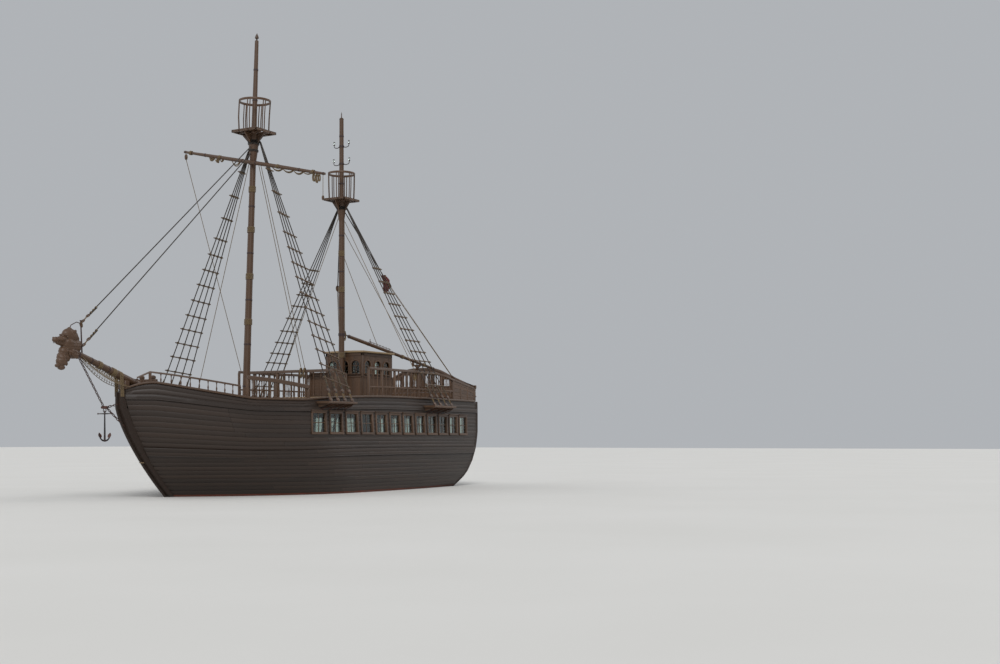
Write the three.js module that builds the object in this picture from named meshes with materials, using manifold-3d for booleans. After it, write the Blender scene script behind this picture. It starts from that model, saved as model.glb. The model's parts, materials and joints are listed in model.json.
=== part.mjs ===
// Pirate ship tour boat: a two-masted wooden excursion boat, full size.
// Frame, in millimetres: +X to the bow, +Y to port, +Z up, origin on the centreline
// at the waterline amidships. Places along the ship are first given as distances aft
// of the stem head, and `at` turns them into X.

import * as THREE from 'three';
import { mergeVertices } from 'three/addons/utils/BufferGeometryUtils.js';
import Module from 'manifold-3d';

const wasm = await Module();
wasm.setup();

// Driving dimensions

const GAP = 0.3; // joint between pieces that touch
const SWING = 8; // clearance round pieces that move
const MIDSHIP = 10000; // stem head to the frame's origin
const at = (aft) => MIDSHIP - aft;

const RAIL_HEIGHT = 3670; // top of the bulwark in the waist, where it is lowest
// The bulwark's top rises to the bow, dips at the stem head, and rises again towards the stern.
const SHEER = {
  bow: 530, bowRise: 740, bowEnd: 4000, bowPower: 1.2, dip: 430, dipEnd: 900,
  aft: 270, aftStart: 6000, aftEnd: 13000,
};
const CAP = { thick: 70, out: 60, in: 200, lap: 15 }; // rail along the bulwark's top
const STEM = {
  half: 140, depth: 250, reach: 5000, rise: 4900, top: 3300, power: 1.3, chamfer: 60, rabbet: 130,
};
const KEEL = { foot: -1600, depth: 250, shoeStart: 16830, shoeEnd: 18650, shoeDrop: 90 };
const PLANK = 110; // thickness of the sides above the saloon's floor
const FLOOR = 1300; // saloon floor
const WINDOW = { sill: 2450, head: 3190, width: 700, pitch: 1050, last: 18400, count: 12 };
const STERN_WINDOW = { width: 500, pitch: 750, count: 7 };
const FORE_DECK = { top: 3400, thick: 100, front: 900, end: 10500, inset: PLANK + GAP };
const QUARTER = { top: 3900, thick: 100, front: 10500, end: 19830, inset: CAP.in + GAP };
const CLAMP = { height: 60, inset: 300 }; // ledge that carries each deck's edge
const SALOON_FRONT = 6000;
const BULKHEAD = 60; // thickness of the step's face and of the saloon's forward bulkhead

// The hull's lines. Each row is one level: its height, the half breadths amidships and
// at the stern, the after end, the power of the bow's swell (0.5 is bluff, 1 is lean),
// the share of the length that the bow takes, and the share at which the run starts.
const LINES = [
  { z: -1600, mid: 240, stern: 150, end: 16800, swell: 1.3, entry: 0.45, run: 0.3 },
  { z: -1300, mid: 1400, stern: 170, end: 17000, swell: 1.15, entry: 0.45, run: 0.3 },
  { z: -900, mid: 2550, stern: 400, end: 17500, swell: 1.05, entry: 0.44, run: 0.34 },
  { z: -450, mid: 3300, stern: 1500, end: 18300, swell: 1, entry: 0.43, run: 0.38 },
  { z: 0, mid: 3600, stern: 2500, end: 18700, swell: 0.97, entry: 0.42, run: 0.4 },
  { z: 600, mid: 3780, stern: 2870, end: 19250, swell: 0.95, entry: 0.4, run: 0.42 },
  { z: 1300, mid: 3850, stern: 2980, end: 19680, swell: 0.94, entry: 0.38, run: 0.44 },
  { z: 1750, mid: 3860, stern: 3010, end: 19880, swell: 0.93, entry: 0.37, run: 0.44 },
  { z: 2350, mid: 3840, stern: 3030, end: 20000, swell: 0.92, entry: 0.36, run: 0.44 },
  { z: 3250, mid: 3790, stern: 3030, end: 20000, swell: 0.92, entry: 0.36, run: 0.44 },
  { z: RAIL_HEIGHT, mid: 3750, stern: 3020, end: 20000, swell: 0.92, entry: 0.36, run: 0.44 },
];
// Stations, as shares of each level's length.
const STATIONS = [0, 0.013, 0.03, 0.055, 0.095, 0.15, 0.22, 0.3, 0.4, 0.5, 0.6, 0.7, 0.8, 0.88, 0.95, 1];

const FORE = { aft: 6870, rake: 0.0463, foot: FLOOR, top: 18550, deckR: 142, midR: 118, topR: 76 };
const MIZZEN = { aft: 13430, rake: 0, foot: FLOOR, top: 16370, deckR: 130, midR: 113, topR: 92 };
const MAST_SIDES = 12;

const ROPE = 20; // half thickness of a shroud, drawn as a square bar
const RUNG = 26;
const CHANNEL = { z: 3560, thick: 90, width: 640 };

// Small helpers for solids

// Turns a three.js geometry into a closed solid, with its faces pointing out.
function solid(geometry) {
  const bare = geometry.index ? geometry.toNonIndexed() : geometry.clone();
  for (const name of Object.keys(bare.attributes)) {
    if (name !== 'position') bare.deleteAttribute(name);
  }
  const merged = mergeVertices(bare, 1e-3);
  const corners = merged.index.array;
  const kept = [];
  for (let i = 0; i < corners.length; i += 3) {
    const [a, b, c] = [corners[i], corners[i + 1], corners[i + 2]];
    if (a !== b && b !== c && c !== a) kept.push(a, b, c);
  }
  const vertProperties = new Float32Array(merged.attributes.position.array);
  const closed = (triVerts) => (
    new wasm.Manifold(new wasm.Mesh({ numProp: 3, vertProperties, triVerts })));
  const body = closed(new Uint32Array(kept));
  return body.volume() > 0 ? body : closed(new Uint32Array(kept).reverse());
}

function joined(list) {
  return list.flat(Infinity).reduce((sum, piece) => sum.add(piece));
}

function without(body, list) {
  return [list].flat(Infinity).reduce((rest, piece) => rest.subtract(piece), body);
}

function geometryOf(body) {
  const mesh = body.getMesh();
  const geometry = new THREE.BufferGeometry();
  const position = new Float32Array(mesh.vertProperties);
  geometry.setAttribute('position', new THREE.BufferAttribute(position, 3));
  geometry.setIndex(new THREE.BufferAttribute(new Uint32Array(mesh.triVerts), 1));
  geometry.computeVertexNormals();
  return geometry;
}

const vec = (x, y, z) => new THREE.Vector3(x, y, z);

function block(x0, x1, y0, y1, z0, z1) {
  const [length, breadth, height] = [x1 - x0, y1 - y0, z1 - z0].map(Math.abs);
  const geometry = new THREE.BoxGeometry(length, breadth, height);
  geometry.translate((x0 + x1) / 2, (y0 + y1) / 2, (z0 + z1) / 2);
  return solid(geometry);
}

// Turns a geometry that stands along +Z so that it runs from one point to another, with
// its +Y side up.
function along(geometry, from, to) {
  const z = to.clone().sub(from).normalize();
  const up = Math.abs(z.z) > 0.99 ? vec(1, 0, 0) : vec(0, 0, 1);
  const x = up.clone().cross(z).normalize();
  const y = z.clone().cross(x);
  const middle = from.clone().add(to).multiplyScalar(0.5);
  geometry.applyMatrix4(new THREE.Matrix4().makeBasis(x, y, z).setPosition(middle));
  return solid(geometry);
}

function bar(from, to, wide, high = wide) {
  return along(new THREE.BoxGeometry(wide, high, from.distanceTo(to)), from, to);
}

function rod(from, to, r0, r1 = r0, sides = 8) {
  const geometry = new THREE.CylinderGeometry(r1, r0, from.distanceTo(to), sides);
  geometry.rotateX(Math.PI / 2);
  return along(geometry, from, to);
}

// A turned piece on a vertical axis. The profile is rows of radius and height.
function turned(profile, x, y, z, sides = MAST_SIDES) {
  const points = profile.map(([r, h]) => new THREE.Vector2(r, h));
  const geometry = new THREE.LatheGeometry(points, sides);
  geometry.rotateX(Math.PI / 2);
  geometry.translate(x, y, z);
  return solid(geometry);
}

// A board cut to an outline: the outline's points are (x, z) and the board is centred
// on y, unless it is laid across the ship, when they are (y, z) and it is centred on x.
function board(outline, thick, centre, across = false) {
  const shape = new THREE.Shape(outline.map(([a, b]) => new THREE.Vector2(a, b)));
  const geometry = new THREE.ExtrudeGeometry(shape, { depth: thick, bevelEnabled: false });
  geometry.translate(0, 0, -thick / 2);
  geometry.rotateX(Math.PI / 2);
  if (across) geometry.rotateZ(Math.PI / 2);
  if (across) geometry.translate(centre, 0, 0);
  else geometry.translate(0, centre, 0);
  return solid(geometry);
}

// A skin through rings that all have the same number of points. The end faces are laid
// in strips from one half of the ring to the other.
function lofted(rings) {
  const count = rings[0].length;
  const position = rings.flat().flatMap((p) => [p.x, p.y, p.z]);
  const faces = [];
  for (let r = 0; r + 1 < rings.length; r += 1) {
    for (let i = 0; i < count; i += 1) {
      const a = r * count + i;
      const b = r * count + ((i + 1) % count);
      faces.push(a, b, b + count, a, b + count, a + count);
    }
  }
  const last = (rings.length - 1) * count;
  for (let i = 0; i + 1 < count / 2; i += 1) {
    const [a, b, c, d] = [i, i + 1, count - 2 - i, count - 1 - i];
    faces.push(a, c, b, a, d, c);
    faces.push(last + a, last + b, last + c, last + a, last + c, last + d);
  }
  const geometry = new THREE.BufferGeometry();
  geometry.setAttribute('position', new THREE.Float32BufferAttribute(position, 3));
  geometry.setIndex(faces);
  return solid(geometry);
}

// The hull's form

function levelAt(z) {
  const above = LINES.findIndex((row) => row.z >= z);
  const hi = LINES[above < 0 ? LINES.length - 1 : above];
  const lo = LINES[Math.max(0, (above < 0 ? LINES.length : above) - 1)];
  const share = hi.z === lo.z ? 0 : Math.min(1, (z - lo.z) / (hi.z - lo.z));
  const row = {};
  for (const key of Object.keys(hi)) row[key] = lo[key] + (hi[key] - lo[key]) * share;
  return row;
}

// Distance aft of the stem head at which the stem's front edge lies at a height.
function stemFront(z) {
  const drop = Math.min(1, Math.max(0, (STEM.top - z) / STEM.rise));
  return STEM.reach * (1 - (1 - drop ** STEM.power) ** (1 / STEM.power));
}

function halfBreadth(z, share) {
  const row = levelAt(z);
  const t = Math.min(1, share / row.entry);
  const swell = (1 - (1 - t) ** 2) ** row.swell;
  const run = Math.max(0, (share - row.run) / (1 - row.run));
  return STEM.half + (row.mid - STEM.half) * swell - (row.mid - row.stern) * run ** 2;
}

// Half breadth of the side at a height, a given distance aft of the stem head.
function sideAt(z, aft) {
  const start = stemFront(z) + STEM.depth;
  return halfBreadth(z, Math.max(0, (aft - start) / (levelAt(z).end - start)));
}

const clamped = (value) => Math.min(1, Math.max(0, value));
function sheerAt(aft) {
  const bow = Math.min(SHEER.bow, SHEER.bowRise * clamped(1 - aft / SHEER.bowEnd) ** SHEER.bowPower);
  const toStern = clamped((SHEER.aftEnd - aft) / (SHEER.aftEnd - SHEER.aftStart));
  return bow + SHEER.aft * (1 - toStern ** 2);
}

// How far a level with a share of the sheer stands above its height in the table. The
// levels that follow the whole sheer are the rail's, and they alone dip at the stem head.
function rise(share, aft) {
  const dip = share === 1 ? SHEER.dip * clamped(1 - aft / SHEER.dipEnd) ** 2 : 0;
  return share * sheerAt(aft) - dip;
}

const railTop = (aft) => RAIL_HEIGHT + rise(1, aft);
STEM.head = railTop(STEM.depth - CAP.out) - CAP.lap - GAP;

// Plan outline of the hull at a height, moved inwards by an inset. The port side comes
// first, bow to stern, then the starboard side back to the bow.
function outline(z, inset) {
  const start = stemFront(z) + STEM.depth;
  const { end } = levelAt(z);
  const port = STATIONS.map((share) => (
    new THREE.Vector2(at(start + (end - start) * share), halfBreadth(z, share))));
  const ring = [...port, ...port.map((p) => new THREE.Vector2(p.x, -p.y)).reverse()];
  return ring.map((p, i) => {
    const before = ring[(i + ring.length - 1) % ring.length];
    const after = ring[(i + 1) % ring.length];
    const inA = new THREE.Vector2(before.y - p.y, p.x - before.x).normalize();
    const inB = new THREE.Vector2(p.y - after.y, after.x - p.x).normalize();
    const mitre = inA.clone().add(inB).normalize();
    const reach = inset / Math.max(0.5, mitre.dot(inA));
    return p.clone().addScaledVector(mitre, reach);
  });
}

// A solid with the hull's form between levels. Each level has a height, an inset and the
// share of the sheer that it follows; the height and the shape may differ, so that a level
// can lie above the table's last row.
function hullForm(levels) {
  return lofted(levels.map(({ z, inset = 0, sheer = 0, shape = z }) => outline(shape, inset)
    .map((p) => vec(p.x, p.y, z + rise(sheer, MIDSHIP - p.x)))));
}

const slab = (aft0, aft1, z0 = -3000, z1 = 8000, half = 6000) => (
  block(at(aft0), at(aft1), -half, half, z0, z1));

// Materials

const paint = (color, roughness = 0.8, metalness = 0) => (
  new THREE.MeshStandardMaterial({ color, roughness, metalness }));
const TARRED = paint(0x2b211b);
const BOTTOM = paint(0x5a2a22);
const OAK = paint(0x6b4a30);
const DECKING = paint(0x8d7758);
const SPAR = paint(0x4d3524);
const HEMP = paint(0x3d3226, 0.95);
const IRON = paint(0x2c2c2e, 0.6, 0.9);
const BRONZE = paint(0x8a6a35, 0.4, 1);
const CANVAS = paint(0x6e2a24, 0.95);

const ship = new THREE.Group();

function part(name, bodies, material) {
  const mesh = new THREE.Mesh(geometryOf(joined([bodies])), material);
  mesh.name = name;
  ship.add(mesh);
}

// Hull below the saloon floor, decked solid, with the rudder stock's bore in its stern.

const RUDDER = {
  axis: 18330, front: 18150, end: 19150, top: -620, foot: -1640, thick: 110,
  stock: 60, bore: 61.5, head: 300,
};
const PINTLE = { r: 35, bore: 36.2 };

const PROP = { front: 16400, hub: 17800, z: -1180, r: 330, shaft: 45, bore: 46.3 };

const LOWER_LEVELS = LINES.map((row) => row.z).filter((z) => z <= FLOOR);
const lowerForm = (inset) => hullForm(LOWER_LEVELS.map((z) => ({ z, inset })));

function lowerHull() {
  const body = lowerForm(0);
  const x = at(RUDDER.axis);
  const bore = rod(vec(x, 0, -900), vec(x, 0, RUDDER.head), RUDDER.bore, RUDDER.bore, 16);
  const [front, hub] = [PROP.front, PROP.hub].map((aft) => vec(at(aft), 0, PROP.z));
  return without(body, [bore, rod(front, hub, PROP.bore, PROP.bore, 16)]);
}
part('lower_hull', lowerHull(), BOTTOM);

// Sides above the saloon floor: one shell, split at the stem and at the stern.

const WALE = 45;
const OUTER_LEVELS = [
  { z: FLOOR + GAP },
  { z: 1480, sheer: 0.2 },
  { z: 1500, inset: -WALE, sheer: 0.2 },
  { z: 1730, inset: -WALE, sheer: 0.25 },
  { z: 1750, sheer: 0.25 },
  { z: 2350, sheer: 0.4 },
  { z: 3240, sheer: 0.7 },
  { z: 3260, inset: -WALE, sheer: 0.7 },
  { z: 3380, inset: -WALE, sheer: 0.75 },
  { z: 3400, sheer: 0.75 },
  { z: RAIL_HEIGHT, sheer: 1 },
];
const moved = (levels, inset) => levels.map((row) => ({ ...row, inset: (row.inset ?? 0) + inset }));
const innerForm = (inset, low = 1000, high = 4800) => hullForm([
  { z: low, shape: FLOOR, inset },
  { z: 2350, inset },
  { z: 3250, inset },
  { z: RAIL_HEIGHT, inset },
  { z: high, shape: RAIL_HEIGHT, inset },
]);
const outside = hullForm([
  ...moved(OUTER_LEVELS.slice(0, -1), -GAP),
  { z: RAIL_HEIGHT + GAP, shape: RAIL_HEIGHT, inset: -GAP, sheer: 1 },
]);

// Stem, keel and shoe in one run, joined outside the planking. The board is cut back by
// the hull's own form, so that it meets the planking all the way.
function backbone() {
  const heights = LINES.filter((row) => row.z < STEM.top && row.z > KEEL.foot).map((row) => row.z).reverse();
  const front = heights.map((z) => [at(stemFront(z)), z]);
  const back = heights.map((z) => [at(stemFront(z) + STEM.depth + STEM.rabbet), z]).reverse();
  const foot = KEEL.foot - GAP;
  const points = [
    [at(STEM.depth + 40), STEM.head],
    [at(STEM.depth), STEM.head],
    [at(0), STEM.head - STEM.chamfer],
    [at(0), STEM.top],
    ...front,
    [at(STEM.reach), KEEL.foot - KEEL.depth],
    [at(KEEL.shoeEnd), KEEL.foot - KEEL.depth],
    [at(KEEL.shoeEnd), KEEL.foot - KEEL.shoeDrop],
    [at(KEEL.shoeStart), KEEL.foot - KEEL.shoeDrop],
    [at(KEEL.shoeStart), foot],
    [at(STEM.reach + 200), foot],
    ...back,
    [at(STEM.depth + 40), STEM.top],
  ];
  const x = at(RUDDER.axis);
  const pintle = rod(vec(x, 0, KEEL.foot - 200), vec(x, 0, KEEL.foot), PINTLE.bore, PINTLE.bore, 16);
  return without(board(points, 2 * STEM.half, 0), [outside, lowerForm(-GAP), pintle]);
}
part('backbone', backbone(), TARRED);

const STERN_CUT = 19400;
const PORT_HALF = block(at(-5000), at(25000), GAP / 2, 6000, -3000, 8000);
const STARBOARD_HALF = block(at(-5000), at(25000), -6000, -GAP / 2, -3000, 8000);
const HALVES = [['port', 1, PORT_HALF], ['starboard', -1, STARBOARD_HALF]];

function clampLedge(deckBottom, aft0, aft1) {
  const band = innerForm(PLANK - 5).subtract(innerForm(CLAMP.inset));
  return band.intersect(slab(aft0, aft1, deckBottom - CLAMP.height, deckBottom - GAP));
}

function shell() {
  const sides = hullForm(OUTER_LEVELS).subtract(innerForm(PLANK));
  const ledges = [
    clampLedge(FORE_DECK.top - FORE_DECK.thick, FORE_DECK.front, FORE_DECK.end),
    clampLedge(QUARTER.top - QUARTER.thick, QUARTER.front, STERN_CUT + 400),
  ];
  const windows = [];
  for (let i = 0; i < WINDOW.count; i += 1) {
    const middle = WINDOW.last - i * WINDOW.pitch;
    const half = WINDOW.width / 2;
    windows.push(slab(middle - half, middle + half, WINDOW.sill, WINDOW.head));
  }
  const sternWindows = [];
  for (let i = 0; i < STERN_WINDOW.count; i += 1) {
    const y = (i - (STERN_WINDOW.count - 1) / 2) * STERN_WINDOW.pitch;
    const half = STERN_WINDOW.width / 2;
    const [front, end] = [at(STERN_CUT + 300), at(20300)];
    sternWindows.push(block(front, end, y - half, y + half, WINDOW.sill, WINDOW.head));
  }
  return without(joined([sides, ledges]), [windows, sternWindows]);
}

const sides = shell();
for (const [side, , half] of HALVES) {
  part(`side_${side}`, sides.intersect(half).intersect(slab(-500, STERN_CUT - GAP)), TARRED);
}
part('stern', sides.intersect(slab(STERN_CUT, 20200)), TARRED);

// Masts. Each profile is rows of radius and height, and the whole is sheared aft by the
// mast's rake.

const mastAft = (mast, z) => mast.aft + mast.rake * (z - mast.foot);
const mastPoint = (mast, z) => vec(at(mastAft(mast, z)), 0, z);

function sheared(body, mast) {
  const geometry = geometryOf(body);
  const p = geometry.attributes.position;
  for (let i = 0; i < p.count; i += 1) {
    p.setX(i, p.getX(i) - mast.rake * (p.getZ(i) - mast.foot));
  }
  return solid(geometry);
}
const mastTurned = (mast, profile) => sheared(turned(profile, at(mast.aft), 0, 0), mast);

const FORE_HOUNDS = { foot: 13420, head: 14300, r: 205, seat: 14580 };
const MIZZEN_HOUNDS = { foot: 11850, head: 12480, r: 190, seat: 12720 };
FORE.profile = [
  [0, FLOOR + GAP], [FORE.deckR, FLOOR + GAP], [FORE.deckR, 5000], [FORE.midR, FORE_HOUNDS.foot],
  [FORE_HOUNDS.r, FORE_HOUNDS.head], [FORE_HOUNDS.r, FORE_HOUNDS.seat - GAP],
  [FORE.midR - 8, FORE_HOUNDS.seat - GAP], [FORE.topR, 18450], [34, 18500], [48, 18600], [0, 18720],
];
MIZZEN.profile = [
  [0, FLOOR + GAP], [MIZZEN.deckR, FLOOR + GAP], [MIZZEN.deckR, 4200], [MIZZEN.midR, MIZZEN_HOUNDS.foot],
  [MIZZEN_HOUNDS.r, MIZZEN_HOUNDS.head], [MIZZEN_HOUNDS.r, MIZZEN_HOUNDS.seat - GAP],
  [MIZZEN.midR - 6, MIZZEN_HOUNDS.seat - GAP], [MIZZEN.topR, 16370], [24, 16400], [0, 16690],
];

// A mast, or with extra thickness the shape to cut from what is fitted round it.
const mastForm = (mast, extra = 0) => (
  mastTurned(mast, mast.profile.map(([r, z]) => [r > 0 ? r + extra : 0, z])));

// Decks, the step between them and the saloon's forward bulkhead.

const HOOD = { front: 10760, end: 11960, y0: 300, y1: 1360, top: 4980, wall: 50 };
const HATCHWAY = { front: HOOD.front + 110, end: HOOD.end - 110, y0: HOOD.y0 + 110, y1: HOOD.y1 - 110 };

function deck({ top, thick, front, end, inset }, holes) {
  return without(innerForm(inset).intersect(slab(front, end, top - thick, top)), holes);
}
part('fore_deck', deck(FORE_DECK, [mastForm(FORE, GAP)]), DECKING);
part('quarter_deck', deck({ ...QUARTER, front: QUARTER.front - BULKHEAD }, [
  mastForm(MIZZEN, GAP),
  block(at(HATCHWAY.front), at(HATCHWAY.end), HATCHWAY.y0, HATCHWAY.y1, 3000, 5000),
]), DECKING);

const CLAMP_FOOT = FORE_DECK.top - FORE_DECK.thick - CLAMP.height;
const across = (front, end, z0, z1) => innerForm(FORE_DECK.inset).intersect(slab(front, end, z0, z1));
part('deck_break', across(
  QUARTER.front - BULKHEAD, QUARTER.front - GAP, FORE_DECK.top + GAP, QUARTER.top - QUARTER.thick - GAP,
), OAK);
part('saloon_bulkhead', across(SALOON_FRONT, SALOON_FRONT + BULKHEAD, FLOOR + GAP, CLAMP_FOOT - GAP), OAK);

// Steps from the fore deck to the quarter deck, on the port side.

const STEPS = { y0: 1950, y1: 2850, rise: 165, going: 230, count: 2 };
function steps() {
  const treads = [];
  const back = QUARTER.front - BULKHEAD - GAP;
  for (let i = 0; i < STEPS.count; i += 1) {
    const front = back - (STEPS.count - i) * STEPS.going;
    const z = FORE_DECK.top + GAP + i * STEPS.rise;
    treads.push(block(at(back), at(front), STEPS.y0, STEPS.y1, z, z + STEPS.rise));
  }
  return joined(treads);
}
part('deck_steps', steps(), OAK);

// Benches along the saloon's sides and the ladder under the companionway.

const BENCH = { front: 6300, end: 18900, high: 430, wide: 480, inset: PLANK + GAP };
for (const [side, , half] of HALVES) {
  const ring = innerForm(BENCH.inset).subtract(innerForm(BENCH.inset + BENCH.wide));
  const height = slab(BENCH.front, BENCH.end, FLOOR + GAP, FLOOR + BENCH.high);
  part(`saloon_bench_${side}`, ring.intersect(half).intersect(height), OAK);
}

const LADDER = { stepCount: 8, slope: 700, stile: 50, depth: 120, half: 300 };
function ladder() {
  const foot = FLOOR + 20;
  const head = QUARTER.top - 160;
  const y = (HATCHWAY.y0 + HATCHWAY.y1) / 2;
  const { half, stile } = LADDER;
  const front = HATCHWAY.front + 120;
  const pieces = [];
  for (const side of [-1, 1]) {
    const low = vec(at(front), y + side * half, foot + 30);
    const high = vec(at(front + LADDER.slope), y + side * half, head);
    pieces.push(bar(low, high, stile, LADDER.depth));
  }
  for (let i = 1; i <= LADDER.stepCount; i += 1) {
    const share = i / (LADDER.stepCount + 1);
    const x = at(front + LADDER.slope * share);
    const z = foot + (head - foot) * share;
    pieces.push(block(x - 80, x + 80, y - half, y + half, z - 18, z + 18));
  }
  const reach = half + stile / 2;
  const sill = block(at(front) - 80, at(front) + 80, y - reach, y + reach, FLOOR + GAP, foot + 40);
  return joined([pieces, sill]);
}
part('saloon_ladder', ladder(), OAK);

// A rail of rectangular section swept through points.
function swept(points, wide, high) {
  const rings = points.map((p, i) => {
    const next = points[Math.min(points.length - 1, i + 1)];
    const ahead = next.clone().sub(points[Math.max(0, i - 1)]).normalize();
    const aside = vec(0, 0, 1).cross(ahead).normalize().multiplyScalar(wide / 2);
    const up = ahead.clone().cross(aside).normalize().multiplyScalar(high / 2);
    return [[1, 1], [1, -1], [-1, -1], [-1, 1]].map(([a, u]) => (
      p.clone().addScaledVector(aside, a).addScaledVector(up, u)));
  });
  return lofted(rings);
}

// Cap rails on the bulwarks.

const capTop = (aft) => railTop(aft) + GAP + CAP.thick;
function capRails() {
  const ring = (inset) => hullForm([
    { z: RAIL_HEIGHT - CAP.lap, shape: RAIL_HEIGHT, inset, sheer: 1 },
    { z: RAIL_HEIGHT + GAP + CAP.thick, shape: RAIL_HEIGHT, inset, sheer: 1 },
  ]);
  const hollow = (inset) => hullForm([
    { z: RAIL_HEIGHT - 500, shape: RAIL_HEIGHT, inset, sheer: 1 },
    { z: RAIL_HEIGHT + 600, shape: RAIL_HEIGHT, inset, sheer: 1 },
  ]);
  return ring(-CAP.out).subtract(hollow(CAP.in)).subtract(outside);
}
const caps = capRails();

// Everything under the cap rails' top, so that what stands on them can be cut to it.
const underCaps = hullForm([
  { z: RAIL_HEIGHT - 600, shape: RAIL_HEIGHT, inset: -CAP.out, sheer: 1 },
  { z: RAIL_HEIGHT + 2 * GAP + CAP.thick, shape: RAIL_HEIGHT, inset: -CAP.out, sheer: 1 },
]).subtract(hullForm([
  { z: RAIL_HEIGHT - 700, shape: RAIL_HEIGHT, inset: CAP.in + GAP, sheer: 1 },
  { z: RAIL_HEIGHT + 900, shape: RAIL_HEIGHT, inset: CAP.in + GAP, sheer: 1 },
]));
const TAFF = { front: 19850, end: 20020, foot: 3945 };
for (const [side, , half] of HALVES) {
  part(`cap_rail_${side}`, caps.intersect(half).intersect(slab(-500, TAFF.front - GAP)), OAK);
}

// Taffrail: the arched board across the stern, with slots that leave its balusters.

const TAFF_TOP = [[3030, 4620], [1670, 5200], [1000, 5500], [450, 5600]];
// Slots between the balusters. Each panel has its two edges and the height of its slots' heads.
const BALUSTER = {
  pitch: 110, slot: 62, foot: 4700,
  panels: [
    [-1620, -1230, 5040], [-1080, -690, 5270], [-540, -150, 5400],
    [150, 540, 5400], [690, 1080, 5270], [1230, 1620, 5040],
  ],
};
function taffrail() {
  const starboard = TAFF_TOP.map(([y, z]) => [-y, z]).reverse();
  const shape = [[3030, TAFF.foot + 25], ...TAFF_TOP, ...starboard, [-3030, TAFF.foot + 25]];
  const body = board(shape, TAFF.end - TAFF.front, at((TAFF.front + TAFF.end) / 2), true);
  const slots = [];
  const [front, end] = [at(TAFF.front - 50), at(TAFF.end + 50)];
  for (const [y0, y1, head] of BALUSTER.panels) {
    for (let y = y0; y + BALUSTER.slot <= y1 + 1; y += BALUSTER.pitch) {
      slots.push(block(front, end, y, y + BALUSTER.slot, BALUSTER.foot, head));
    }
  }
  return without(body, slots);
}
part('taffrail', taffrail(), OAK);

// Rails on the cap rails. Each run is a table of distances aft and heights of the top
// of its rail, and its posts stand on the cap rail.

// The quarter rails stand further inboard than the others, clear of the shrouds, and
// come out to the cap rail where the solid panel starts.
const RAIL_INSET = { outer: 80, inner: 265, bendStart: 16250, bendEnd: 16900 };
function railInset(aft) {
  const { outer, inner, bendStart, bendEnd } = RAIL_INSET;
  if (aft < QUARTER.front) return outer;
  return inner + (outer - inner) * clamped((aft - bendStart) / (bendEnd - bendStart));
}
const capPoint = (aft, side, z) => (
  vec(at(aft), side * (sideAt(RAIL_HEIGHT, aft) - railInset(aft)), z));
function spread(run, step) {
  const points = [];
  for (let i = 0; i + 1 < run.length; i += 1) {
    const [[a0, z0], [a1, z1]] = [run[i], run[i + 1]];
    const parts = Math.max(1, Math.round((a1 - a0) / step));
    for (let k = 0; k < parts; k += 1) {
      points.push([a0 + ((a1 - a0) * k) / parts, z0 + ((z1 - z0) * k) / parts]);
    }
  }
  points.push(run[run.length - 1]);
  return points;
}

// Its uprights are rows of width and pitch, and its lower rails are heights above the cap.
function railing({ run, side, uprights, bend, wide, high, lower = [] }) {
  const path = spread(run, bend);
  const pieces = [swept(path.map(([aft, z]) => capPoint(aft, side, z - high / 2)), wide, high)];
  for (const lift of lower) {
    const points = path.map(([aft]) => capPoint(aft, side, capTop(aft) + lift));
    pieces.push(swept(points, wide * 0.7, high * 0.6));
  }
  for (const [width, pitch] of uprights) {
    const half = width / 2;
    for (const [aft, z] of spread(run, pitch)) {
      const seat = aft < QUARTER.front ? capTop(aft) - 40 : QUARTER.top + GAP;
      const { x, y, z: foot } = capPoint(aft, side, seat);
      pieces.push(block(x - half, x + half, y - half, y + half, foot, z - high / 2));
    }
  }
  return joined(pieces).subtract(underCaps);
}

const BOW_RAIL = {
  run: [[530, 4420], [850, 4640], [1400, 4553], [3520, 4185]],
  uprights: [[60, 270]], bend: 700, wide: 70, high: 60,
};
const WAIST_RAIL = {
  run: [[3760, 4555], [4840, 4465], [6400, 4275]],
  uprights: [[90, 1400], [50, 175]], bend: 1000, wide: 110, high: 150,
};
const QUARTER_RAIL = {
  run: [[10620, 5170], [14900, 5185], [16250, 5180], [16900, 5075], [17600, 4940]],
  uprights: [[75, 650]], bend: 2200, wide: 110, high: 110, lower: [360],
};
for (const [side, sign] of HALVES) {
  part(`bow_rail_${side}`, railing({ ...BOW_RAIL, side: sign }), OAK);
  part(`waist_rail_${side}`, railing({ ...WAIST_RAIL, side: sign }), OAK);
}

// Quarter rails, each with the solid panel that closes it down to the taffrail. With
// extra thickness it is the panel's top alone, to cut from the backstays' feet.
const QUARTER_PANEL = { front: 17600, end: TAFF.front - GAP, thick: 70, top: 4940, drop: 310 };
function quarterPanel(sign, extra) {
  const rings = [0, 0.33, 0.67, 1].map((share) => {
    const aft = QUARTER_PANEL.front + (QUARTER_PANEL.end - QUARTER_PANEL.front) * share;
    const top = QUARTER_PANEL.top - share * QUARTER_PANEL.drop + extra;
    const inner = capPoint(aft, sign, 0);
    const half = QUARTER_PANEL.thick / 2 + extra;
    const foot = capTop(aft) - 40;
    return [[half, top], [half, foot], [-half, foot], [-half, top]].map(([dy, z]) => (
      vec(inner.x, inner.y + dy, z)));
  });
  return lofted(rings);
}
for (const [side, sign] of HALVES) {
  const panel = quarterPanel(sign, 0).subtract(underCaps);
  part(`quarter_rail_${side}`, joined([railing({ ...QUARTER_RAIL, side: sign }), panel]), OAK);
}

// Rail across the break of the quarter deck.

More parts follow.
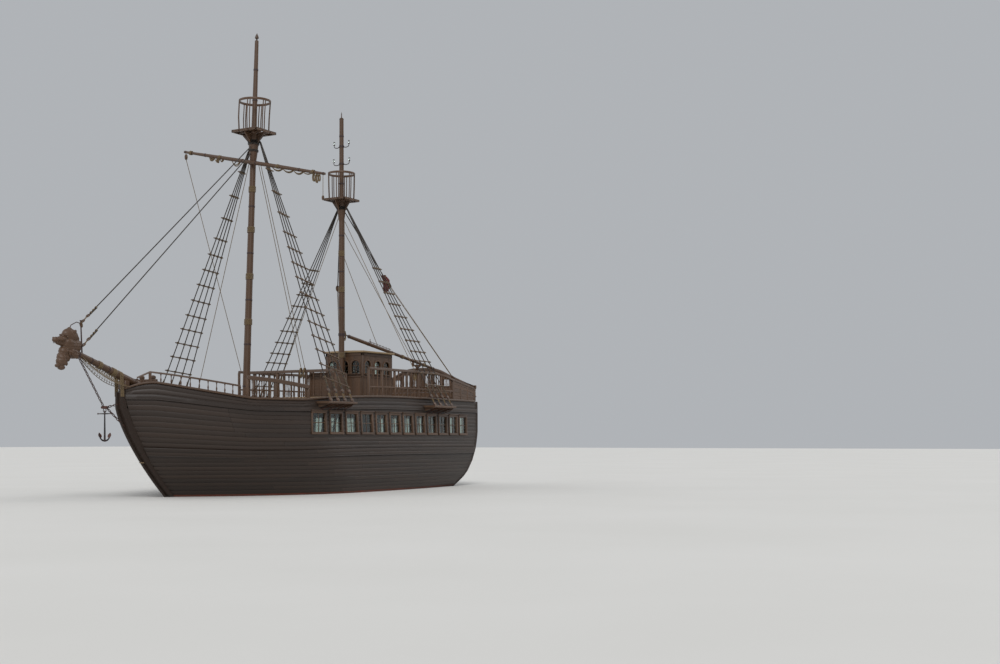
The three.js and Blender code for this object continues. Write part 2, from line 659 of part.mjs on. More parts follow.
const BREAK_RAIL = {
  aft: 10560, y0: -2900, y1: 1880, top: 5130, foot: 3970, pitch: 400, post: 90, baluster: 52, inset: 30,
};
function breakRail() {
  const { aft, y0, y1, top, foot, pitch, post, baluster, inset } = BREAK_RAIL;
  const x = at(aft);
  const pieces = [
    block(x - 55, x + 55, y0, y1, top - 120, top),
    block(x - 45, x + 45, y0, y1, QUARTER.top + GAP, foot),
  ];
  const count = Math.round((y1 - y0) / pitch);
  for (let i = 0; i <= count; i += 1) {
    const y = y0 + inset + ((y1 - y0 - 2 * inset) * i) / count;
    const half = (i % 4 === 0 ? post : baluster) / 2;
    const [from, to] = [Math.max(y0, y - half), Math.min(y1, y + half)];
    pieces.push(block(x - half, x + half, from, to, foot - 10, top - 60));
  }
  return joined(pieces);
}
part('break_rail', breakRail(), OAK);

// Companionway hood with a sliding hatch on top and a hinged door facing aft.

// A lift-off hinge on a vertical axis. The fixed half has a pin that stands in the
// moving half's eye.
const HINGE = { eye: 13, pin: 6, bore: 6.9, tall: 50 };
function liftHinge(x, y, z, toFixed, toMoving) {
  const pin = rod(vec(x, y, z - HINGE.tall), vec(x, y, z + HINGE.tall - 4), HINGE.pin, HINGE.pin, 12);
  const base = rod(vec(x, y, z - HINGE.tall), vec(x, y, z - GAP), HINGE.eye, HINGE.eye, 12);
  const eye = rod(vec(x, y, z), vec(x, y, z + HINGE.tall), HINGE.eye, HINGE.eye, 12);
  const bore = rod(vec(x, y, z - 5), vec(x, y, z + HINGE.tall + 5), HINGE.bore, HINGE.bore, 16);
  const strap = ([x0, x1, y0, y1], z0, z1) => block(x + x0, x + x1, y + y0, y + y1, z0, z1);
  return {
    fixed: joined([pin, base, strap(toFixed, z - HINGE.tall, z - GAP)]),
    moving: joined([eye, strap(toMoving, z, z + HINGE.tall)]).subtract(bore),
  };
}

const DOOR_GAP = 6;
const COMPANION_DOOR = { y0: HOOD.y0 + 130, y1: HOOD.y1 - 130, foot: 3960, head: 4800, thick: 36 };
const HATCH = { thick: 45, front: HOOD.front + 380, end: HOOD.end + 30, inset: 60 };
function companion() {
  const { front, end, y0, y1, top, wall } = HOOD;
  const shellBox = block(at(front), at(end), y0, y1, QUARTER.top + GAP, top);
  const hollow = block(at(front + wall), at(end - wall), y0 + wall, y1 - wall, 3000, top - 40);
  const topHole = block(at(front + 420), at(end - wall), y0 + 150, y1 - 150, top - 200, top + 200);
  const door = COMPANION_DOOR;
  const doorway = block(
    at(end - 200), at(end + 200), door.y0 - DOOR_GAP, door.y1 + DOOR_GAP,
    door.foot - DOOR_GAP, door.head + DOOR_GAP,
  );
  return without(shellBox, [hollow, topHole, doorway]);
}

const doorAxis = { x: at(HOOD.end) - 16, y: COMPANION_DOOR.y1 + DOOR_GAP / 2 };
const companionHinges = [4080, 4600].map((z) => (
  liftHinge(doorAxis.x, doorAxis.y, z, [0, 34, 5, 60], [0, 30, -60, -4])));
function companionDoor() {
  const { y0, y1, foot, head, thick } = COMPANION_DOOR;
  const leaf = block(at(HOOD.end), at(HOOD.end - thick), y0, y1, foot, head);
  return joined([leaf, companionHinges.map((h) => h.moving)]);
}
part('companion_hood', joined([companion(), companionHinges.map((h) => h.fixed)]), OAK);
part('companion_door', companionDoor(), OAK);
part('companion_hatch', block(
  at(HATCH.front), at(HATCH.end), HOOD.y0 + HATCH.inset, HOOD.y1 - HATCH.inset,
  HOOD.top + GAP, HOOD.top + HATCH.thick,
), OAK);

// Wheelhouse, with its roof, its aft door and the steering gear inside.

const HOUSE = {
  front: 13640, end: 15880, half: 1000, foot: 3900, wallTop: 6000, roofTop: 6090, wall: 70, eaves: 90,
};
const HOUSE_DOOR = {
  half: 350, foot: 3960, head: 5860, thick: 40, lightHalf: 200, lightFoot: 5000, lightHead: 5660,
};
const ARCH = { width: 460, sill: 5080, spring: 5450 };

// An arched opening cut through a wall. Across the ship it cuts the side walls.
function archCut(centre, y0, y1, acrossShip) {
  const half = ARCH.width / 2;
  const shape = new THREE.Shape();
  shape.moveTo(-half, ARCH.sill);
  shape.lineTo(half, ARCH.sill);
  shape.lineTo(half, ARCH.spring);
  shape.absarc(0, ARCH.spring, half, 0, Math.PI, false);
  shape.closePath();
  const extrusion = { depth: y1 - y0, bevelEnabled: false, curveSegments: 5 };
  const geometry = new THREE.ExtrudeGeometry(shape, extrusion);
  geometry.rotateX(Math.PI / 2);
  geometry.translate(0, y1, 0);
  if (!acrossShip) geometry.rotateZ(Math.PI / 2);
  if (acrossShip) geometry.translate(centre, 0, 0);
  else geometry.translate(0, centre, 0);
  return solid(geometry);
}

function wheelhouse() {
  const { front, end, half, foot, wallTop, wall } = HOUSE;
  const box = block(at(front), at(end), -half, half, foot + GAP, wallTop);
  const inner = half - wall;
  const hollow = block(at(front + wall), at(end - wall), -inner, inner, foot - 100, wallTop + 100);
  const doorHalf = HOUSE_DOOR.half + DOOR_GAP;
  const doorway = block(
    at(end - 300), at(end + 300), -doorHalf, doorHalf, HOUSE_DOOR.foot - DOOR_GAP, HOUSE_DOOR.head + DOOR_GAP,
  );
  const sideWindows = [14000, 14760, 15450].map((aft) => archCut(at(aft), -3000, 3000, true));
  const frontWindows = [-620, 0, 620].map((y) => (
    archCut(y, -at(front - 400), -at(front + 400), false)));
  return without(box, [hollow, doorway, sideWindows, frontWindows]);
}

const houseAxis = { x: at(HOUSE.end) - 16, y: -HOUSE_DOOR.half - DOOR_GAP / 2 };
const houseHinges = [4250, 5600].map((z) => (
  liftHinge(houseAxis.x, houseAxis.y, z, [0, 34, -60, -5], [0, 30, 4, 60])));
function wheelhouseDoor() {
  const { half, foot, head, thick, lightHalf, lightFoot, lightHead } = HOUSE_DOOR;
  const [out, inn] = [at(HOUSE.end), at(HOUSE.end - thick)];
  const light = block(out - 99, inn + 99, -lightHalf, lightHalf, lightFoot, lightHead);
  const leaf = block(out, inn, -half, half, foot, head).subtract(light);
  return joined([leaf, houseHinges.map((h) => h.moving)]);
}
part('wheelhouse', joined([wheelhouse(), houseHinges.map((h) => h.fixed)]), OAK);
part('wheelhouse_roof', block(
  at(HOUSE.front - HOUSE.eaves + 40), at(HOUSE.end + HOUSE.eaves),
  -HOUSE.half - HOUSE.eaves, HOUSE.half + HOUSE.eaves, HOUSE.wallTop + GAP, HOUSE.roofTop,
), DECKING);
part('wheelhouse_door', wheelhouseDoor(), OAK);

const HELM = {
  aft: 14130, z: 4950, rim: 330, rimWide: 60, rimThick: 36, handle: 470, spokes: 8, hub: 60,
  hubHalf: 35, shaft: 18, bore: 19.2, postAft: 13960, postHalf: 110, postDeep: 90,
};

// The wheel turns on a shaft that stands out of the aft face of its post.
function steeringWheel() {
  const pieces = [];
  const centre = vec(at(HELM.aft), 0, HELM.z);
  const section = [[-1, 1], [1, 1], [1, -1], [-1, -1], [-1, 1]].map(([r, h]) => (
    new THREE.Vector2(HELM.rim + (r * HELM.rimWide) / 2, (h * HELM.rimThick) / 2)));
  const ring = new THREE.LatheGeometry(section, 16);
  ring.rotateZ(Math.PI / 2);
  ring.translate(centre.x, centre.y, centre.z);
  pieces.push(solid(ring));
  for (let i = 0; i < HELM.spokes; i += 1) {
    const angle = (2 * Math.PI * i) / HELM.spokes + 0.2;
    const reach = vec(0, Math.cos(angle), Math.sin(angle)).multiplyScalar(HELM.handle);
    pieces.push(bar(centre, centre.clone().add(reach), 26));
  }
  const level = (dx) => centre.clone().add(vec(dx, 0, 0));
  pieces.push(rod(level(-HELM.hubHalf), level(HELM.hubHalf), HELM.hub, HELM.hub, 12));
  return joined(pieces).subtract(rod(level(-99), level(99), HELM.bore, HELM.bore, 16));
}
function helmPost() {
  const x = at(HELM.postAft);
  const { postDeep, postHalf, z } = HELM;
  const post = block(x - postDeep, x + postDeep, -postHalf, postHalf, HOUSE.foot + GAP, z + 130);
  const shaft = rod(vec(x, 0, z), vec(at(HELM.aft) - 45, 0, z), HELM.shaft, HELM.shaft, 12);
  return joined([post, shaft]);
}
part('helm_post', helmPost(), OAK);
part('steering_wheel', steeringWheel(), OAK);

// The masts.

// The boom's gooseneck: a band with two lugs and a pin, all on the mizzen mast.
const BOOM = {
  pin: 13680, z: 6810, swing: 14.5, reach: 5400, end: 5500, r: 80, tipR: 62,
  eye: 45, eyeHalf: 30, pinR: 18, bore: 19.2, lug: 16,
};
function gooseneck() {
  const top = BOOM.z + BOOM.eyeHalf + BOOM.lug;
  const foot = BOOM.z - BOOM.eyeHalf - BOOM.lug;
  const x = at(BOOM.pin);
  const mastX = at(MIZZEN.aft);
  const bandR = MIZZEN.deckR + 12;
  const band = rod(vec(mastX, 0, foot - 20), vec(mastX, 0, top + 20), bandR, bandR, MAST_SIDES);
  const lug = (z0, z1) => block(x - 50, mastX - 60, -50, 50, z0, z1);
  const lugs = [lug(foot, foot + BOOM.lug - GAP), lug(top - BOOM.lug + GAP, top)];
  const pin = rod(vec(x, 0, foot + 4), vec(x, 0, top - 4), BOOM.pinR, BOOM.pinR, 12);
  return joined([band, lugs, pin]);
}
// A round band on the fore mast, true to its rake, on which the yard's parrel turns.
// The band's 24 edges run on the parrel's 12 flats.
const PARREL = { z: 13385, r: 128, bandSides: 24, boreSides: 12, high: 130, thick: 44, clear: 0.4 };
function parrelRod(r, high, sides) {
  const middle = mastPoint(FORE, PARREL.z);
  const up = vec(-FORE.rake, 0, 1).setLength(high / 2);
  return rod(middle.clone().sub(up), middle.clone().add(up), r, r, sides);
}
part('fore_mast', joined([mastForm(FORE), parrelRod(PARREL.r, PARREL.high + 30, PARREL.bandSides)]), SPAR);
part('mizzen_mast', joined([mastForm(MIZZEN), gooseneck()]), SPAR);

// Crow's nests: a square platform, a ring on six posts and an open top.

const NEST_HOOP = { wide: 42, half: 55, post: 44, sides: 20 };
function crowsNest(mast, { seat, thick, half, ringZ, ringR, posts, hole }) {
  const centre = mastPoint(mast, seat);
  const platform = block(centre.x - half, centre.x + half, -half, half, seat, seat + thick);
  const holeX = centre.x + hole.x;
  const lubber = block(
    holeX - hole.along / 2, holeX + hole.along / 2, hole.y - hole.across / 2, hole.y + hole.across / 2,
    seat - 50, seat + thick + 50,
  );
  const ringCentre = mastPoint(mast, ringZ);
  const inner = ringR - NEST_HOOP.wide;
  const section = [[inner, -1], [ringR, -1], [ringR, 1], [inner, 1], [inner, -1]];
  const profile = section.map(([r, h]) => [r, h * NEST_HOOP.half]);
  const ring = turned(profile, ringCentre.x, 0, ringZ, NEST_HOOP.sides);
  const uprights = [];
  for (let i = 0; i < posts; i += 1) {
    const angle = (2 * Math.PI * (i + 0.3)) / posts;
    const [cos, sin] = [Math.cos(angle), Math.sin(angle)];
    const edge = half / Math.max(Math.abs(cos), Math.abs(sin));
    const lowR = Math.min(edge, ringR) - 40;
    const highR = ringR - NEST_HOOP.wide / 2;
    const low = vec(centre.x + cos * lowR, sin * lowR, seat + thick - 20);
    uprights.push(bar(low, vec(ringCentre.x + cos * highR, sin * highR, ringZ), NEST_HOOP.post));
  }
  return joined([without(platform, [mastForm(mast, GAP), lubber]), ring, uprights]);
}
const FORE_NEST = {
  seat: FORE_HOUNDS.seat, thick: 110, half: 640, ringZ: 15900, ringR: 650, posts: 6,
  hole: { x: -60, y: 330, along: 360, across: 300 },
};
const MIZZEN_NEST = {
  seat: MIZZEN_HOUNDS.seat, thick: 100, half: 570, ringZ: 13930, ringR: 600, posts: 6,
  hole: { x: -60, y: 310, along: 320, across: 260 },
};
part('fore_nest', crowsNest(FORE, FORE_NEST), SPAR);
part('mizzen_nest', crowsNest(MIZZEN, MIZZEN_NEST), SPAR);

// Lamp brackets on the mizzen topmast: an iron arm each way with an upturned end.

const LAMP = { bar: 36, socketR: 30, cupR: 44 };
function lampBracket(z, half, lift) {
  const x = at(MIZZEN.aft);
  const bandR = MIZZEN.midR + 26;
  const band = rod(vec(x, 0, z - 45), vec(x, 0, z + 45), bandR, bandR, MAST_SIDES);
  const arm = bar(vec(x, -half, z), vec(x, half, z), LAMP.bar);
  const ends = [-1, 1].flatMap((side) => {
    const end = (height) => vec(x, side * (half - LAMP.bar / 2), height);
    return [
      bar(end(z - LAMP.bar / 2), end(z + lift), LAMP.bar),
      rod(end(z + lift - 30), end(z + lift + 70), LAMP.socketR, LAMP.cupR, 8),
    ];
  });
  return joined([band, arm, ends]).subtract(mastForm(MIZZEN, GAP));
}
part('lamp_bracket_upper', lampBracket(15150, 420, 170), IRON);
part('lamp_bracket_lower', lampBracket(14380, 440, 180), IRON);

// The yard: a tapered spar slung in front of the fore mast, canted, with its parrel.

const YARD = { forward: 225, port: 3900, starboard: 3570, cant: 0.2205, r: 78, tipR: 48 };
function yard() {
  const middle = mastPoint(FORE, PARREL.z).add(vec(YARD.forward, 0, 0));
  const lean = Math.hypot(1, YARD.cant);
  const tip = (reach, side) => (
    middle.clone().add(vec(0, side, -side * YARD.cant).multiplyScalar(reach / lean)));
  const spar = [
    rod(tip(YARD.starboard, -1), middle, YARD.tipR, YARD.r, 10),
    rod(tip(100, -1), tip(YARD.port, 1), YARD.r, YARD.tipR, 10),
  ];
  const mast = mastPoint(FORE, PARREL.z);
  const ring = parrelRod(PARREL.r + PARREL.thick, PARREL.high, PARREL.bandSides);
  const truss = block(mast.x + PARREL.r, mast.x + YARD.forward, -60, 60, PARREL.z - 50, PARREL.z + 50);
  const bore = (PARREL.r + PARREL.clear) / Math.cos(Math.PI / PARREL.boreSides);
  return joined([spar, ring, truss]).subtract(parrelRod(bore, 4 * PARREL.high, PARREL.boreSides));
}
part('yard', yard(), SPAR);

// The boom, at rest a little to port in its crutch.

const boomTurn = THREE.MathUtils.degToRad(BOOM.swing);
const boomPoint = (reach, z) => vec(at(BOOM.pin) - Math.cos(boomTurn) * reach, Math.sin(boomTurn) * reach, z);
const boomSlope = (BOOM.end - BOOM.z) / BOOM.reach;
const boomZ = (reach) => BOOM.z + boomSlope * reach;
const boomR = (reach) => BOOM.r + ((BOOM.tipR - BOOM.r) * reach) / BOOM.reach;
const boomDepth = (reach) => boomR(reach) * Math.hypot(1, boomSlope);
function boom() {
  const x = at(BOOM.pin);
  const { eye: eyeR, eyeHalf, z } = BOOM;
  const eye = rod(vec(x, 0, z - eyeHalf), vec(x, 0, z + eyeHalf), eyeR, eyeR, 12);
  const neck = [
    bar(boomPoint(20, BOOM.z), boomPoint(90, BOOM.z), 46),
    bar(boomPoint(80, BOOM.z), boomPoint(190, boomZ(190)), 46),
  ];
  const spar = rod(boomPoint(130, boomZ(130)), boomPoint(BOOM.reach, BOOM.end), BOOM.r, BOOM.tipR, 10);
  const bore = rod(vec(x, 0, z - 99), vec(x, 0, z + 99), BOOM.bore, BOOM.bore, 16);
  return joined([eye, neck, spar]).subtract(bore);
}
part('boom', boom(), SPAR);

const CRUTCH = { reach: 4350, post: 130, head: 420, headHalf: 60, headHigh: 110, shoe: 220, shoeHigh: 60 };
function crutch() {
  const after = CRUTCH.reach + CRUTCH.head / 4;
  const top = boomZ(after) - boomDepth(after) - SWING;
  const { x, y, z } = boomPoint(CRUTCH.reach, QUARTER.top + GAP);
  const pad = (halfX, halfY, z0, z1) => block(x - halfX, x + halfX, y - halfY, y + halfY, z0, z1);
  return joined([
    pad(CRUTCH.post / 2, CRUTCH.post / 2, z, top - 20),
    pad(CRUTCH.headHalf, CRUTCH.head / 2, top - CRUTCH.headHigh, top),
    pad(CRUTCH.shoe / 2, CRUTCH.shoe / 2, z, z + CRUTCH.shoeHigh),
  ]);
}
part('boom_crutch', crutch(), OAK);

// Bowsprit, carried by the bitts and by a saddle on the cap rails where they meet.

const SPRIT = { seatAft: 440, seatZ: 4330, slope: 0.347, heel: 1560, tip: -2250, r: 165, tipR: 90 };
const SADDLE = { front: 225, end: 450, half: 130 };
const spritPoint = (aft) => vec(at(aft), 0, SPRIT.seatZ + SPRIT.slope * (SPRIT.seatAft - aft));
const spritRod = (extra) => rod(
  spritPoint(SPRIT.heel + extra), spritPoint(SPRIT.tip - extra), SPRIT.r + extra, SPRIT.tipR + extra, 12,
);
// An iron rod stands on the bowsprit's end, and the fore stays are made fast to it.
const STAY_ROD = { aft: -1700, lean: 60, top: 6300, r: 26 };
const stayRod = (extra) => {
  const head = vec(at(STAY_ROD.aft - STAY_ROD.lean), 0, STAY_ROD.top);
  return rod(spritPoint(STAY_ROD.aft), head, STAY_ROD.r + extra);
};
function bowsprit() {
  const { front, end, half } = SADDLE;
  const saddle = block(at(front), at(end), -half, half, RAIL_HEIGHT, spritPoint(end).z);
  return joined([spritRod(0), stayRod(0), saddle]).subtract(underCaps);
}
part('bowsprit', bowsprit(), SPAR);

// Figurehead: a carved sea beast on the bowsprit's end, as a plain body with a crest.
// Rows are distance aft of the stem head and height.
const BEAST_BODY = [
  [-3000, 5560], [-2960, 5760], [-2640, 5800], [-2560, 5960], [-2210, 6060], [-2040, 5880],
  [-1900, 5560], [-1960, 5240], [-2190, 4880], [-2250, 4610], [-2580, 4530], [-2700, 4760],
  [-2940, 4900], [-2780, 5040], [-2660, 5320], [-2940, 5380],
];
const BEAST_CREST = [
  [-2420, 5980], [-2215, 6110], [-1980, 5880], [-1670, 5560], [-1820, 5330], [-2150, 5400],
];
function figurehead() {
  const outlineOf = (rows) => rows.map(([aft, z]) => [at(aft), z]);
  const body = board(outlineOf(BEAST_BODY), 400, 0);
  const crest = board(outlineOf(BEAST_CREST), 150, 0);
  return without(joined([body, crest]), [spritRod(GAP), stayRod(GAP)]);
}
part('figurehead', figurehead(), OAK);

// Bobstay gear under the bowsprit: two chains, drawn as bars, that meet at a spreader.
const BOBSTAY = { tip: -1880, knot: [-640, 3300], heads: [3430, 2620], r: 26 };
function bobstay() {
  const knot = vec(at(BOBSTAY.knot[0]), 0, BOBSTAY.knot[1]);
  const low = spritPoint(BOBSTAY.tip).add(vec(0, 0, -40));
  const legs = BOBSTAY.heads.map((z) => bar(knot, vec(at(stemFront(z) + 30), 0, z), BOBSTAY.r * 2));
  const spreader = block(knot.x - 60, knot.x + 60, -120, 120, knot.z - 60, knot.z + 60);
  const upper = bar(low, knot, BOBSTAY.r * 2);
  const edge = [1300, 1750, 2350, 3250].map((z) => [at(stemFront(z)) + GAP, z]);
  const stemForm = board([
    [at(2500), STEM.head], [at(2500), 1300], ...edge, [at(0) + GAP, STEM.top], [at(0) + GAP, STEM.head],
  ], 3 * STEM.half, 0);
  return without(joined([legs, spreader, upper]), [spritRod(GAP), stemForm, figureForm()]);
}
function figureForm() {
  return board(BEAST_BODY.map(([aft, z]) => [at(aft), z]), 401, 0);
}
part('bobstay', bobstay(), IRON);

// Anchor hung by its ring under the spreader.
const ANCHOR = { aft: BOBSTAY.knot[0], top: BOBSTAY.knot[1] - 60 - GAP, length: 1150 };
function anchor() {
  const x = at(ANCHOR.aft);
  const foot = ANCHOR.top - ANCHOR.length;
  const shank = block(x - 26, x + 26, -26, 26, foot, ANCHOR.top);
  const stock = block(x - 24, x + 24, -330, 330, ANCHOR.top - 190, ANCHOR.top - 140);
  const arms = [-1, 1].map((side) => (
    bar(vec(x, side * 10, foot + 30), vec(x + side * 250, 0, foot + 240), 50)));
  const flukes = [-1, 1].map((side) => {
    const tipX = x + side * 250;
    return block(tipX - 30, tipX + 30, -75, 75, foot + 180, foot + 290);
  });
  return joined([shank, stock, arms, flukes]);
}
part('anchor', anchor(), IRON);

// Stays: taut ropes, drawn as square bars.

const stay = (from, to) => bar(from, to, 2 * ROPE);
const FORESTAYS = [
  { name: 'fore_stay', head: 14180, foot: 6230 },
  { name: 'fore_topmast_stay', head: 13900, foot: 5400 },
];
for (const row of FORESTAYS) {
  const low = spritPoint(STAY_ROD.aft).z;
  const lean = STAY_ROD.lean * ((row.foot - low) / (STAY_ROD.top - low));
  const foot = vec(at(STAY_ROD.aft - lean) - STAY_ROD.r / 2, 0, row.foot);
  const rope = stay(foot, mastPoint(FORE, row.head));
  part(row.name, without(rope, [mastForm(FORE, GAP), stayRod(GAP)]), HEMP);
}

// Shrouds with their rungs, each set on its channel. Rows: mast, side, height of the
// masthead, the hounds' radius there, how far the shrouds start aft of the mast, the
// first and last shroud's foot aft of the stem head, the rungs' heights amid the net, and
// how steeply they slope down aft.
const FORE_RUNGS = [4400, 4950, 5530, 6090, 6670, 7240, 7850, 8490, 9100, 9730, 10380, 11200, 12110, 13070];
const MIZZEN_RUNGS = [4550, 5070, 5610, 6030, 6510, 7020, 7580, 8130, 8620, 9120, 9720];
const SHROUDS = [
  {
    name: 'fore_shrouds_port', mast: FORE, side: 1, head: 14230, headR: FORE_HOUNDS.r, lag: 145,
    foot: [6950, 8350], rungs: FORE_RUNGS, slope: 0.3,
  },
  {
    name: 'fore_shrouds_starboard', mast: FORE, side: -1, head: 14230, headR: FORE_HOUNDS.r, lag: 145,
    foot: [6300, 7950], rungs: FORE_RUNGS, slope: 0.09,
  },
  {
    name: 'mizzen_shrouds_port', mast: MIZZEN, side: 1, head: 12420, headR: MIZZEN_HOUNDS.r, lag: 90,
    foot: [14750, 16350], rungs: MIZZEN_RUNGS, slope: 0,
  },
  {
    name: 'mizzen_shrouds_starboard', mast: MIZZEN, side: -1, head: 12420, headR: MIZZEN_HOUNDS.r, lag: 60,
    foot: [12150, 13650], rungs: MIZZEN_RUNGS, slope: 0,
  },
];
const SHROUD = { count: 4, headSpread: 60, stub: 110, narrowest: 12, clear: 60, netTop: 0.94 };

// The net of shrouds and rungs, flat: x along the channel and y up the shrouds.
const plate = (points, from, to) => {
  const shape = new THREE.Shape(points.map(([x, y]) => new THREE.Vector2(x, y)));
  const geometry = new THREE.ExtrudeGeometry(shape, { depth: to - from, bevelEnabled: false });
  return solid(geometry.translate(0, 0, from));
};
function flatNet(width, height, headX, rungs, slope) {
  const last = SHROUD.count - 1;
  const edge = (i, y) => {
    const foot = (width * i) / last;
    const head = headX + SHROUD.headSpread * (i / last - 0.5);
    return foot + ((head - foot) * y) / height;
  };
  // Height at which a rung crosses a shroud. The first level is the foot, not a rung.
  const levels = [SHROUD.clear - RUNG, ...rungs];
  const levelAt = (k, i) => {
    const y = levels[k];
    return k ? y - slope * (edge(i, y) - (edge(0, y) + edge(last, y)) / 2) : y;
  };
  const outlineSide = (i, sign) => {
    const x = (y) => edge(i, y) + sign * ROPE;
    const steps = rungs.flatMap((_, k) => {
      const y = levelAt(k + 1, i);
      return [
        [x(y - RUNG), y - RUNG], [x(y) + sign * SHROUD.stub, y - RUNG],
        [x(y) + sign * SHROUD.stub, y + RUNG], [x(y + RUNG), y + RUNG],
      ];
    });
    return [[x(0), 0], ...steps, [x(height), height]];
  };
  const rim = [...outlineSide(last, 1), ...outlineSide(0, -1).reverse()];
  const openings = [];
  for (let i = 0; i < last; i += 1) {
    const fore = (y) => [edge(i, y) + ROPE, y];
    const after = (y) => [edge(i + 1, y) - ROPE, y];
    for (let k = 0; k < levels.length; k += 1) {
      const foot = [i, i + 1].map((j) => levelAt(k, j) + RUNG);
      const top = [i, i + 1].map((j) => (
        k + 1 < levels.length ? levelAt(k + 1, j) - RUNG : height * SHROUD.netTop));
      if (after(top[1])[0] - fore(top[0])[0] < SHROUD.narrowest) break;
      const corners = [fore(foot[0]), after(foot[1]), after(top[1]), fore(top[0])];
      openings.push(plate(corners, -2 * ROPE, 2 * ROPE));
    }
  }
  return without(plate(rim, -ROPE, ROPE), openings);
}

function shroudSet({ mast, side, head, headR, lag, foot, rungs, slope }) {
  const footY = (aft) => sideAt(CHANNEL.z, aft) + CHANNEL.width - 70;
  const footPoint = (aft) => vec(at(aft), side * footY(aft), CHANNEL.z + 30);
  const [first, last] = foot.map(footPoint);
  const top = mastPoint(mast, head).add(vec(-lag, side * (headR + 24), 0));
  const u = last.clone().sub(first).normalize();
  const rise = top.clone().sub(first);
  const headX = rise.dot(u);
  const v = rise.clone().addScaledVector(u, -headX).normalize();
  const height = rise.dot(v);
  const toNet = (z) => (z - first.z) / v.z;
  const net = geometryOf(flatNet(first.distanceTo(last), height, headX, rungs.map(toNet), slope));
  net.applyMatrix4(new THREE.Matrix4().makeBasis(u, v, u.clone().cross(v)).setPosition(first));
  const strop = mastPoint(mast, head);
  const masthead = block(
    strop.x - lag - 60, strop.x + 30, side * (headR - 60), side * (headR + 46), head - 60, head + 40,
  ).subtract(mastForm(mast, GAP));
  const reach = hullForm([3000, 4200].map((z) => ({ z, shape: CHANNEL.z, inset: -CHANNEL.width })));
  const channel = block(
    at(foot[0] - 200), at(foot[1] + 200), side * 2500, side * 6000, CHANNEL.z, CHANNEL.z + CHANNEL.thick,
  ).intersect(reach).subtract(outside);
  return joined([channel, solid(net).subtract(mastForm(mast, GAP)), masthead]);
}
for (const row of SHROUDS) part(row.name, shroudSet(row), HEMP);

// Mizzen backstays, with the furled flag on the port one.

const BACKSTAY = { head: 12400, foot: 17750, footZ: 4890, mid: 9100, midAft: 15050, midY: 1420, apart: 60 };
function backstay(sign, extra) {
  const head = mastPoint(MIZZEN, BACKSTAY.head).add(vec(0, sign * BACKSTAY.apart, 0));
  const foot = capPoint(BACKSTAY.foot, sign, BACKSTAY.footZ);
  const mid = vec(at(BACKSTAY.midAft), sign * BACKSTAY.midY, BACKSTAY.mid);
  const wide = 2 * (ROPE + extra);
  return joined([bar(head, mid, wide), bar(mid.clone().lerp(head, 0.005), foot, wide)]);
}
for (const [side, sign] of HALVES) {
  const rope = without(backstay(sign, 0), [mastForm(MIZZEN, GAP), quarterPanel(sign, GAP)]);
  part(`mizzen_backstay_${side}`, rope, HEMP);
}

// The bundle's outline, as rows of distance forward of the backstay's knuckle and height.
const FLAG = {
  thick: 180, inboard: 130,
  rows: [[260, 9480], [-60, 9300], [-240, 9080], [-180, 8820], [120, 8960], [300, 9240]],
};
function furledFlag() {
  const rows = FLAG.rows.map(([x, z]) => [at(BACKSTAY.midAft) + x, z]);
  return board(rows, FLAG.thick, BACKSTAY.midY - FLAG.inboard).subtract(backstay(1, GAP));
}
part('furled_flag', furledFlag(), CANVAS);

// Bitts, whose lower beam is the bed of the bowsprit's heel, and the windlass behind them.

const BITTS = {
  aft: 1480, half: 75, y: 215, thick: 130, top: 4520, beamZ: 4250, beam: 130, beamOut: 250, beamHalf: 60,
};
function bitts() {
  const x = at(BITTS.aft);
  const { half, y, thick, top, beam: high, beamZ, beamHalf } = BITTS;
  const posts = [-1, 1].map((side) => (
    block(x - half, x + half, side * y, side * (y + thick), FORE_DECK.top + GAP, top)));
  const beamReach = y + BITTS.beamOut;
  const beam = block(x - beamHalf, x + beamHalf, -beamReach, beamReach, beamZ, beamZ + high);
  const sprit = spritPoint(BITTS.aft).z;
  const bed = block(x - beamHalf, x + beamHalf, -y - 5, y + 5, FORE_DECK.top + 200, sprit - 60)
    .subtract(spritRod(GAP));
  return joined([posts, beam, bed]);
}
part('bitts', bitts(), OAK);

const WINDLASS = {
  aft: 2350, z: 3830, r: 130, half: 480, cheek: 60, cheekHalf: 130,
  shaft: 40, bore: 41.3, end: 240, headStart: 75,
};
function windlassFrame() {
  const x = at(WINDLASS.aft);
  const { cheekHalf } = WINDLASS;
  const deckTop = FORE_DECK.top + GAP;
  const cheeks = [-1, 1].map((side) => {
    const y0 = side * (WINDLASS.half + 2 * GAP);
    return block(x - cheekHalf, x + cheekHalf, y0, y0 + side * WINDLASS.cheek, deckTop, WINDLASS.z + 170);
  });
  const tieReach = WINDLASS.half + 5;
  const tie = block(x - cheekHalf, x + cheekHalf, -tieReach, tieReach, deckTop, deckTop + 70);
  const bore = rod(vec(x, -900, WINDLASS.z), vec(x, 900, WINDLASS.z), WINDLASS.bore, WINDLASS.bore, 16);
  return joined([cheeks, tie]).subtract(bore);
}
function windlassDrum() {
  const { half, r, shaft, end, headStart } = WINDLASS;
  const axis = (y) => vec(at(WINDLASS.aft), y, WINDLASS.z);
  const heads = [-1, 1].map((side) => (
    rod(axis(side * (half + headStart)), axis(side * (half + end)), 70, 100, 10)));
  return joined([
    rod(axis(-half), axis(half), r), rod(axis(-half - end), axis(half + end), shaft, shaft, 12), heads,
  ]);
}
part('windlass_frame', windlassFrame(), OAK);
part('windlass_drum', windlassDrum(), OAK);

// Rudder, hung on its stock in the hull and on a pin in the shoe.

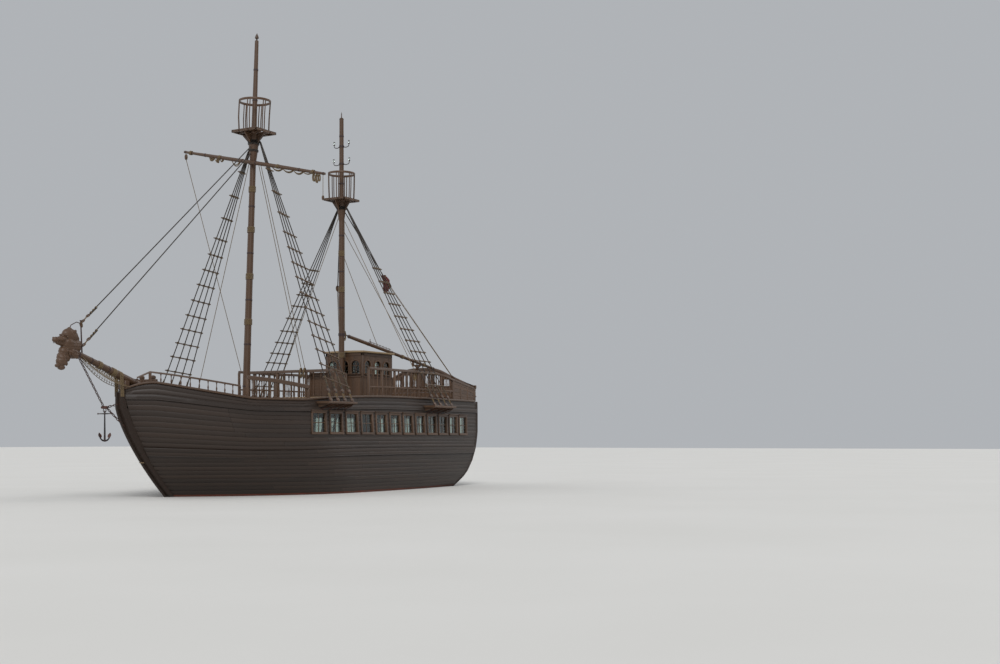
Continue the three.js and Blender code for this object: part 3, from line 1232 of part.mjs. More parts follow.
function rudder() {
  const x = at(RUDDER.axis);
  const half = RUDDER.thick / 2;
  const blade = block(at(RUDDER.front), at(RUDDER.end), -half, half, RUDDER.foot, RUDDER.top);
  const { stock: stockR, top, foot, head } = RUDDER;
  const stock = rod(vec(x, 0, top - 20), vec(x, 0, head - 2), stockR, stockR, 12);
  const pin = rod(vec(x, 0, KEEL.foot - 199), vec(x, 0, foot + 20), PINTLE.r, PINTLE.r, 12);
  return joined([blade, stock, pin]);
}
part('rudder', rudder(), BOTTOM);

function propeller() {
  const hubX = at(PROP.hub);
  const front = at(PROP.front + 2);
  const shaft = rod(vec(front, 0, PROP.z), vec(hubX, 0, PROP.z), PROP.shaft, PROP.shaft, 12);
  const hub = rod(vec(hubX + 110, 0, PROP.z), vec(hubX - 110, 0, PROP.z), 85, 60, 12);
  const blades = [];
  for (let i = 0; i < 3; i += 1) {
    const blade = new THREE.BoxGeometry(26, 200, PROP.r - 40);
    blade.translate(0, 0, 40 + (PROP.r - 40) / 2);
    blade.rotateZ(THREE.MathUtils.degToRad(35));
    blade.rotateX((2 * Math.PI * i) / 3);
    blade.translate(hubX, 0, PROP.z);
    blades.push(solid(blade));
  }
  return joined([shaft, hub, blades]);
}
part('propeller', propeller(), BRONZE);

export default ship;
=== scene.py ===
import json
import math

import bmesh
import bpy
import numpy as np
from bpy.props import FloatProperty, FloatVectorProperty, IntProperty, PointerProperty
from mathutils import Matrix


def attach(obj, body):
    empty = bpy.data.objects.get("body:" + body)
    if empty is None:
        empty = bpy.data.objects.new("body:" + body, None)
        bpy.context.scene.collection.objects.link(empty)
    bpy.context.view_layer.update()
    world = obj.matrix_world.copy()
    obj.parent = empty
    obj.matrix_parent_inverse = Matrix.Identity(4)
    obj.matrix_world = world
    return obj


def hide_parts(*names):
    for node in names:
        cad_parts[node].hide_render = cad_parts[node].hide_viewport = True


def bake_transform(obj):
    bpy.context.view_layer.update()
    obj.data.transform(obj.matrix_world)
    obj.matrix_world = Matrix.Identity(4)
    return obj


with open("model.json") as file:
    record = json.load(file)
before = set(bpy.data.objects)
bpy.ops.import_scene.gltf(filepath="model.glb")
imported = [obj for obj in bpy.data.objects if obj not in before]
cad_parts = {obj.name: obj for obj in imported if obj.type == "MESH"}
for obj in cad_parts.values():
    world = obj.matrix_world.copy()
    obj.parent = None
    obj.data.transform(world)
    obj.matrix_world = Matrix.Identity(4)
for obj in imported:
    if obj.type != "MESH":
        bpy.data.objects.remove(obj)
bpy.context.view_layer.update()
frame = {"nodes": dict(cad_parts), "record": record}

bl_info = {
    "name": "Pirate ship tour boat",
    "version": (1, 0, 0),
    "blender": (4, 5, 0),
    "location": "3D View > Sidebar > Ship",
    "description": "Dresses a packed two-masted excursion boat with planking, rails, spars and rigging",
    "category": "Object",
}

SIDES = (("port", 1), ("starboard", -1))
MIRROR = np.array([1, -1, 1])
UP = (0, 0, 1)
# Heights above the waterline amidships, in metres.
RAIL_TOP = 3.67
FORE_DECK = 3.40
QUARTER_DECK = 3.90
SALOON_FLOOR = 1.30
BOOT_TOP = 0.08
KEEL_TOP = -1.6
CAP_THICK = 0.07
# The step between the decks, as a distance aft of the stem head.
BREAK = 10.50


def linear(code):
    """The linear colour of an sRGB hex value."""
    parts = [int(code[i:i + 2], 16) / 255 for i in (1, 3, 5)]
    return tuple(c / 12.92 if c <= 0.04045 else ((c + 0.055) / 1.055) ** 2.4 for c in parts)


# Sizes and colours a user may change


class ShipSizes(bpy.types.PropertyGroup):
    """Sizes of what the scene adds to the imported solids."""

    strake: FloatProperty(
        name="Strake width", description="Width of one hull plank", default=0.165, min=0.1, max=0.3,
        unit="LENGTH")
    seam: FloatProperty(
        name="Seam", description="Half width of the groove between two planks", default=0.005, min=0.001,
        max=0.02, unit="LENGTH")
    deck_plank: FloatProperty(
        name="Deck plank width", description="Width of one deck plank", default=0.125, min=0.06, max=0.25,
        unit="LENGTH")
    shroud: FloatProperty(
        name="Shroud radius", description="Radius of a shroud", default=0.021, min=0.01, max=0.04,
        unit="LENGTH")
    line: FloatProperty(
        name="Line radius", description="Radius of the running rigging", default=0.013, min=0.006, max=0.03,
        unit="LENGTH")
    muntin: FloatProperty(
        name="Glazing bar width", description="Width of the bars between panes", default=0.028, min=0.015,
        max=0.06, unit="LENGTH")
    mast_sides: IntProperty(
        name="Mast sides", description="Number of faces round a mast", default=40, min=12, max=96)


class ShipColours(bpy.types.PropertyGroup):
    """Base colours of the ship's finishes."""

    tar: FloatVectorProperty(
        name="Pine tar", description="Tarred planking", subtype="COLOR", default=linear("#2A1D14"))
    oak: FloatVectorProperty(
        name="Oiled oak", description="Rails, houses and trim", subtype="COLOR", default=linear("#4B3421"))
    deck: FloatVectorProperty(
        name="Scrubbed pine", description="Deck planks", subtype="COLOR", default=linear("#8C7554"))
    spar: FloatVectorProperty(
        name="Oiled spruce", description="Masts and spars", subtype="COLOR", default=linear("#49321F"))
    hemp: FloatVectorProperty(
        name="Tarred hemp", description="Standing rigging", subtype="COLOR", default=linear("#2B2219"))
    manila: FloatVectorProperty(
        name="Manila", description="Running rigging and lashings", subtype="COLOR",
        default=linear("#6E5A3C"))
    antifouling: FloatVectorProperty(
        name="Antifouling", description="Paint below the waterline", subtype="COLOR",
        default=linear("#5C231A"))
    bunting: FloatVectorProperty(
        name="Bunting", description="The furled flag", subtype="COLOR", default=linear("#571A16"))


# Materials


def node(tree, kind, inputs=None, **settings):
    """Adds one node, sets it up and joins its inputs: a value is a socket or a constant."""
    made = tree.nodes.new(kind)
    for name, value in settings.items():
        setattr(made, name, value)
    for name, value in (inputs or {}).items():
        if isinstance(value, bpy.types.NodeSocket):
            tree.links.new(value, made.inputs[name])
        else:
            made.inputs[name].default_value = value
    return made


def rgba(colour, gain=1.0):
    return (*(min(1.0, c * gain) for c in colour[:3]), 1.0)


def new_material(name):
    made = bpy.data.materials.new(name)
    made.use_nodes = True
    made.node_tree.nodes.clear()
    return made, made.node_tree


def surface(tree, shader):
    node(tree, "ShaderNodeOutputMaterial", {"Surface": shader.outputs["BSDF"]})


def timber(name, colour, rough, fibre=0.018, run=0.45, wear=0.5, spread=0.35, axis=None, boards=0.0,
           relief=0.0025):
    """Wood with fibres, broad weathering and a tint for each board.

    Pieces of the scene bring their own grain directions. For a CAD node `axis` says which way
    its grain runs, and `boards` draws the joints between its boards, that far apart.
    """
    made, tree = new_material(name)
    if axis is None:
        place = node(tree, "ShaderNodeAttribute", attribute_name="grain").outputs["Vector"]
        board = node(tree, "ShaderNodeAttribute", attribute_name="tint").outputs["Fac"]
        order = "XYZ"
    else:
        place = node(tree, "ShaderNodeTexCoord").outputs["Object"]
        order = {"X": "XYZ", "Y": "YXZ", "Z": "ZXY"}[axis]
        board = None
    split = node(tree, "ShaderNodeSeparateXYZ", {0: place})
    turned = node(tree, "ShaderNodeCombineXYZ",
                  {i: split.outputs[letter] for i, letter in enumerate(order)})
    if board is None:
        turned_parts = node(tree, "ShaderNodeSeparateXYZ", {0: turned.outputs[0]})
        row = node(tree, "ShaderNodeMath", {0: turned_parts.outputs[1], 1: max(boards, 0.5)},
                   operation="DIVIDE")
        whole = node(tree, "ShaderNodeMath", {0: row.outputs[0]}, operation="FLOOR")
        board = node(tree, "ShaderNodeTexWhiteNoise", {"W": whole.outputs[0]},
                     noise_dimensions="1D").outputs["Value"]
    stretch = node(tree, "ShaderNodeMapping",
                   {"Vector": turned.outputs[0], "Scale": (1 / run, 1 / fibre, 1 / fibre)})
    fibres = node(tree, "ShaderNodeTexNoise", {
        "Vector": stretch.outputs[0], "Scale": 1.0, "Detail": 5.0, "Roughness": 0.62, "Distortion": 0.4})
    patches = node(tree, "ShaderNodeTexNoise", {"Vector": turned.outputs[0], "Scale": 1.7, "Detail": 4.0})
    grain = node(tree, "ShaderNodeMix", {
        "Factor": fibres.outputs["Fac"], 6: rgba(colour, 1 - spread), 7: rgba(colour, 1 + spread)},
                 data_type="RGBA")
    tint = node(tree, "ShaderNodeMapRange", {"Value": board, "To Min": 0.72, "To Max": 1.28})
    toned = node(tree, "ShaderNodeVectorMath", {0: grain.outputs[2], "Scale": tint.outputs[0]},
                 operation="SCALE")
    # Weather: silvered where water and light reach, as soft patches and along edges.
    shape = node(tree, "ShaderNodeNewGeometry")
    facing = node(tree, "ShaderNodeSeparateXYZ", {0: shape.outputs["Normal"]})
    upward = node(tree, "ShaderNodeMapRange", {
        "Value": facing.outputs[2], "From Min": 0.1, "From Max": 1.0, "To Min": 0.35, "To Max": 1.0})
    patch = node(tree, "ShaderNodeMapRange", {
        "Value": patches.outputs["Fac"], "From Min": 0.42, "From Max": 0.68})
    edges = node(tree, "ShaderNodeMapRange", {
        "Value": shape.outputs["Pointiness"], "From Min": 0.52, "From Max": 0.6, "To Max": 0.7})
    silver = node(tree, "ShaderNodeMath", {0: patch.outputs[0], 1: upward.outputs[0]}, operation="MULTIPLY")
    silver = node(tree, "ShaderNodeMath", {0: silver.outputs[0], 1: edges.outputs[0]}, operation="MAXIMUM")
    silver = node(tree, "ShaderNodeMath", {0: silver.outputs[0], 1: wear * 0.6}, operation="MULTIPLY")
    mean = sum(colour[:3]) / 3
    grey = tuple(0.55 * c + 0.45 * mean for c in colour[:3])
    base = node(tree, "ShaderNodeMix", {
        "Factor": silver.outputs[0], 6: toned.outputs[0], 7: rgba(grey, 2.1)}, data_type="RGBA")
    height, colour_out = fibres.outputs["Fac"], base.outputs[2]
    if boards:
        share = node(tree, "ShaderNodeMath", {0: row.outputs[0]}, operation="FRACT")
        centre = node(tree, "ShaderNodeMath", {0: share.outputs[0], 1: 0.5}, operation="SUBTRACT")
        side = node(tree, "ShaderNodeMath", {0: centre.outputs[0]}, operation="ABSOLUTE")
        joint = node(tree, "ShaderNodeMapRange", {
            "Value": side.outputs[0], "From Min": 0.5 - 0.006 / boards, "From Max": 0.5 - 0.002 / boards,
            "To Min": 1.0, "To Max": 0.0})
        shade = node(tree, "ShaderNodeVectorMath", {0: colour_out, "Scale": joint.outputs[0]},
                     operation="SCALE")
        colour_out = node(tree, "ShaderNodeMix", {
            "Factor": 0.75, 6: colour_out, 7: shade.outputs[0]}, data_type="RGBA").outputs[2]
        raised = node(tree, "ShaderNodeMath", {0: joint.outputs[0], 1: 1.6}, operation="MULTIPLY")
        height = node(tree, "ShaderNodeMath", {0: raised.outputs[0], 1: height}, operation="ADD").outputs[0]
    bump = node(tree, "ShaderNodeBump", {"Height": height, "Strength": 0.6, "Distance": relief})
    dull = node(tree, "ShaderNodeMapRange", {
        "Value": fibres.outputs["Fac"], "To Min": rough - 0.12, "To Max": rough + 0.14})
    shader = node(tree, "ShaderNodeBsdfPrincipled", {
        "Base Color": colour_out, "Roughness": dull.outputs[0], "Normal": bump.outputs[0], "IOR": 1.5})
    surface(tree, shader)
    return made


def laid_rope(name, colour, strands=3, lay=0.11):
    """Rope of three strands: a helix of shadow lines round the line, and hairs between them.

    A real lay is about three diameters long. It is drawn at 110 mm, so that it shows.
    """
    made, tree = new_material(name)
    place = node(tree, "ShaderNodeAttribute", attribute_name="grain")
    split = node(tree, "ShaderNodeSeparateXYZ", {0: place.outputs["Vector"]})
    angle = node(tree, "ShaderNodeMath", {0: split.outputs[2], 1: split.outputs[1]}, operation="ARCTAN2")
    turn = node(tree, "ShaderNodeMath", {0: angle.outputs[0], 1: strands / (2 * math.pi)},
                operation="MULTIPLY")
    run = node(tree, "ShaderNodeMath", {0: split.outputs[0], 1: strands / lay}, operation="MULTIPLY")
    phase = node(tree, "ShaderNodeMath", {0: turn.outputs[0], 1: run.outputs[0]}, operation="ADD")
    strand = node(tree, "ShaderNodeMath", {0: phase.outputs[0], 1: 0.5}, operation="PINGPONG")
    hairs = node(tree, "ShaderNodeTexNoise",
                 {"Vector": place.outputs["Vector"], "Scale": 90.0, "Detail": 3.0})
    shade = node(tree, "ShaderNodeMapRange",
                 {"Value": strand.outputs[0], "From Max": 0.5, "To Min": 0.45, "To Max": 1.2})
    fuzz = node(tree, "ShaderNodeMapRange", {"Value": hairs.outputs["Fac"], "To Min": 0.7, "To Max": 1.3})
    gain = node(tree, "ShaderNodeMath", {0: shade.outputs[0], 1: fuzz.outputs[0]}, operation="MULTIPLY")
    base = node(tree, "ShaderNodeVectorMath", {0: colour[:3], "Scale": gain.outputs[0]}, operation="SCALE")
    bump = node(tree, "ShaderNodeBump", {"Height": strand.outputs[0], "Strength": 0.8, "Distance": 0.006})
    shader = node(tree, "ShaderNodeBsdfPrincipled", {
        "Base Color": base.outputs[0], "Roughness": 0.88, "Normal": bump.outputs[0], "Sheen Weight": 0.25,
        "Sheen Roughness": 0.5})
    surface(tree, shader)
    return made


def antifouling_paint(name, colour):
    """Rolled oxide antifouling: flat and chalky, stippled, with a green-brown scum at the waterline."""
    made, tree = new_material(name)
    where = node(tree, "ShaderNodeTexCoord").outputs["Object"]
    split = node(tree, "ShaderNodeSeparateXYZ", {0: where})
    board = node(tree, "ShaderNodeAttribute", attribute_name="tint")
    chalk = node(tree, "ShaderNodeTexNoise", {"Vector": where, "Scale": 2.2, "Detail": 6.0})
    stipple = node(tree, "ShaderNodeTexNoise", {"Vector": where, "Scale": 55.0, "Detail": 2.0})
    pale = node(tree, "ShaderNodeMix", {
        "Factor": chalk.outputs["Fac"], 6: rgba(colour, 0.7), 7: rgba(colour, 1.6)}, data_type="RGBA")
    tone = node(tree, "ShaderNodeMapRange", {"Value": board.outputs["Fac"], "To Min": 0.88, "To Max": 1.12})
    toned = node(tree, "ShaderNodeVectorMath", {0: pale.outputs[2], "Scale": tone.outputs[0]},
                 operation="SCALE")
    ragged = node(tree, "ShaderNodeMath", {0: chalk.outputs["Fac"], 1: 0.35}, operation="MULTIPLY")
    level = node(tree, "ShaderNodeMath", {0: split.outputs[2], 1: ragged.outputs[0]}, operation="ADD")
    scum = node(tree, "ShaderNodeMapRange", {
        "Value": level.outputs[0], "From Min": -0.1, "From Max": 0.42, "To Min": 0.75, "To Max": 0.0})
    base = node(tree, "ShaderNodeMix", {
        "Factor": scum.outputs[0], 6: toned.outputs[0], 7: rgba(linear("#3A3A22"))}, data_type="RGBA")
    bump = node(tree, "ShaderNodeBump",
                {"Height": stipple.outputs["Fac"], "Strength": 0.4, "Distance": 0.003})
    shader = node(tree, "ShaderNodeBsdfPrincipled", {
        "Base Color": base.outputs[2], "Roughness": 0.72, "Normal": bump.outputs[0]})
    surface(tree, shader)
    return made


def forged_iron(name, code="#17171A", rust=0.35):
    """Wrought iron, forged and painted black: hammer marks under a satin coat, rust where it chips."""
    made, tree = new_material(name)
    where = node(tree, "ShaderNodeTexCoord").outputs["Object"]
    marks = node(tree, "ShaderNodeTexVoronoi", {"Vector": where, "Scale": 26.0}, feature="SMOOTH_F1")
    chips = node(tree, "ShaderNodeTexNoise",
                 {"Vector": where, "Scale": 7.0, "Detail": 6.0, "Roughness": 0.7})
    shape = node(tree, "ShaderNodeNewGeometry")
    worn = node(tree, "ShaderNodeMapRange", {
        "Value": shape.outputs["Pointiness"], "From Min": 0.54, "From Max": 0.62, "To Max": 0.6})
    bare = node(tree, "ShaderNodeMapRange", {
        "Value": chips.outputs["Fac"], "From Min": 0.62 - rust * 0.12, "From Max": 0.7, "To Max": rust})
    rusted = node(tree, "ShaderNodeMath", {0: worn.outputs[0], 1: bare.outputs[0]}, operation="MAXIMUM")
    base = node(tree, "ShaderNodeMix", {
        "Factor": rusted.outputs[0], 6: rgba(linear(code)), 7: rgba(linear("#5A2C16"))}, data_type="RGBA")
    dull = node(tree, "ShaderNodeMapRange", {"Value": rusted.outputs[0], "To Min": 0.42, "To Max": 0.85})
    bump = node(tree, "ShaderNodeBump",
                {"Height": marks.outputs["Distance"], "Strength": 0.35, "Distance": 0.004})
    shader = node(tree, "ShaderNodeBsdfPrincipled", {
        "Base Color": base.outputs[2], "Roughness": dull.outputs[0], "Normal": bump.outputs[0]})
    surface(tree, shader)
    return made


def cast_bronze(name, code="#9A6A32"):
    """Cast and ground bronze: warm metal, brown and green where the sea has left its film."""
    made, tree = new_material(name)
    where = node(tree, "ShaderNodeTexCoord").outputs["Object"]
    film = node(tree, "ShaderNodeTexNoise", {"Vector": where, "Scale": 6.0, "Detail": 6.0})
    cover = node(tree, "ShaderNodeMapRange", {
        "Value": film.outputs["Fac"], "From Min": 0.45, "From Max": 0.65, "To Max": 0.7})
    base = node(tree, "ShaderNodeMix", {
        "Factor": cover.outputs[0], 6: rgba(linear(code)), 7: rgba(linear("#4B4A33"))}, data_type="RGBA")
    dull = node(tree, "ShaderNodeMapRange", {"Value": cover.outputs[0], "To Min": 0.28, "To Max": 0.62})
    bump = node(tree, "ShaderNodeBump",
                {"Height": film.outputs["Fac"], "Strength": 0.25, "Distance": 0.003})
    shader = node(tree, "ShaderNodeBsdfPrincipled", {
        "Base Color": base.outputs[2], "Roughness": dull.outputs[0], "Metallic": 1.0,
        "Normal": bump.outputs[0]})
    surface(tree, shader)
    return made


def woven_cloth(name, colour, thread=0.007):
    """Plain-woven cloth: matt, with a soft sheen at grazing angles and stains, paler and darker at random.

    Real threads are 0.5 mm apart. They are drawn 7 mm apart, so that the weave shows.
    """
    made, tree = new_material(name)
    place = node(tree, "ShaderNodeAttribute", attribute_name="grain").outputs["Vector"]
    split = node(tree, "ShaderNodeSeparateXYZ", {0: place})
    waves = []
    for letter in ("X", "Y"):
        step = node(tree, "ShaderNodeMath", {0: split.outputs[letter], 1: 2 * math.pi / thread},
                    operation="MULTIPLY")
        waves.append(node(tree, "ShaderNodeMath", {0: step.outputs[0]}, operation="SINE").outputs[0])
    weave = node(tree, "ShaderNodeMath", {0: waves[0], 1: waves[1]}, operation="MULTIPLY")
    stain = node(tree, "ShaderNodeTexNoise", {"Vector": place, "Scale": 5.0, "Detail": 5.0})
    base = node(tree, "ShaderNodeMix", {
        "Factor": stain.outputs["Fac"], 6: rgba(colour, 0.6), 7: rgba(colour, 1.5)}, data_type="RGBA")
    bump = node(tree, "ShaderNodeBump", {"Height": weave.outputs[0], "Strength": 0.35, "Distance": 0.002})
    shader = node(tree, "ShaderNodeBsdfPrincipled", {
        "Base Color": base.outputs[2], "Roughness": 0.9, "Sheen Weight": 0.4, "Sheen Roughness": 0.4,
        "Normal": bump.outputs[0]})
    surface(tree, shader)
    return made


def window_glass(name):
    """Drawn window glass: clear with a faint green body, and slow waves that bend reflections."""
    made, tree = new_material(name)
    where = node(tree, "ShaderNodeTexCoord").outputs["Object"]
    waves = node(tree, "ShaderNodeTexNoise", {"Vector": where, "Scale": 3.0, "Detail": 1.0})
    bump = node(tree, "ShaderNodeBump",
                {"Height": waves.outputs["Fac"], "Strength": 0.15, "Distance": 0.01})
    shader = node(tree, "ShaderNodeBsdfPrincipled", {
        "Base Color": rgba(linear("#D9E4DC")), "Roughness": 0.04, "IOR": 1.5, "Transmission Weight": 1.0,
        "Normal": bump.outputs[0]})
    surface(tree, shader)
    return made


def pale_floor(name):
    """Smooth pale studio floor: matt paint with faint unevenness."""
    made, tree = new_material(name)
    where = node(tree, "ShaderNodeTexCoord").outputs["Object"]
    cloud = node(tree, "ShaderNodeTexNoise", {"Vector": where, "Scale": 0.15, "Detail": 3.0})
    base = node(tree, "ShaderNodeMix", {
        "Factor": cloud.outputs["Fac"], 6: rgba(linear("#CFCDC8")), 7: rgba(linear("#D8D6D2"))},
                data_type="RGBA")
    shader = node(tree, "ShaderNodeBsdfPrincipled", {"Base Color": base.outputs[2], "Roughness": 0.75})
    surface(tree, shader)
    return made


def colours():
    return bpy.context.scene.ship_colours


def sizes():
    return bpy.context.scene.ship_sizes


# Each finish: what it is, and how it is made when a piece first asks for it.
FINISHES = {
    # Pine planks, sawn and brushed with pine tar: nearly black, satin, brown where it has thinned.
    "tarred_pine": lambda n: timber(n, colours().tar, 0.52, wear=0.55),
    # The same planks seen from inside, on the CAD sides: the joints between strakes are drawn.
    "tarred_pine_inside": lambda n: timber(n, colours().tar, 0.6, axis="X", boards=0.16, wear=0.3),
    # Oak, planed and oiled: open grain, mid brown, silvered on top and along the edges.
    "oiled_oak": lambda n: timber(n, colours().oak, 0.5, fibre=0.014, wear=0.6),
    "oiled_oak_along": lambda n: timber(n, colours().oak, 0.55, axis="X", boards=0.14, wear=0.4),
    "oiled_oak_across": lambda n: timber(n, colours().oak, 0.55, axis="Y", boards=0.14, wear=0.4),
    "oiled_oak_upright": lambda n: timber(n, colours().oak, 0.55, axis="Z", boards=0.14, wear=0.4),
    # Pine deck, scrubbed with sand: pale, dry and rough, each plank a little different.
    "scrubbed_pine": lambda n: timber(n, colours().deck, 0.72, fibre=0.012, wear=0.45, spread=0.22),
    # Marine pitch between and under the deck planks: black, slightly shiny.
    "deck_pitch": lambda n: timber(n, linear("#15110E"), 0.45, axis="X", wear=0.1),
    # Spruce spars, turned and oiled: close straight grain, honey brown gone dark.
    "oiled_spruce": lambda n: timber(n, colours().spar, 0.46, fibre=0.011, run=0.9, wear=0.45),
    # Standing rigging: laid hemp soaked in tar.
    "tarred_hemp": lambda n: laid_rope(n, colours().hemp),
    # Running rigging and lashings: laid manila, weathered.
    "laid_manila": lambda n: laid_rope(n, colours().manila, lay=0.08),
    "antifouling_paint": lambda n: antifouling_paint(n, colours().antifouling),
    "forged_iron": lambda n: forged_iron(n),
    "cast_bronze": lambda n: cast_bronze(n),
    "wool_bunting": lambda n: woven_cloth(n, colours().bunting),
    "flax_canvas": lambda n: woven_cloth(n, linear("#7C6C50"), 0.009),
    "window_glass": lambda n: window_glass(n),
    "pale_floor": lambda n: pale_floor(n),
}


def finish(name):
    found = bpy.data.materials.get(name)
    return found or FINISHES[name](name)


# Mesh making


def unit(v):
    v = np.asarray(v, float)
    return v / np.maximum(np.linalg.norm(v, axis=-1, keepdims=True), 1e-12)


def lengths_along(points):
    """The length run at each point of a path."""
    return np.concatenate([[0], np.cumsum(np.linalg.norm(np.diff(points, axis=0), axis=1))])


def circle(count):
    """Cosines and sines of evenly spaced angles."""
    turn = 2 * np.pi * np.arange(count) / count
    return np.cos(turn), np.sin(turn)


def oval(centre, u, v, count):
    """The points of a closed ring round a centre, from its two half axes."""
    c, s = circle(count)
    return np.asarray(centre, float) + np.outer(c, u) + np.outer(s, v)


def rounded(wide, high, r, steps=3):
    """A rectangle with rounded corners, as points across and up."""
    r = min(r, 0.499 * wide, 0.499 * high)
    points = []
    for sx, sy, start in ((1, 1, 0), (-1, 1, 90), (-1, -1, 180), (1, -1, 270)):
        for k in range(steps + 1):
            a = math.radians(start + 90 * k / steps)
            points.append((sx * (wide / 2 - r) + r * math.cos(a), sy * (high / 2 - r) + r * math.sin(a)))
    return points


def line_through(points, step):
    """Points no further apart than `step` along straight runs."""
    points = np.asarray(points, float)
    out = [points[0]]
    for a, b in zip(points[:-1], points[1:]):
        n = max(1, int(np.ceil(np.linalg.norm(b - a) / step)))
        out += [a + (b - a) * k / n for k in range(1, n + 1)]
    return np.array(out)


def smooth_line(points, n=8):
    """A curve through the points, with n steps between each two."""
    p = np.asarray(points, float)
    if len(p) < 3:
        return line_through(p, np.linalg.norm(p[1] - p[0]) / n)
    p = np.vstack([2 * p[0] - p[1], p, 2 * p[-1] - p[-2]])
    out = []
    for a, b, c, d in zip(p[:-3], p[1:-2], p[2:-1], p[3:]):
        for t in np.arange(n) / n:
            out.append(0.5 * (2 * b + (c - a) * t + (2 * a - 5 * b + 4 * c - d) * t * t
                              + (3 * b - a - 3 * c + d) * t ** 3))
    out.append(p[-2])
    return np.array(out)


class Piece:
    """Gathers closed bodies of one piece, each with its own grain and tint."""

    def __init__(self, name):
        self.name, self.bodies, self.points = name, 0, 0
        self.co, self.grain, self.tint, self.faces, self.slots = [], [], [], [], []

    def put(self, points, faces, local, slot=0, tint=None):
        points = np.asarray(points, float).reshape(-1, 3)
        i = self.bodies
        shift = np.array([(i * 7.31) % 61, (i * 3.17) % 53, (i * 5.93) % 47]) if tint is None else 0
        self.co.append(points)
        self.grain.append(np.asarray(local, float).reshape(-1, 3) + shift)
        self.tint.append(np.full(len(points), (i * 0.618034 + 0.2) % 1 if tint is None else tint))
        self.faces += [[k + self.points for k in face] for face in faces]
        self.slots += [slot] * len(faces)
        self.points += len(points)
        self.bodies += 1

    def loft(self, rings, local=None, slot=0, caps=True, loop=False, tint=None):
        """A skin through rings of the same number of points."""
        rings = np.asarray(rings, float)
        n, m = rings.shape[:2]
        if local is None:
            run = lengths_along(rings.mean(1))
            first = rings[0] - rings[0].mean(0)
            flat = np.linalg.norm(first, axis=1)
            turn = np.linspace(0, 2 * np.pi, m, endpoint=False)
            local = np.zeros((n, m, 3))
            local[:, :, 0] = run[:, None]
            local[:, :, 1] = flat * np.cos(turn)
            local[:, :, 2] = flat * np.sin(turn)
        faces = []
        for k in range(n if loop else n - 1):
            a, b = k * m, ((k + 1) % n) * m
            faces += [[a + j, a + (j + 1) % m, b + (j + 1) % m, b + j] for j in range(m)]
        if caps and not loop:
            faces += [list(range(m))[::-1], [(n - 1) * m + j for j in range(m)]]
        self.put(rings, faces, local, slot, tint)

    def tube(self, points, radii, sides=8, slot=0, loop=False, tint=None):
        p = np.asarray(points, float)
        n = len(p)
        r = np.broadcast_to(np.asarray(radii, float), (n,))
        t = unit(np.roll(p, -1, 0) - np.roll(p, 1, 0)) if loop else unit(np.gradient(p, axis=0))
        u = unit(np.cross(t[0], UP if abs(t[0][2]) < 0.9 else (1, 0, 0)))
        us = []
        for k in range(n):
            u = unit(u - t[k] * np.dot(u, t[k]))
            us.append(u)
        us = np.array(us)
        vs = np.cross(t, us)
        c, s = circle(sides)
        ring = c[None, :, None] * us[:, None] + s[None, :, None] * vs[:, None]
        rings = p[:, None] + r[:, None, None] * ring
        run = lengths_along(p)
        local = np.stack([np.broadcast_to(run[:, None], (n, sides)), r[:, None] * c, r[:, None] * s], -1)
        self.loft(rings, local, slot, loop=loop, tint=0.5 if tint is None else tint)

    def turned(self, profile, base=(0, 0, 0), axis=UP, sides=16, slot=0, lean=0.0):
        """A turned body: rows of radius and height above the base, along the axis."""
        w = unit(axis)
        u = unit(np.cross(w, (1, 0, 0) if abs(w[0]) < 0.9 else (0, 1, 0)))
        v = np.cross(w, u)
        r = np.maximum(np.array([row[0] for row in profile], float), 4e-4)
        h = np.array([row[1] for row in profile], float)
        c, s = circle(sides)
        rings = (np.asarray(base, float) + h[:, None, None] * w
                 + r[:, None, None] * (c[None, :, None] * u + s[None, :, None] * v))
        rings[:, :, 0] -= lean * h[:, None]
        local = np.stack([np.broadcast_to(h[:, None], (len(r), sides)), r[:, None] * c, r[:, None] * s], -1)
        self.loft(rings, local, slot)

    def block(self, middle, axes, size, bevel=0.006, slot=0, tint=None):
        """A box with chamfered edges. `axes` are three unit vectors, `size` its full sizes."""
        half = np.asarray(size, float) / 2
        c = min(bevel, 0.45 * float(half.min()) * 2)
        signs = np.array([(x, y, z) for x in (-1, 1) for y in (-1, 1) for z in (-1, 1)], float)
        corner = {tuple(s): i for i, s in enumerate(signs.astype(int))}
        points = []
        for s in signs:
            for a in range(3):
                inset = np.full(3, c)
                inset[a] = 0
                points.append(s * (half - inset))
        points = np.array(points)
        faces = []
        for a in range(3):
            b, d = (a + 1) % 3, (a + 2) % 3
            for sa in (-1, 1):
                face = []
                for sb, sd in ((-1, -1), (1, -1), (1, 1), (-1, 1)):
                    key = [0, 0, 0]
                    key[a], key[b], key[d] = sa, sb, sd
                    face.append(corner[tuple(key)] * 3 + a)
                faces.append(face)
                for sb in (-1, 1):
                    ends = []
                    for sd in (-1, 1):
                        key = [0, 0, 0]
                        key[a], key[b], key[d] = sa, sb, sd
                        ends.append(corner[tuple(key)] * 3)
                    faces.append([ends[0] + a, ends[1] + a, ends[1] + b, ends[0] + b])
        faces += [[3 * i, 3 * i + 1, 3 * i + 2] for i in range(8)]
        order = np.argsort(-half, kind="stable")
        self.put(np.asarray(middle, float) + points @ np.asarray(axes, float), faces, points[:, order],
                 slot, tint)

    def box(self, lo, hi, bevel=0.006, slot=0, tint=None):
        lo, hi = np.minimum(lo, hi), np.maximum(lo, hi)
        self.block((lo + hi) / 2, np.eye(3), hi - lo, bevel, slot, tint)

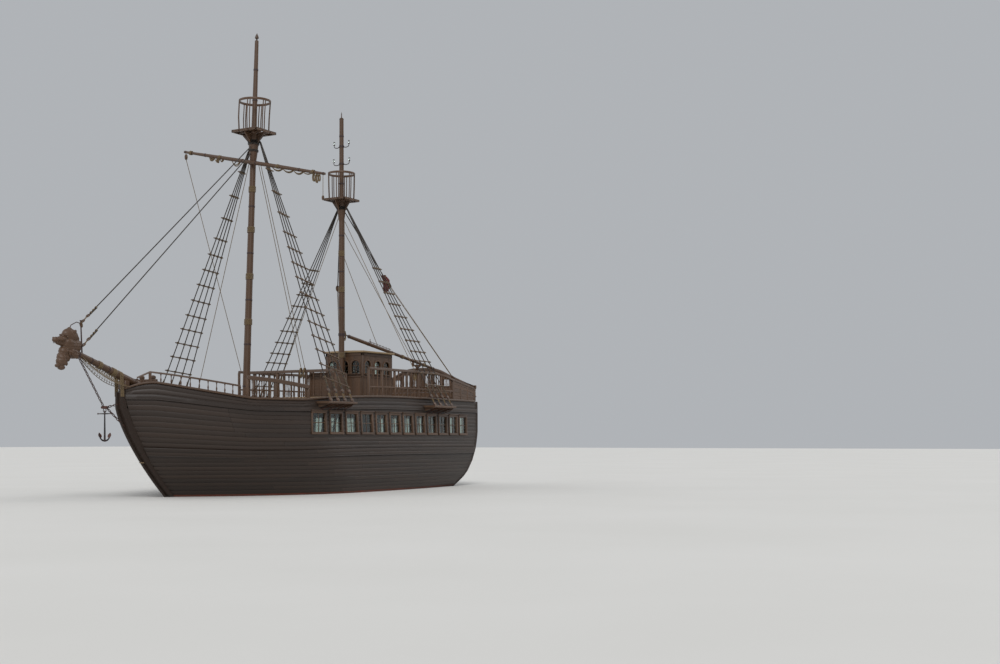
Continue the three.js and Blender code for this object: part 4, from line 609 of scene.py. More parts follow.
    def beam(self, a, b, wide, high, up=UP, bevel=0.006, slot=0, extra=0.0):
        a, b = np.asarray(a, float), np.asarray(b, float)
        t = unit(b - a)
        up = (1, 0, 0) if abs(np.dot(t, unit(up))) > 0.99 else up
        side = unit(np.cross(up, t))
        self.block((a + b) / 2, (t, side, np.cross(t, side)),
                   (np.linalg.norm(b - a) + 2 * extra, wide, high), bevel, slot)

    def sweep(self, path, profile, up=UP, slot=0, loop=False):
        """A profile of points across and up, carried along a path."""
        p = np.asarray(path, float)
        t = unit(np.roll(p, -1, 0) - np.roll(p, 1, 0)) if loop else unit(np.gradient(p, axis=0))
        side = unit(np.cross(np.broadcast_to(up, t.shape), t))
        rise = np.cross(t, side)
        q = np.asarray(profile, float)
        rings = p[:, None] + q[None, :, 0, None] * side[:, None] + q[None, :, 1, None] * rise[:, None]
        run = lengths_along(p)
        n, m = rings.shape[:2]
        local = np.stack([
            np.broadcast_to(run[:, None], (n, m)), np.broadcast_to(q[:, 0], (n, m)),
            np.broadcast_to(q[:, 1], (n, m))], -1)
        self.loft(rings, local, slot, loop=loop)

    def plate(self, ring, push, slot=0):
        """A flat outline given thickness by the vector `push`."""
        ring = np.asarray(ring, float)
        push = np.asarray(push, float)
        mid = ring.mean(0)
        lengths = np.linalg.norm(np.roll(ring, -1, 0) - ring, axis=1)
        u = unit((np.roll(ring, -1, 0) - ring)[int(np.argmax(lengths))])
        v = unit(np.cross(push, u))
        flat = np.stack([(ring - mid) @ u, (ring - mid) @ v, np.zeros(len(ring))], -1)
        self.loft([ring - push / 2, ring + push / 2], [flat, flat + (0, 0, np.linalg.norm(push))], slot)

    def build(self, finishes, body, slot, replaces=(), bevel=0.0, sharp=38, subdivide=0):
        mesh = bpy.data.meshes.new(self.name)
        mesh.from_pydata(np.concatenate(self.co), [], self.faces)
        grain = mesh.attributes.new("grain", "FLOAT_VECTOR", "POINT")
        grain.data.foreach_set("vector", np.concatenate(self.grain).astype(np.float32).ravel())
        tint = mesh.attributes.new("tint", "FLOAT", "POINT")
        tint.data.foreach_set("value", np.concatenate(self.tint).astype(np.float32))
        mesh.polygons.foreach_set("material_index", np.array(self.slots, np.int32))
        work = bmesh.new()
        work.from_mesh(mesh)
        bmesh.ops.recalc_face_normals(work, faces=work.faces)
        work.to_mesh(mesh)
        work.free()
        mesh.shade_smooth()
        mesh.set_sharp_from_angle(angle=math.radians(sharp))
        for name in [finishes] if isinstance(finishes, str) else finishes:
            mesh.materials.append(finish(name))
        made = bpy.data.objects.new(self.name, mesh)
        bpy.context.scene.collection.objects.link(made)
        if bevel:
            edge = made.modifiers.new("eased edges", "BEVEL")
            edge.width, edge.segments, edge.limit_method = bevel, 2, "ANGLE"
            edge.angle_limit = math.radians(40)
        if subdivide:
            made.modifiers.new("fairing", "SUBSURF").render_levels = subdivide
            made.modifiers["fairing"].levels = subdivide
        if body:
            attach(made, body)
        if replaces:
            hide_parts(*([replaces] if isinstance(replaces, str) else replaces))
        return made


# The hull's form, as in the part's source, in metres

LINES = np.array([
    # height, half breadth amidships and at the stern, after end, bow's swell, entry, run
    (-1.60, 0.24, 0.15, 16.80, 1.30, 0.45, 0.30),
    (-1.30, 1.40, 0.17, 17.00, 1.15, 0.45, 0.30),
    (-0.90, 2.55, 0.40, 17.50, 1.05, 0.44, 0.34),
    (-0.45, 3.30, 1.50, 18.30, 1.00, 0.43, 0.38),
    (0.00, 3.60, 2.50, 18.70, 0.97, 0.42, 0.40),
    (0.60, 3.78, 2.87, 19.25, 0.95, 0.40, 0.42),
    (1.30, 3.85, 2.98, 19.68, 0.94, 0.38, 0.44),
    (1.75, 3.86, 3.01, 19.88, 0.93, 0.37, 0.44),
    (2.35, 3.84, 3.03, 20.00, 0.92, 0.36, 0.44),
    (3.25, 3.79, 3.03, 20.00, 0.92, 0.36, 0.44),
    (RAIL_TOP, 3.75, 3.02, 20.00, 0.92, 0.36, 0.44),
])
SHEER_LEVELS = (
    (1.30, 0), (1.48, 0.2), (1.73, 0.25), (2.35, 0.4), (3.24, 0.7), (3.38, 0.75), (FORE_DECK, 0.75),
    (RAIL_TOP, 1))
STERN_SHEER = 0.27
STEM_HALF, STEM_DEPTH = 0.14, 0.25


def row_at(z):
    return [np.interp(z, LINES[:, 0], LINES[:, i]) for i in range(1, 7)]


def stem_front(z):
    drop = np.clip((3.3 - np.asarray(z, float)) / 4.9, 0, 1)
    return 5.0 * (1 - (1 - drop ** 1.3) ** (1 / 1.3))


def half_breadth(z, share):
    mid, stern, _, swell, entry, run = row_at(z)
    t = np.clip(share / entry, 0, 1)
    back = np.maximum(0, (share - run) / (1 - run))
    return STEM_HALF + (mid - STEM_HALF) * (1 - (1 - t) ** 2) ** swell - (mid - stern) * back ** 2


def share_at(z, aft):
    start = stem_front(z) + STEM_DEPTH
    return np.clip((aft - start) / (row_at(z)[2] - start), 0, 1)


def side_at(z, aft):
    return half_breadth(z, share_at(z, aft))


def stern_sheer(aft):
    return STERN_SHEER * (1 - np.clip((13 - np.asarray(aft, float)) / 7, 0, 1) ** 2)


def sheer_at(aft):
    rise = 0.74 * np.clip(1 - np.asarray(aft, float) / 4, 0, 1) ** 1.2
    return np.minimum(0.53, rise) + stern_sheer(aft)


def sheer_share(v):
    return np.interp(v, [row[0] for row in SHEER_LEVELS], [row[1] for row in SHEER_LEVELS])


def lifted(v, aft):
    """The real height of a level: with the sheer, and with the rail's dip at the stem head."""
    dip = 0.43 * np.clip(1 - np.asarray(aft, float) / 0.9, 0, 1) ** 2
    above = np.clip((v - FORE_DECK) / (RAIL_TOP - FORE_DECK), 0, 1)
    return v + sheer_share(v) * sheer_at(aft) - dip * above


def hull_points(v, share):
    v, share = np.broadcast_arrays(np.asarray(v, float), np.asarray(share, float))
    start = stem_front(v) + STEM_DEPTH
    aft = start + (row_at(v)[2] - start) * share
    return np.stack([10 - aft, half_breadth(v, share), lifted(v, aft)], -1)


def hull_normals(v, share):
    e = 2e-3
    v, share = np.broadcast_arrays(np.asarray(v, float), np.asarray(share, float))
    up = hull_points(np.minimum(v + e, RAIL_TOP), share) - hull_points(np.maximum(v - e, KEEL_TOP), share)
    aft = hull_points(v, np.minimum(share + e, 1)) - hull_points(v, np.maximum(share - e, 0))
    n = unit(np.cross(up, aft))
    return n * np.where(n[..., 1:2] < 0, -1, 1)


def side_point(aft, z, out=0.0, side=1):
    """A point of the side at a real height, and the way out from there."""
    v = z
    for _ in range(4):
        v += z - float(lifted(v, aft))
    share = share_at(v, aft)
    n = hull_normals(v, share)
    turn = np.array([1, side, 1])
    return (hull_points(v, share) + n * out) * turn, n * turn


def ship(aft, y, z):
    return np.array([10 - aft, y, z])


def transom(v, y, out=0.0):
    """A point of the stern at a level."""
    return 10 - float(row_at(v)[2]) - out, y, v + float(sheer_share(v)) * STERN_SHEER


def cap_point(aft, side, z):
    inset = 0.08 if aft < BREAK else 0.265 - 0.185 * min(1, max(0, (aft - 16.25) / 0.65))
    return ship(aft, side * (float(side_at(RAIL_TOP, aft)) - inset), z)


def cap_top(aft):
    return float(lifted(RAIL_TOP, aft)) + CAP_THICK


def level_of(z):
    """The level that lies at height z along the windows, as a function of the distance aft."""
    def level(aft):
        v = z
        for _ in range(4):
            v = z - float(sheer_share(v)) * float(stern_sheer(aft))
        return v
    return level


def between(low, high, share):
    """A level that stays a share of the way from one to another, each a number or a function."""
    def level(aft):
        v0, v1 = (edge(aft) if callable(edge) else edge for edge in (low, high))
        return v0 + (v1 - v0) * share
    return level


# Hull


def plank(piece, low, high, a, b, skin, side, slot=0):
    """One plank of a strake between two levels, each a height or a function of the distance aft.
    Its ends are shares of the level's length, or distances aft of the stem head above 1."""
    gap = sizes().seam
    reach = [e if e > 1 else STEM_DEPTH + 19.75 * e for e in (a, b)]

    def rows(aft):
        v0, v1 = (edge(aft) if callable(edge) else edge for edge in (low, high))
        bevel = min(0.35 * (v1 - v0), gap + 0.012)
        return np.array([v0, v0 + gap * 0.3, v0 + bevel, v1 - bevel, v1 - gap * 0.3, v1])

    out = np.array([-0.03, skin - 0.012, skin, skin, skin - 0.012, -0.03])
    ends = [np.full(6, e) if e <= 1 else share_at(rows(e), e) for e in (a, b)]
    metres = float((ends[1] - ends[0]).mean()) * 19
    n = max(3, int(np.ceil(metres / 0.3)))
    k = np.linspace(0, 1, n) ** (2.2 if a == 0 else 1.0)
    shares = ends[0] + (ends[1] - ends[0] - (0 if b == 1 else 0.0003)) * k[:, None]
    v = np.array([rows(reach[0] + (reach[1] - reach[0]) * t) for t in k])
    points = hull_points(v, shares)
    normals = hull_normals(v, shares)
    rings = (points + normals * out[None, :, None]) * (1, side, 1)
    run = lengths_along(points[:, 2])
    girth = lengths_along(points[n // 2])
    local = np.stack([
        np.broadcast_to(run[:, None], shares.shape), np.broadcast_to(girth, shares.shape),
        np.broadcast_to(out, shares.shape)], -1)
    piece.loft(rings, local, slot)


def strakes(piece, levels, side, skin, offset=0, gaps=None, slot=0):
    """Strakes between levels, each of planks whose butts are shifted from strake to strake."""
    for i, (v0, v1) in enumerate(zip(levels[:-1], levels[1:])):
        k = i + offset
        lie = skin + 0.0015 * ((k * 5) % 3)
        if gaps:
            for a, b in gaps:
                plank(piece, v0, v1, a, b, lie, side, slot)
            continue
        cuts = [0.0]
        at = 0.14 + 0.3 * ((k * 0.382) % 1)
        while at < 0.93:
            cuts.append(at)
            at += 0.29
        cuts.append(1.0)
        for a, b in zip(cuts[:-1], cuts[1:]):
            plank(piece, v0, v1, a, b, lie, side, slot)


def girth_levels(v0, v1, width):
    """Levels of strakes of even width, measured round the frame amidships."""
    fine = np.linspace(v0, v1, 400)
    p = hull_points(fine, np.full(400, 0.45))
    run = lengths_along(p)
    n = max(1, round(run[-1] / width))
    return np.interp(np.linspace(0, run[-1], n + 1), run, fine)


# Saloon windows: distance aft of each one's middle, half width, and heights of foot and head.
WINDOW_MIDDLES = [18.4 - 1.05 * i for i in range(12)]
WINDOW = (0.35, 2.45, 3.19)
# The stern's windows, at the same heights: the middle of each and the half width.
STERN_WINDOWS = [(i - 3) * 0.75 for i in range(7)]
STERN_WINDOW_HALF = 0.25
# How far planks and wales stand out from the form.
SKIN = 0.014
WALE = 0.059


def build_bottom():
    width = sizes().strake
    piece = Piece("bottom_planking")
    for _, side in SIDES:
        strakes(piece, girth_levels(KEEL_TOP, BOOT_TOP, width), side, SKIN)
        strakes(piece, girth_levels(BOOT_TOP, SALOON_FLOOR, width), side, SKIN, 2, slot=1)
    # Flat of the bottom beside the keel, and the transom's planks under the saloon floor.
    edge = hull_points(np.full(40, KEEL_TOP), np.linspace(0, 1, 40))
    thick = np.array([0, 0, 0.1])
    piece.loft([[p, p * MIRROR, p * MIRROR + thick, p + thick] for p in edge])
    transom_planks(piece, list(np.linspace(KEEL_TOP, BOOT_TOP, 11)))
    transom_planks(piece, list(np.linspace(BOOT_TOP, SALOON_FLOOR, 8)), slot=1)
    # The body behind the planks closes the seams.
    core = []
    shares = np.linspace(0, 1, 60) ** 1.6
    for v in np.linspace(KEEL_TOP, SALOON_FLOOR - 0.01, 26):
        p = hull_points(np.full(60, v), shares) - hull_normals(np.full(60, v), shares) * 0.012
        core.append(np.vstack([p, (p * MIRROR)[::-1]]))
    piece.loft(core, slot=1)
    piece.build(["antifouling_paint", "tarred_pine"], "hull", "hull_bottom", "lower_hull")
    floor = Piece("saloon_floor_planks")
    lay_deck(floor, SALOON_FLOOR - 0.012, 1.1, 19.5, lambda a: float(side_at(SALOON_FLOOR, a)) - 0.06,
             thick=0.03)
    floor.build("scrubbed_pine", "hull", "decking")


def transom_planks(piece, levels, windows=(), slot=0):
    """Planks across the stern, cut at the windows."""
    wide = 4.0
    cuts = [-wide, *(y + half for y in windows for half in (-STERN_WINDOW_HALF, STERN_WINDOW_HALF)), wide]
    for v0, v1 in zip(levels[:-1], levels[1:]):
        section = ((v0, -0.03), (v0 + 0.001, 0.004), (v0 + 0.012, SKIN), (v1 - 0.012, SKIN),
                   (v1 - 0.001, 0.004), (v1, -0.03))
        for y0, y1 in zip(cuts[::2], cuts[1::2]):
            rows = []
            for v, out in section:
                half = float(half_breadth(v, 1.0)) + 0.012
                rows.append([transom(v, min(half, max(-half, y)), out) for y in np.linspace(y0, y1, 3)])
            rings = np.array(rows).transpose(1, 0, 2)
            piece.loft(rings, rings[..., [1, 2, 0]], slot)


def build_sides():
    # The strakes beside the windows end behind the boards of their casings.
    foot, head = level_of(WINDOW[1] - 0.05), level_of(WINDOW[2] + 0.045)
    for name, side in SIDES:
        piece = Piece(f"side_planking_{name}")
        strakes(piece, [SALOON_FLOOR, 1.49], side, SKIN)
        strakes(piece, [1.49, 1.615, 1.74], side, WALE, 3)
        strakes(piece, [1.74] + [between(1.74, foot, k / 4) for k in (1, 2, 3, 4)], side, SKIN, 5)
        half, middles = WINDOW[0], WINDOW_MIDDLES[::-1]
        gaps = [(0.0, 0.14), (0.14, middles[0] - half)]
        gaps += [(a + half, b - half) for a, b in zip(middles[:-1], middles[1:])]
        gaps.append((middles[-1] + half, 1.0))
        strakes(piece, [between(foot, head, k / 5) for k in range(6)], side, SKIN, 9, gaps)
        strakes(piece, [head, 3.25], side, SKIN, 13)
        strakes(piece, [3.25, 3.39], side, WALE, 14)
        strakes(piece, [3.39, 3.53, RAIL_TOP - 0.005], side, SKIN, 15)
        # Rounded nosing along each wale's edges.
        for v in (1.49, 1.74, 3.25, 3.39):
            shares = np.linspace(0, 1, 70) ** 1.6
            p = hull_points(np.full(70, v), shares) + hull_normals(np.full(70, v), shares) * 0.05
            piece.tube(p * (1, side, 1), 0.016, 6, slot=0, tint=0.3)
        piece.build("tarred_pine", "hull", "tarred")
    stern = Piece("stern_planking")
    low, high = foot(20), head(20)
    transom_planks(stern, [SALOON_FLOOR, 1.49, 1.615, *np.linspace(1.74, low, 5)])
    transom_planks(stern, list(np.linspace(low, high, 6)), STERN_WINDOWS)
    transom_planks(stern, [high, 3.25, 3.39, 3.53, RAIL_TOP])
    for v, thick in ((1.6, 0.12), (low - 0.02, 0.07), (3.3, 0.12), (3.65, 0.07)):
        half = float(half_breadth(v, 1.0)) + 0.03
        stern.sweep([transom(v, y, 0.03) for y in (-half, 0, half)], rounded(0.07, thick, 0.02))
    for _, side in SIDES:
        corner = [transom(v, side * (float(half_breadth(v, 1.0)) + 0.005), 0.005)
                  for v in np.linspace(-0.5, RAIL_TOP, 18)]
        stern.tube(corner, 0.055, 10)
    stern.build("tarred_pine", "hull", "tarred")


def build_stem():
    """Eased timbers over the stem and its knee of the head, with iron bolt heads on both sides."""
    piece = Piece("stem_timbers")
    fronts = [ship(float(stem_front(z)) - 0.02, 0, z) for z in np.linspace(-1.45, 3.3, 30)]
    fronts += [ship(-0.012, 0, z) for z in (3.6, 3.84)]
    piece.sweep(fronts, rounded(0.2, 0.05, 0.02), up=(0, 1, 0))
    for z in np.linspace(-0.9, 3.5, 8):
        for _, side in SIDES:
            p = ship(float(stem_front(z)) + 0.13, side * 0.142, z)
            piece.turned([(0.02, 0), (0.02, 0.006), (0.012, 0.012)], p, (0, side, 0), 10, slot=1)
    piece.build(["tarred_pine", "forged_iron"], "hull", "tarred")


def lay_deck(piece, z, aft0, aft1, half_at, holes=(), thick=0.022, length=4.6):
    """Fore-and-aft planks inside the deck's edge, with shifted butts and cut round the holes."""
    width = sizes().deck_plank
    samples = np.arange(aft0, aft1 + 1e-6, 0.04)
    reach = np.array([half_at(a) for a in samples])
    count = int(np.ceil(reach.max() / width))
    for i in range(-count, count + 1):
        y = i * width
        inside = samples[reach > abs(y) + width * 0.35]
        if len(inside) < 4:
            continue
        runs = [(inside[0], inside[-1])]
        for a0, a1, y0, y1 in holes:
            if y + width / 2 > y0 and y - width / 2 < y1:
                runs = [part for r in runs for part in ((r[0], min(r[1], a0)), (max(r[0], a1), r[1]))
                        if part[1] - part[0] > 0.05]
        for start, end in runs:
            first = aft0 + length * ((i * 0.382) % 1)
            butts = [c for c in np.arange(first, end, length) if start + 0.5 < c < end - 0.5]
            cuts = [start, *butts, end]
            for a, b in zip(cuts[:-1], cuts[1:]):
                piece.box(ship(a + 0.002, y - width / 2 + 0.003, z),
                          ship(b - 0.002, y + width / 2 - 0.003, z + thick), bevel=0.004)


def edge_board(piece, z, aft0, aft1, half_at, wide=0.24, thick=0.03):
    """The covering board that closes the deck's edge on both sides."""
    for _, side in SIDES:
        path = [ship(a, side * (half_at(a) - wide / 2), z + thick / 2) for a in np.linspace(aft0, aft1, 46)]
        piece.sweep(path, rounded(wide, thick, 0.008))


def build_decks():
    fore = Piece("fore_deck_planks")
    inner = lambda a: float(side_at(3.4, a)) - 0.11
    lay_deck(fore, FORE_DECK, 0.95, 10.42, inner, [(6.75, 7.2, -0.2, 0.2)])
    edge_board(fore, FORE_DECK, 1.2, 10.43, inner)
    fore.build("scrubbed_pine", "hull", "decking")
    aft = Piece("quarter_deck_planks")
    outer = lambda a: float(side_at(RAIL_TOP, a)) - 0.2
    # Mast, companion hood and wheelhouse.
    holes = [(13.28, 13.58, -0.15, 0.15), (10.76, 11.96, 0.3, 1.36), (13.64, 15.88, -1.0, 1.0)]
    lay_deck(aft, QUARTER_DECK, 10.46, 19.8, outer, holes)
    edge_board(aft, QUARTER_DECK, 10.46, 19.8, outer, 0.2)
    nosing = [ship(10.44, y, 3.93) for y in np.linspace(-3.45, 3.45, 5)]
    aft.sweep(nosing, rounded(0.09, 0.06, 0.025))
    aft.build("scrubbed_pine", "hull", "decking")
    # Timberheads inside the bulwark.
    heads = Piece("bulwark_timberheads")
    for _, side in SIDES:
        for a in np.arange(1.35, 10.4, 0.62):
            y = float(side_at(3.6, a)) - 0.17
            top = cap_top(a) - CAP_THICK - 0.01
            heads.box(ship(a - 0.055, side * (y - 0.06), FORE_DECK),
                      ship(a + 0.055, side * (y + 0.06), top), 0.012)
    heads.build("tarred_pine", "hull", "tarred")


def build_caps():
    for name, side in SIDES:
        piece = Piece(f"cap_rail_oak_{name}")
        shares = np.linspace(0, 1, 120) ** 1.7
        shares = shares[shares <= float(share_at(RAIL_TOP, 19.84))]
        p = hull_points(np.full(len(shares), RAIL_TOP), shares)
        n = hull_normals(np.full(len(shares), RAIL_TOP), shares)
        n = unit(n * (1, 1, 0))
        outer, inner = p + n * 0.085, p - n * 0.2
        inner[:, 1] = np.maximum(inner[:, 1], 0.002)
        # Both edges start on the centreline, where the caps of the two sides meet.
        outer = np.vstack([(outer[0] + (0.004, 0, 0)) * (1, 0, 1), outer])
        inner = np.vstack([inner[0] * (1, 0, 1), inner])
        section = [(0, -0.015), (0, 0.05), (0.05, CAP_THICK), (0.9, CAP_THICK), (0.97, 0.055), (1, 0.03),
                   (0.97, 0.0), (0.9, -0.015)]
        rings = np.array([
            inner + (outer - inner) * t + (0, 0, h) for t, h in section]).transpose(1, 0, 2) * (1, side, 1)
        run = lengths_along(outer)
        shape = rings.shape[:2]
        local = np.stack([np.broadcast_to(run[:, None], shape),
                          np.broadcast_to([0.28 * t for t, _ in section], shape),
                          np.broadcast_to([h for _, h in section], shape)], -1)
        piece.loft(rings, local)
        piece.build("oiled_oak", "hull", "oak", f"cap_rail_{name}")


# Windows


def casing(piece, corners, out, widths):
    """A window's frame round four corners (top left, top right, bottom right, bottom left), with
    its lining, drip board, glazing bars and pane. `out` points away from the wall."""
    depth = 0.17
    tl, tr, br, bl = (np.asarray(c, float) for c in corners)
    out = unit(out)
    board, thick, bar = widths
    for a, b, more in ((tl, tr, 0.0), (tr, br, 0.0), (br, bl, 0.025), (bl, tl, 0.0)):
        away = unit((a + b) / 2 - (tl + br) / 2)
        shift = away * board / 2
        long = board if more or a is tl else 0.0
        lie = shift + out * (thick / 2 + more / 2)
        piece.beam(a + lie, b + lie, thick + more, board, up=away, bevel=0.008, extra=long)
        lie = away * 0.004 - out * (depth / 2 - 0.005)
        piece.beam(a + lie, b + lie, depth, 0.026, up=away, bevel=0.003)
    up = unit(tl - bl)
    lie = up * (board + 0.015) + out * 0.04
    piece.beam(tl + lie, tr + lie, 0.08, 0.03, up=up, bevel=0.008, extra=board + 0.03)
    plane = -out * 0.045
    for a, b, c, d in ((tl, tr, bl, br), (bl, tl, br, tr)):
        piece.beam((a + b) / 2 + plane, (c + d) / 2 + plane, 0.035, bar, up=unit(b - a), bevel=0.005)
    pane = [c + plane for c in (tl, tr, br, bl)]
    piece.plate(pane, out * 0.008, slot=1)


def build_windows():
    bar = sizes().muntin
    for name, side in SIDES:
        piece = Piece(f"saloon_windows_{name}")
        half, foot, head = WINDOW
        for a in WINDOW_MIDDLES:
            _, out = side_point(a, (foot + head) / 2, 0, side)
            corners = [side_point(a + da, z, SKIN, side)[0]
                       for da, z in ((-half, head), (half, head), (half, foot), (-half, foot))]
            casing(piece, corners, out, (0.09, 0.03, bar))
        piece.build(["oiled_oak", "window_glass"], "hull", "oak")
    piece = Piece("stern_windows")
    half, (_, foot, head) = STERN_WINDOW_HALF, WINDOW
    for y in STERN_WINDOWS:
        x = -10 - SKIN
        corners = [(x, y + dy, z) for dy, z in ((half, head), (-half, head), (-half, foot), (half, foot))]
        casing(piece, corners, (-1, 0, 0), (0.075, 0.028, bar))
    column = [(0.03, 0), (0.045, 0.05), (0.028, 0.11), (0.032, 0.5), (0.028, 0.62), (0.045, 0.7),
              (0.03, 0.76)]
    for y in [(i - 3.5) * 0.75 for i in range(8)]:
        piece.turned(column, (-10.045, y, 2.44), UP, 10)
    piece.build(["oiled_oak", "window_glass"], "hull", "oak")


# Rails


# The moulded section of a hand rail, one wide and one high.
HAND_RAIL = [
    (-0.5, -0.5), (-0.5, 0.1), (-0.36, 0.42), (0, 0.5), (0.36, 0.42), (0.5, 0.1), (0.5, -0.5),
    (0.3, -0.5), (0.26, -0.35), (-0.26, -0.35), (-0.3, -0.5)]
# A turned post from foot to head: rows of radius and height, both as shares.
BALUSTER = [
    (0.75, 0), (0.95, 0.03), (0.95, 0.1), (0.55, 0.13), (0.7, 0.17), (1.0, 0.3), (0.85, 0.42),
    (0.5, 0.55), (0.45, 0.7), (0.6, 0.8), (0.75, 0.84), (0.5, 0.88), (0.9, 0.92), (0.9, 1.0)]


def moulded(wide, high, drop=0.0):
    """The hand rail's section at its real size."""
    return [(x * wide, y * high - drop) for x, y in HAND_RAIL]


def baluster(piece, foot, head, wide, sides=10):
    """A turned post between two points."""
    foot, head = np.asarray(foot, float), np.asarray(head, float)
    high = float(np.linalg.norm(head - foot))
    r = wide / 2
    piece.turned([(r * a, high * h) for a, h in BALUSTER], foot, head - foot, sides)


def spread(run, step):
    points = []
    for (a0, z0), (a1, z1) in zip(run[:-1], run[1:]):
        n = max(1, round((a1 - a0) / step))
        points += [(a0 + (a1 - a0) * k / n, z0 + (z1 - z0) * k / n) for k in range(n)]
    return points + [run[-1]]


def railing(piece, run, side, wide, high, pitch, turned, posts=(), lower=()):
    """A hand rail along the cap rail, from rows of distance aft and height of its top, on turned
    balusters. A post is its width and its distance aft."""
    fine = spread(run, 0.25)
    path = np.array([cap_point(a, side, z - high / 2) for a, z in fine])
    piece.sweep(path, moulded(wide, high))
    for rise in lower:
        piece.sweep([cap_point(a, side, cap_top(a) + rise) for a, _ in fine],
                    rounded(wide * 0.7, high * 0.6, 0.015))

    def ends(a, z):
        foot = cap_point(a, side, cap_top(a) - 0.01 if a < BREAK else QUARTER_DECK)
        return foot, cap_point(a, side, z - high * 0.9)

    for width, a in posts:
        foot, head = ends(a, np.interp(a, *np.transpose(run)))
        half = width / 2
        piece.box(foot - (half, half, 0), head + (half, half, 0), 0.01)
        piece.box(foot - (half * 1.4, half * 1.4, 0), foot + (half * 1.4, half * 1.4, 0.05), 0.01)
    for a, z in spread(run, pitch):
        if all(abs(a - post) > width for width, post in posts):
            baluster(piece, *ends(a, z), turned)


# Hand rails: rows of distance aft and height of the top.
BOW_RAIL = [(0.53, 4.42), (0.85, 4.64), (1.4, 4.553), (3.52, 4.185)]
WAIST_RAIL = [(3.76, 4.555), (4.84, 4.465), (6.4, 4.275)]
QUARTER_RAIL = [(10.62, 5.17), (14.9, 5.185), (16.25, 5.18), (16.9, 5.075), (17.6, 4.94)]
QUARTER_POSTS = [10.62, 11.6, 12.6, 13.6, 14.6, 15.6, 16.55, 17.55]


def quarter_panel(piece, side):
    """The boarded panel between the quarter rail and the taffrail."""
    front, high = QUARTER_RAIL[-1]
    fine = np.linspace(front, 19.85, 24)

    def top_at(a):
        return high - 0.31 * (a - front) / 2.25

    tops = [top_at(a) for a in fine]
    feet = [cap_top(a) - 0.02 for a in fine]
    for k in range(5):
        rings = []
        for a, top, foot in zip(fine, tops, feet):
            z0 = foot + (top - 0.06 - foot) * k / 5 + 0.003
            z1 = foot + (top - 0.06 - foot) * (k + 1) / 5 - 0.003
            p = cap_point(a, side, 0)
            rings.append([p + (0, side * y, z) for y, z in (
                (0.028, z0), (0.035, z0 + 0.008), (0.035, z1 - 0.008), (0.028, z1),
                (-0.028, z1), (-0.035, z1 - 0.008), (-0.035, z0 + 0.008), (-0.028, z0))])
        piece.loft(rings)
    path = [cap_point(a, side, top - 0.045) for a, top in zip(fine, tops)]
    piece.sweep(path, moulded(0.11, 0.09))
    for a in (front, 18.35, 19.1, 19.8):
        foot = cap_point(a, side, cap_top(a) - 0.02)
        piece.box(foot - (0.045, 0.05, 0), (foot[0] + 0.045, foot[1] + 0.05, top_at(a) - 0.02), 0.01)


def build_rails():
    for name, side in SIDES:
        bow = Piece(f"bow_rail_oak_{name}")
        railing(bow, BOW_RAIL, side, 0.075, 0.065, 0.27, 0.06, [(0.085, 0.85)])
        bow.build("oiled_oak", "hull", "oak", f"bow_rail_{name}")
        waist = Piece(f"waist_rail_oak_{name}")
        railing(waist, WAIST_RAIL, side, 0.115, 0.15, 0.175, 0.052, [(0.09, a) for a, _ in WAIST_RAIL])
        waist.build("oiled_oak", "hull", "oak", f"waist_rail_{name}")
        quarter = Piece(f"quarter_rail_oak_{name}")
        posts = [(0.09, a) for a in QUARTER_POSTS]
        railing(quarter, QUARTER_RAIL, side, 0.115, 0.11, 0.325, 0.075, posts, [0.36])
        quarter_panel(quarter, side)
        quarter.build("oiled_oak", "hull", "oak", f"quarter_rail_{name}")
    cross = Piece("break_rail_oak")
    y0, y1, top, foot = -2.9, 1.88, 5.13, 3.97
    a = 10.56
    cross.sweep([ship(a, y, top - 0.06) for y in np.linspace(y0, y1, 4)], moulded(0.12, 0.12))
    cross.box(ship(a - 0.05, y0, QUARTER_DECK), ship(a + 0.05, y1, foot), 0.012)
    count = round((y1 - y0) / 0.4)
    for i in range(count + 1):
        y = y0 + 0.045 + (y1 - y0 - 0.09) * i / count
        if i % 4 == 0:
            cross.box(ship(a - 0.05, y - 0.05, QUARTER_DECK), ship(a + 0.05, y + 0.05, top - 0.1), 0.012)
        else:
            baluster(cross, ship(a, y, foot - 0.01), ship(a, y, top - 0.1), 0.056)
    cross.build("oiled_oak", "hull", "oak", "break_rail")
    steps = Piece("deck_steps_oak")
    for i in range(2):
        back, front = 10.44, 10.44 - (2 - i) * 0.23
        z = FORE_DECK + 0.165 * i
        steps.box(ship(front - 0.025, 1.93, z + 0.13), ship(back, 2.87, z + 0.166), 0.01)
        steps.box(ship(front, 1.95, z), ship(front + 0.03, 2.85, z + 0.13), 0.004)
        for y in (1.95, 2.82):
            steps.box(ship(front, y, z), ship(back, y + 0.03, z + 0.13), 0.004)
    steps.build("oiled_oak", "hull", "oak", "deck_steps")


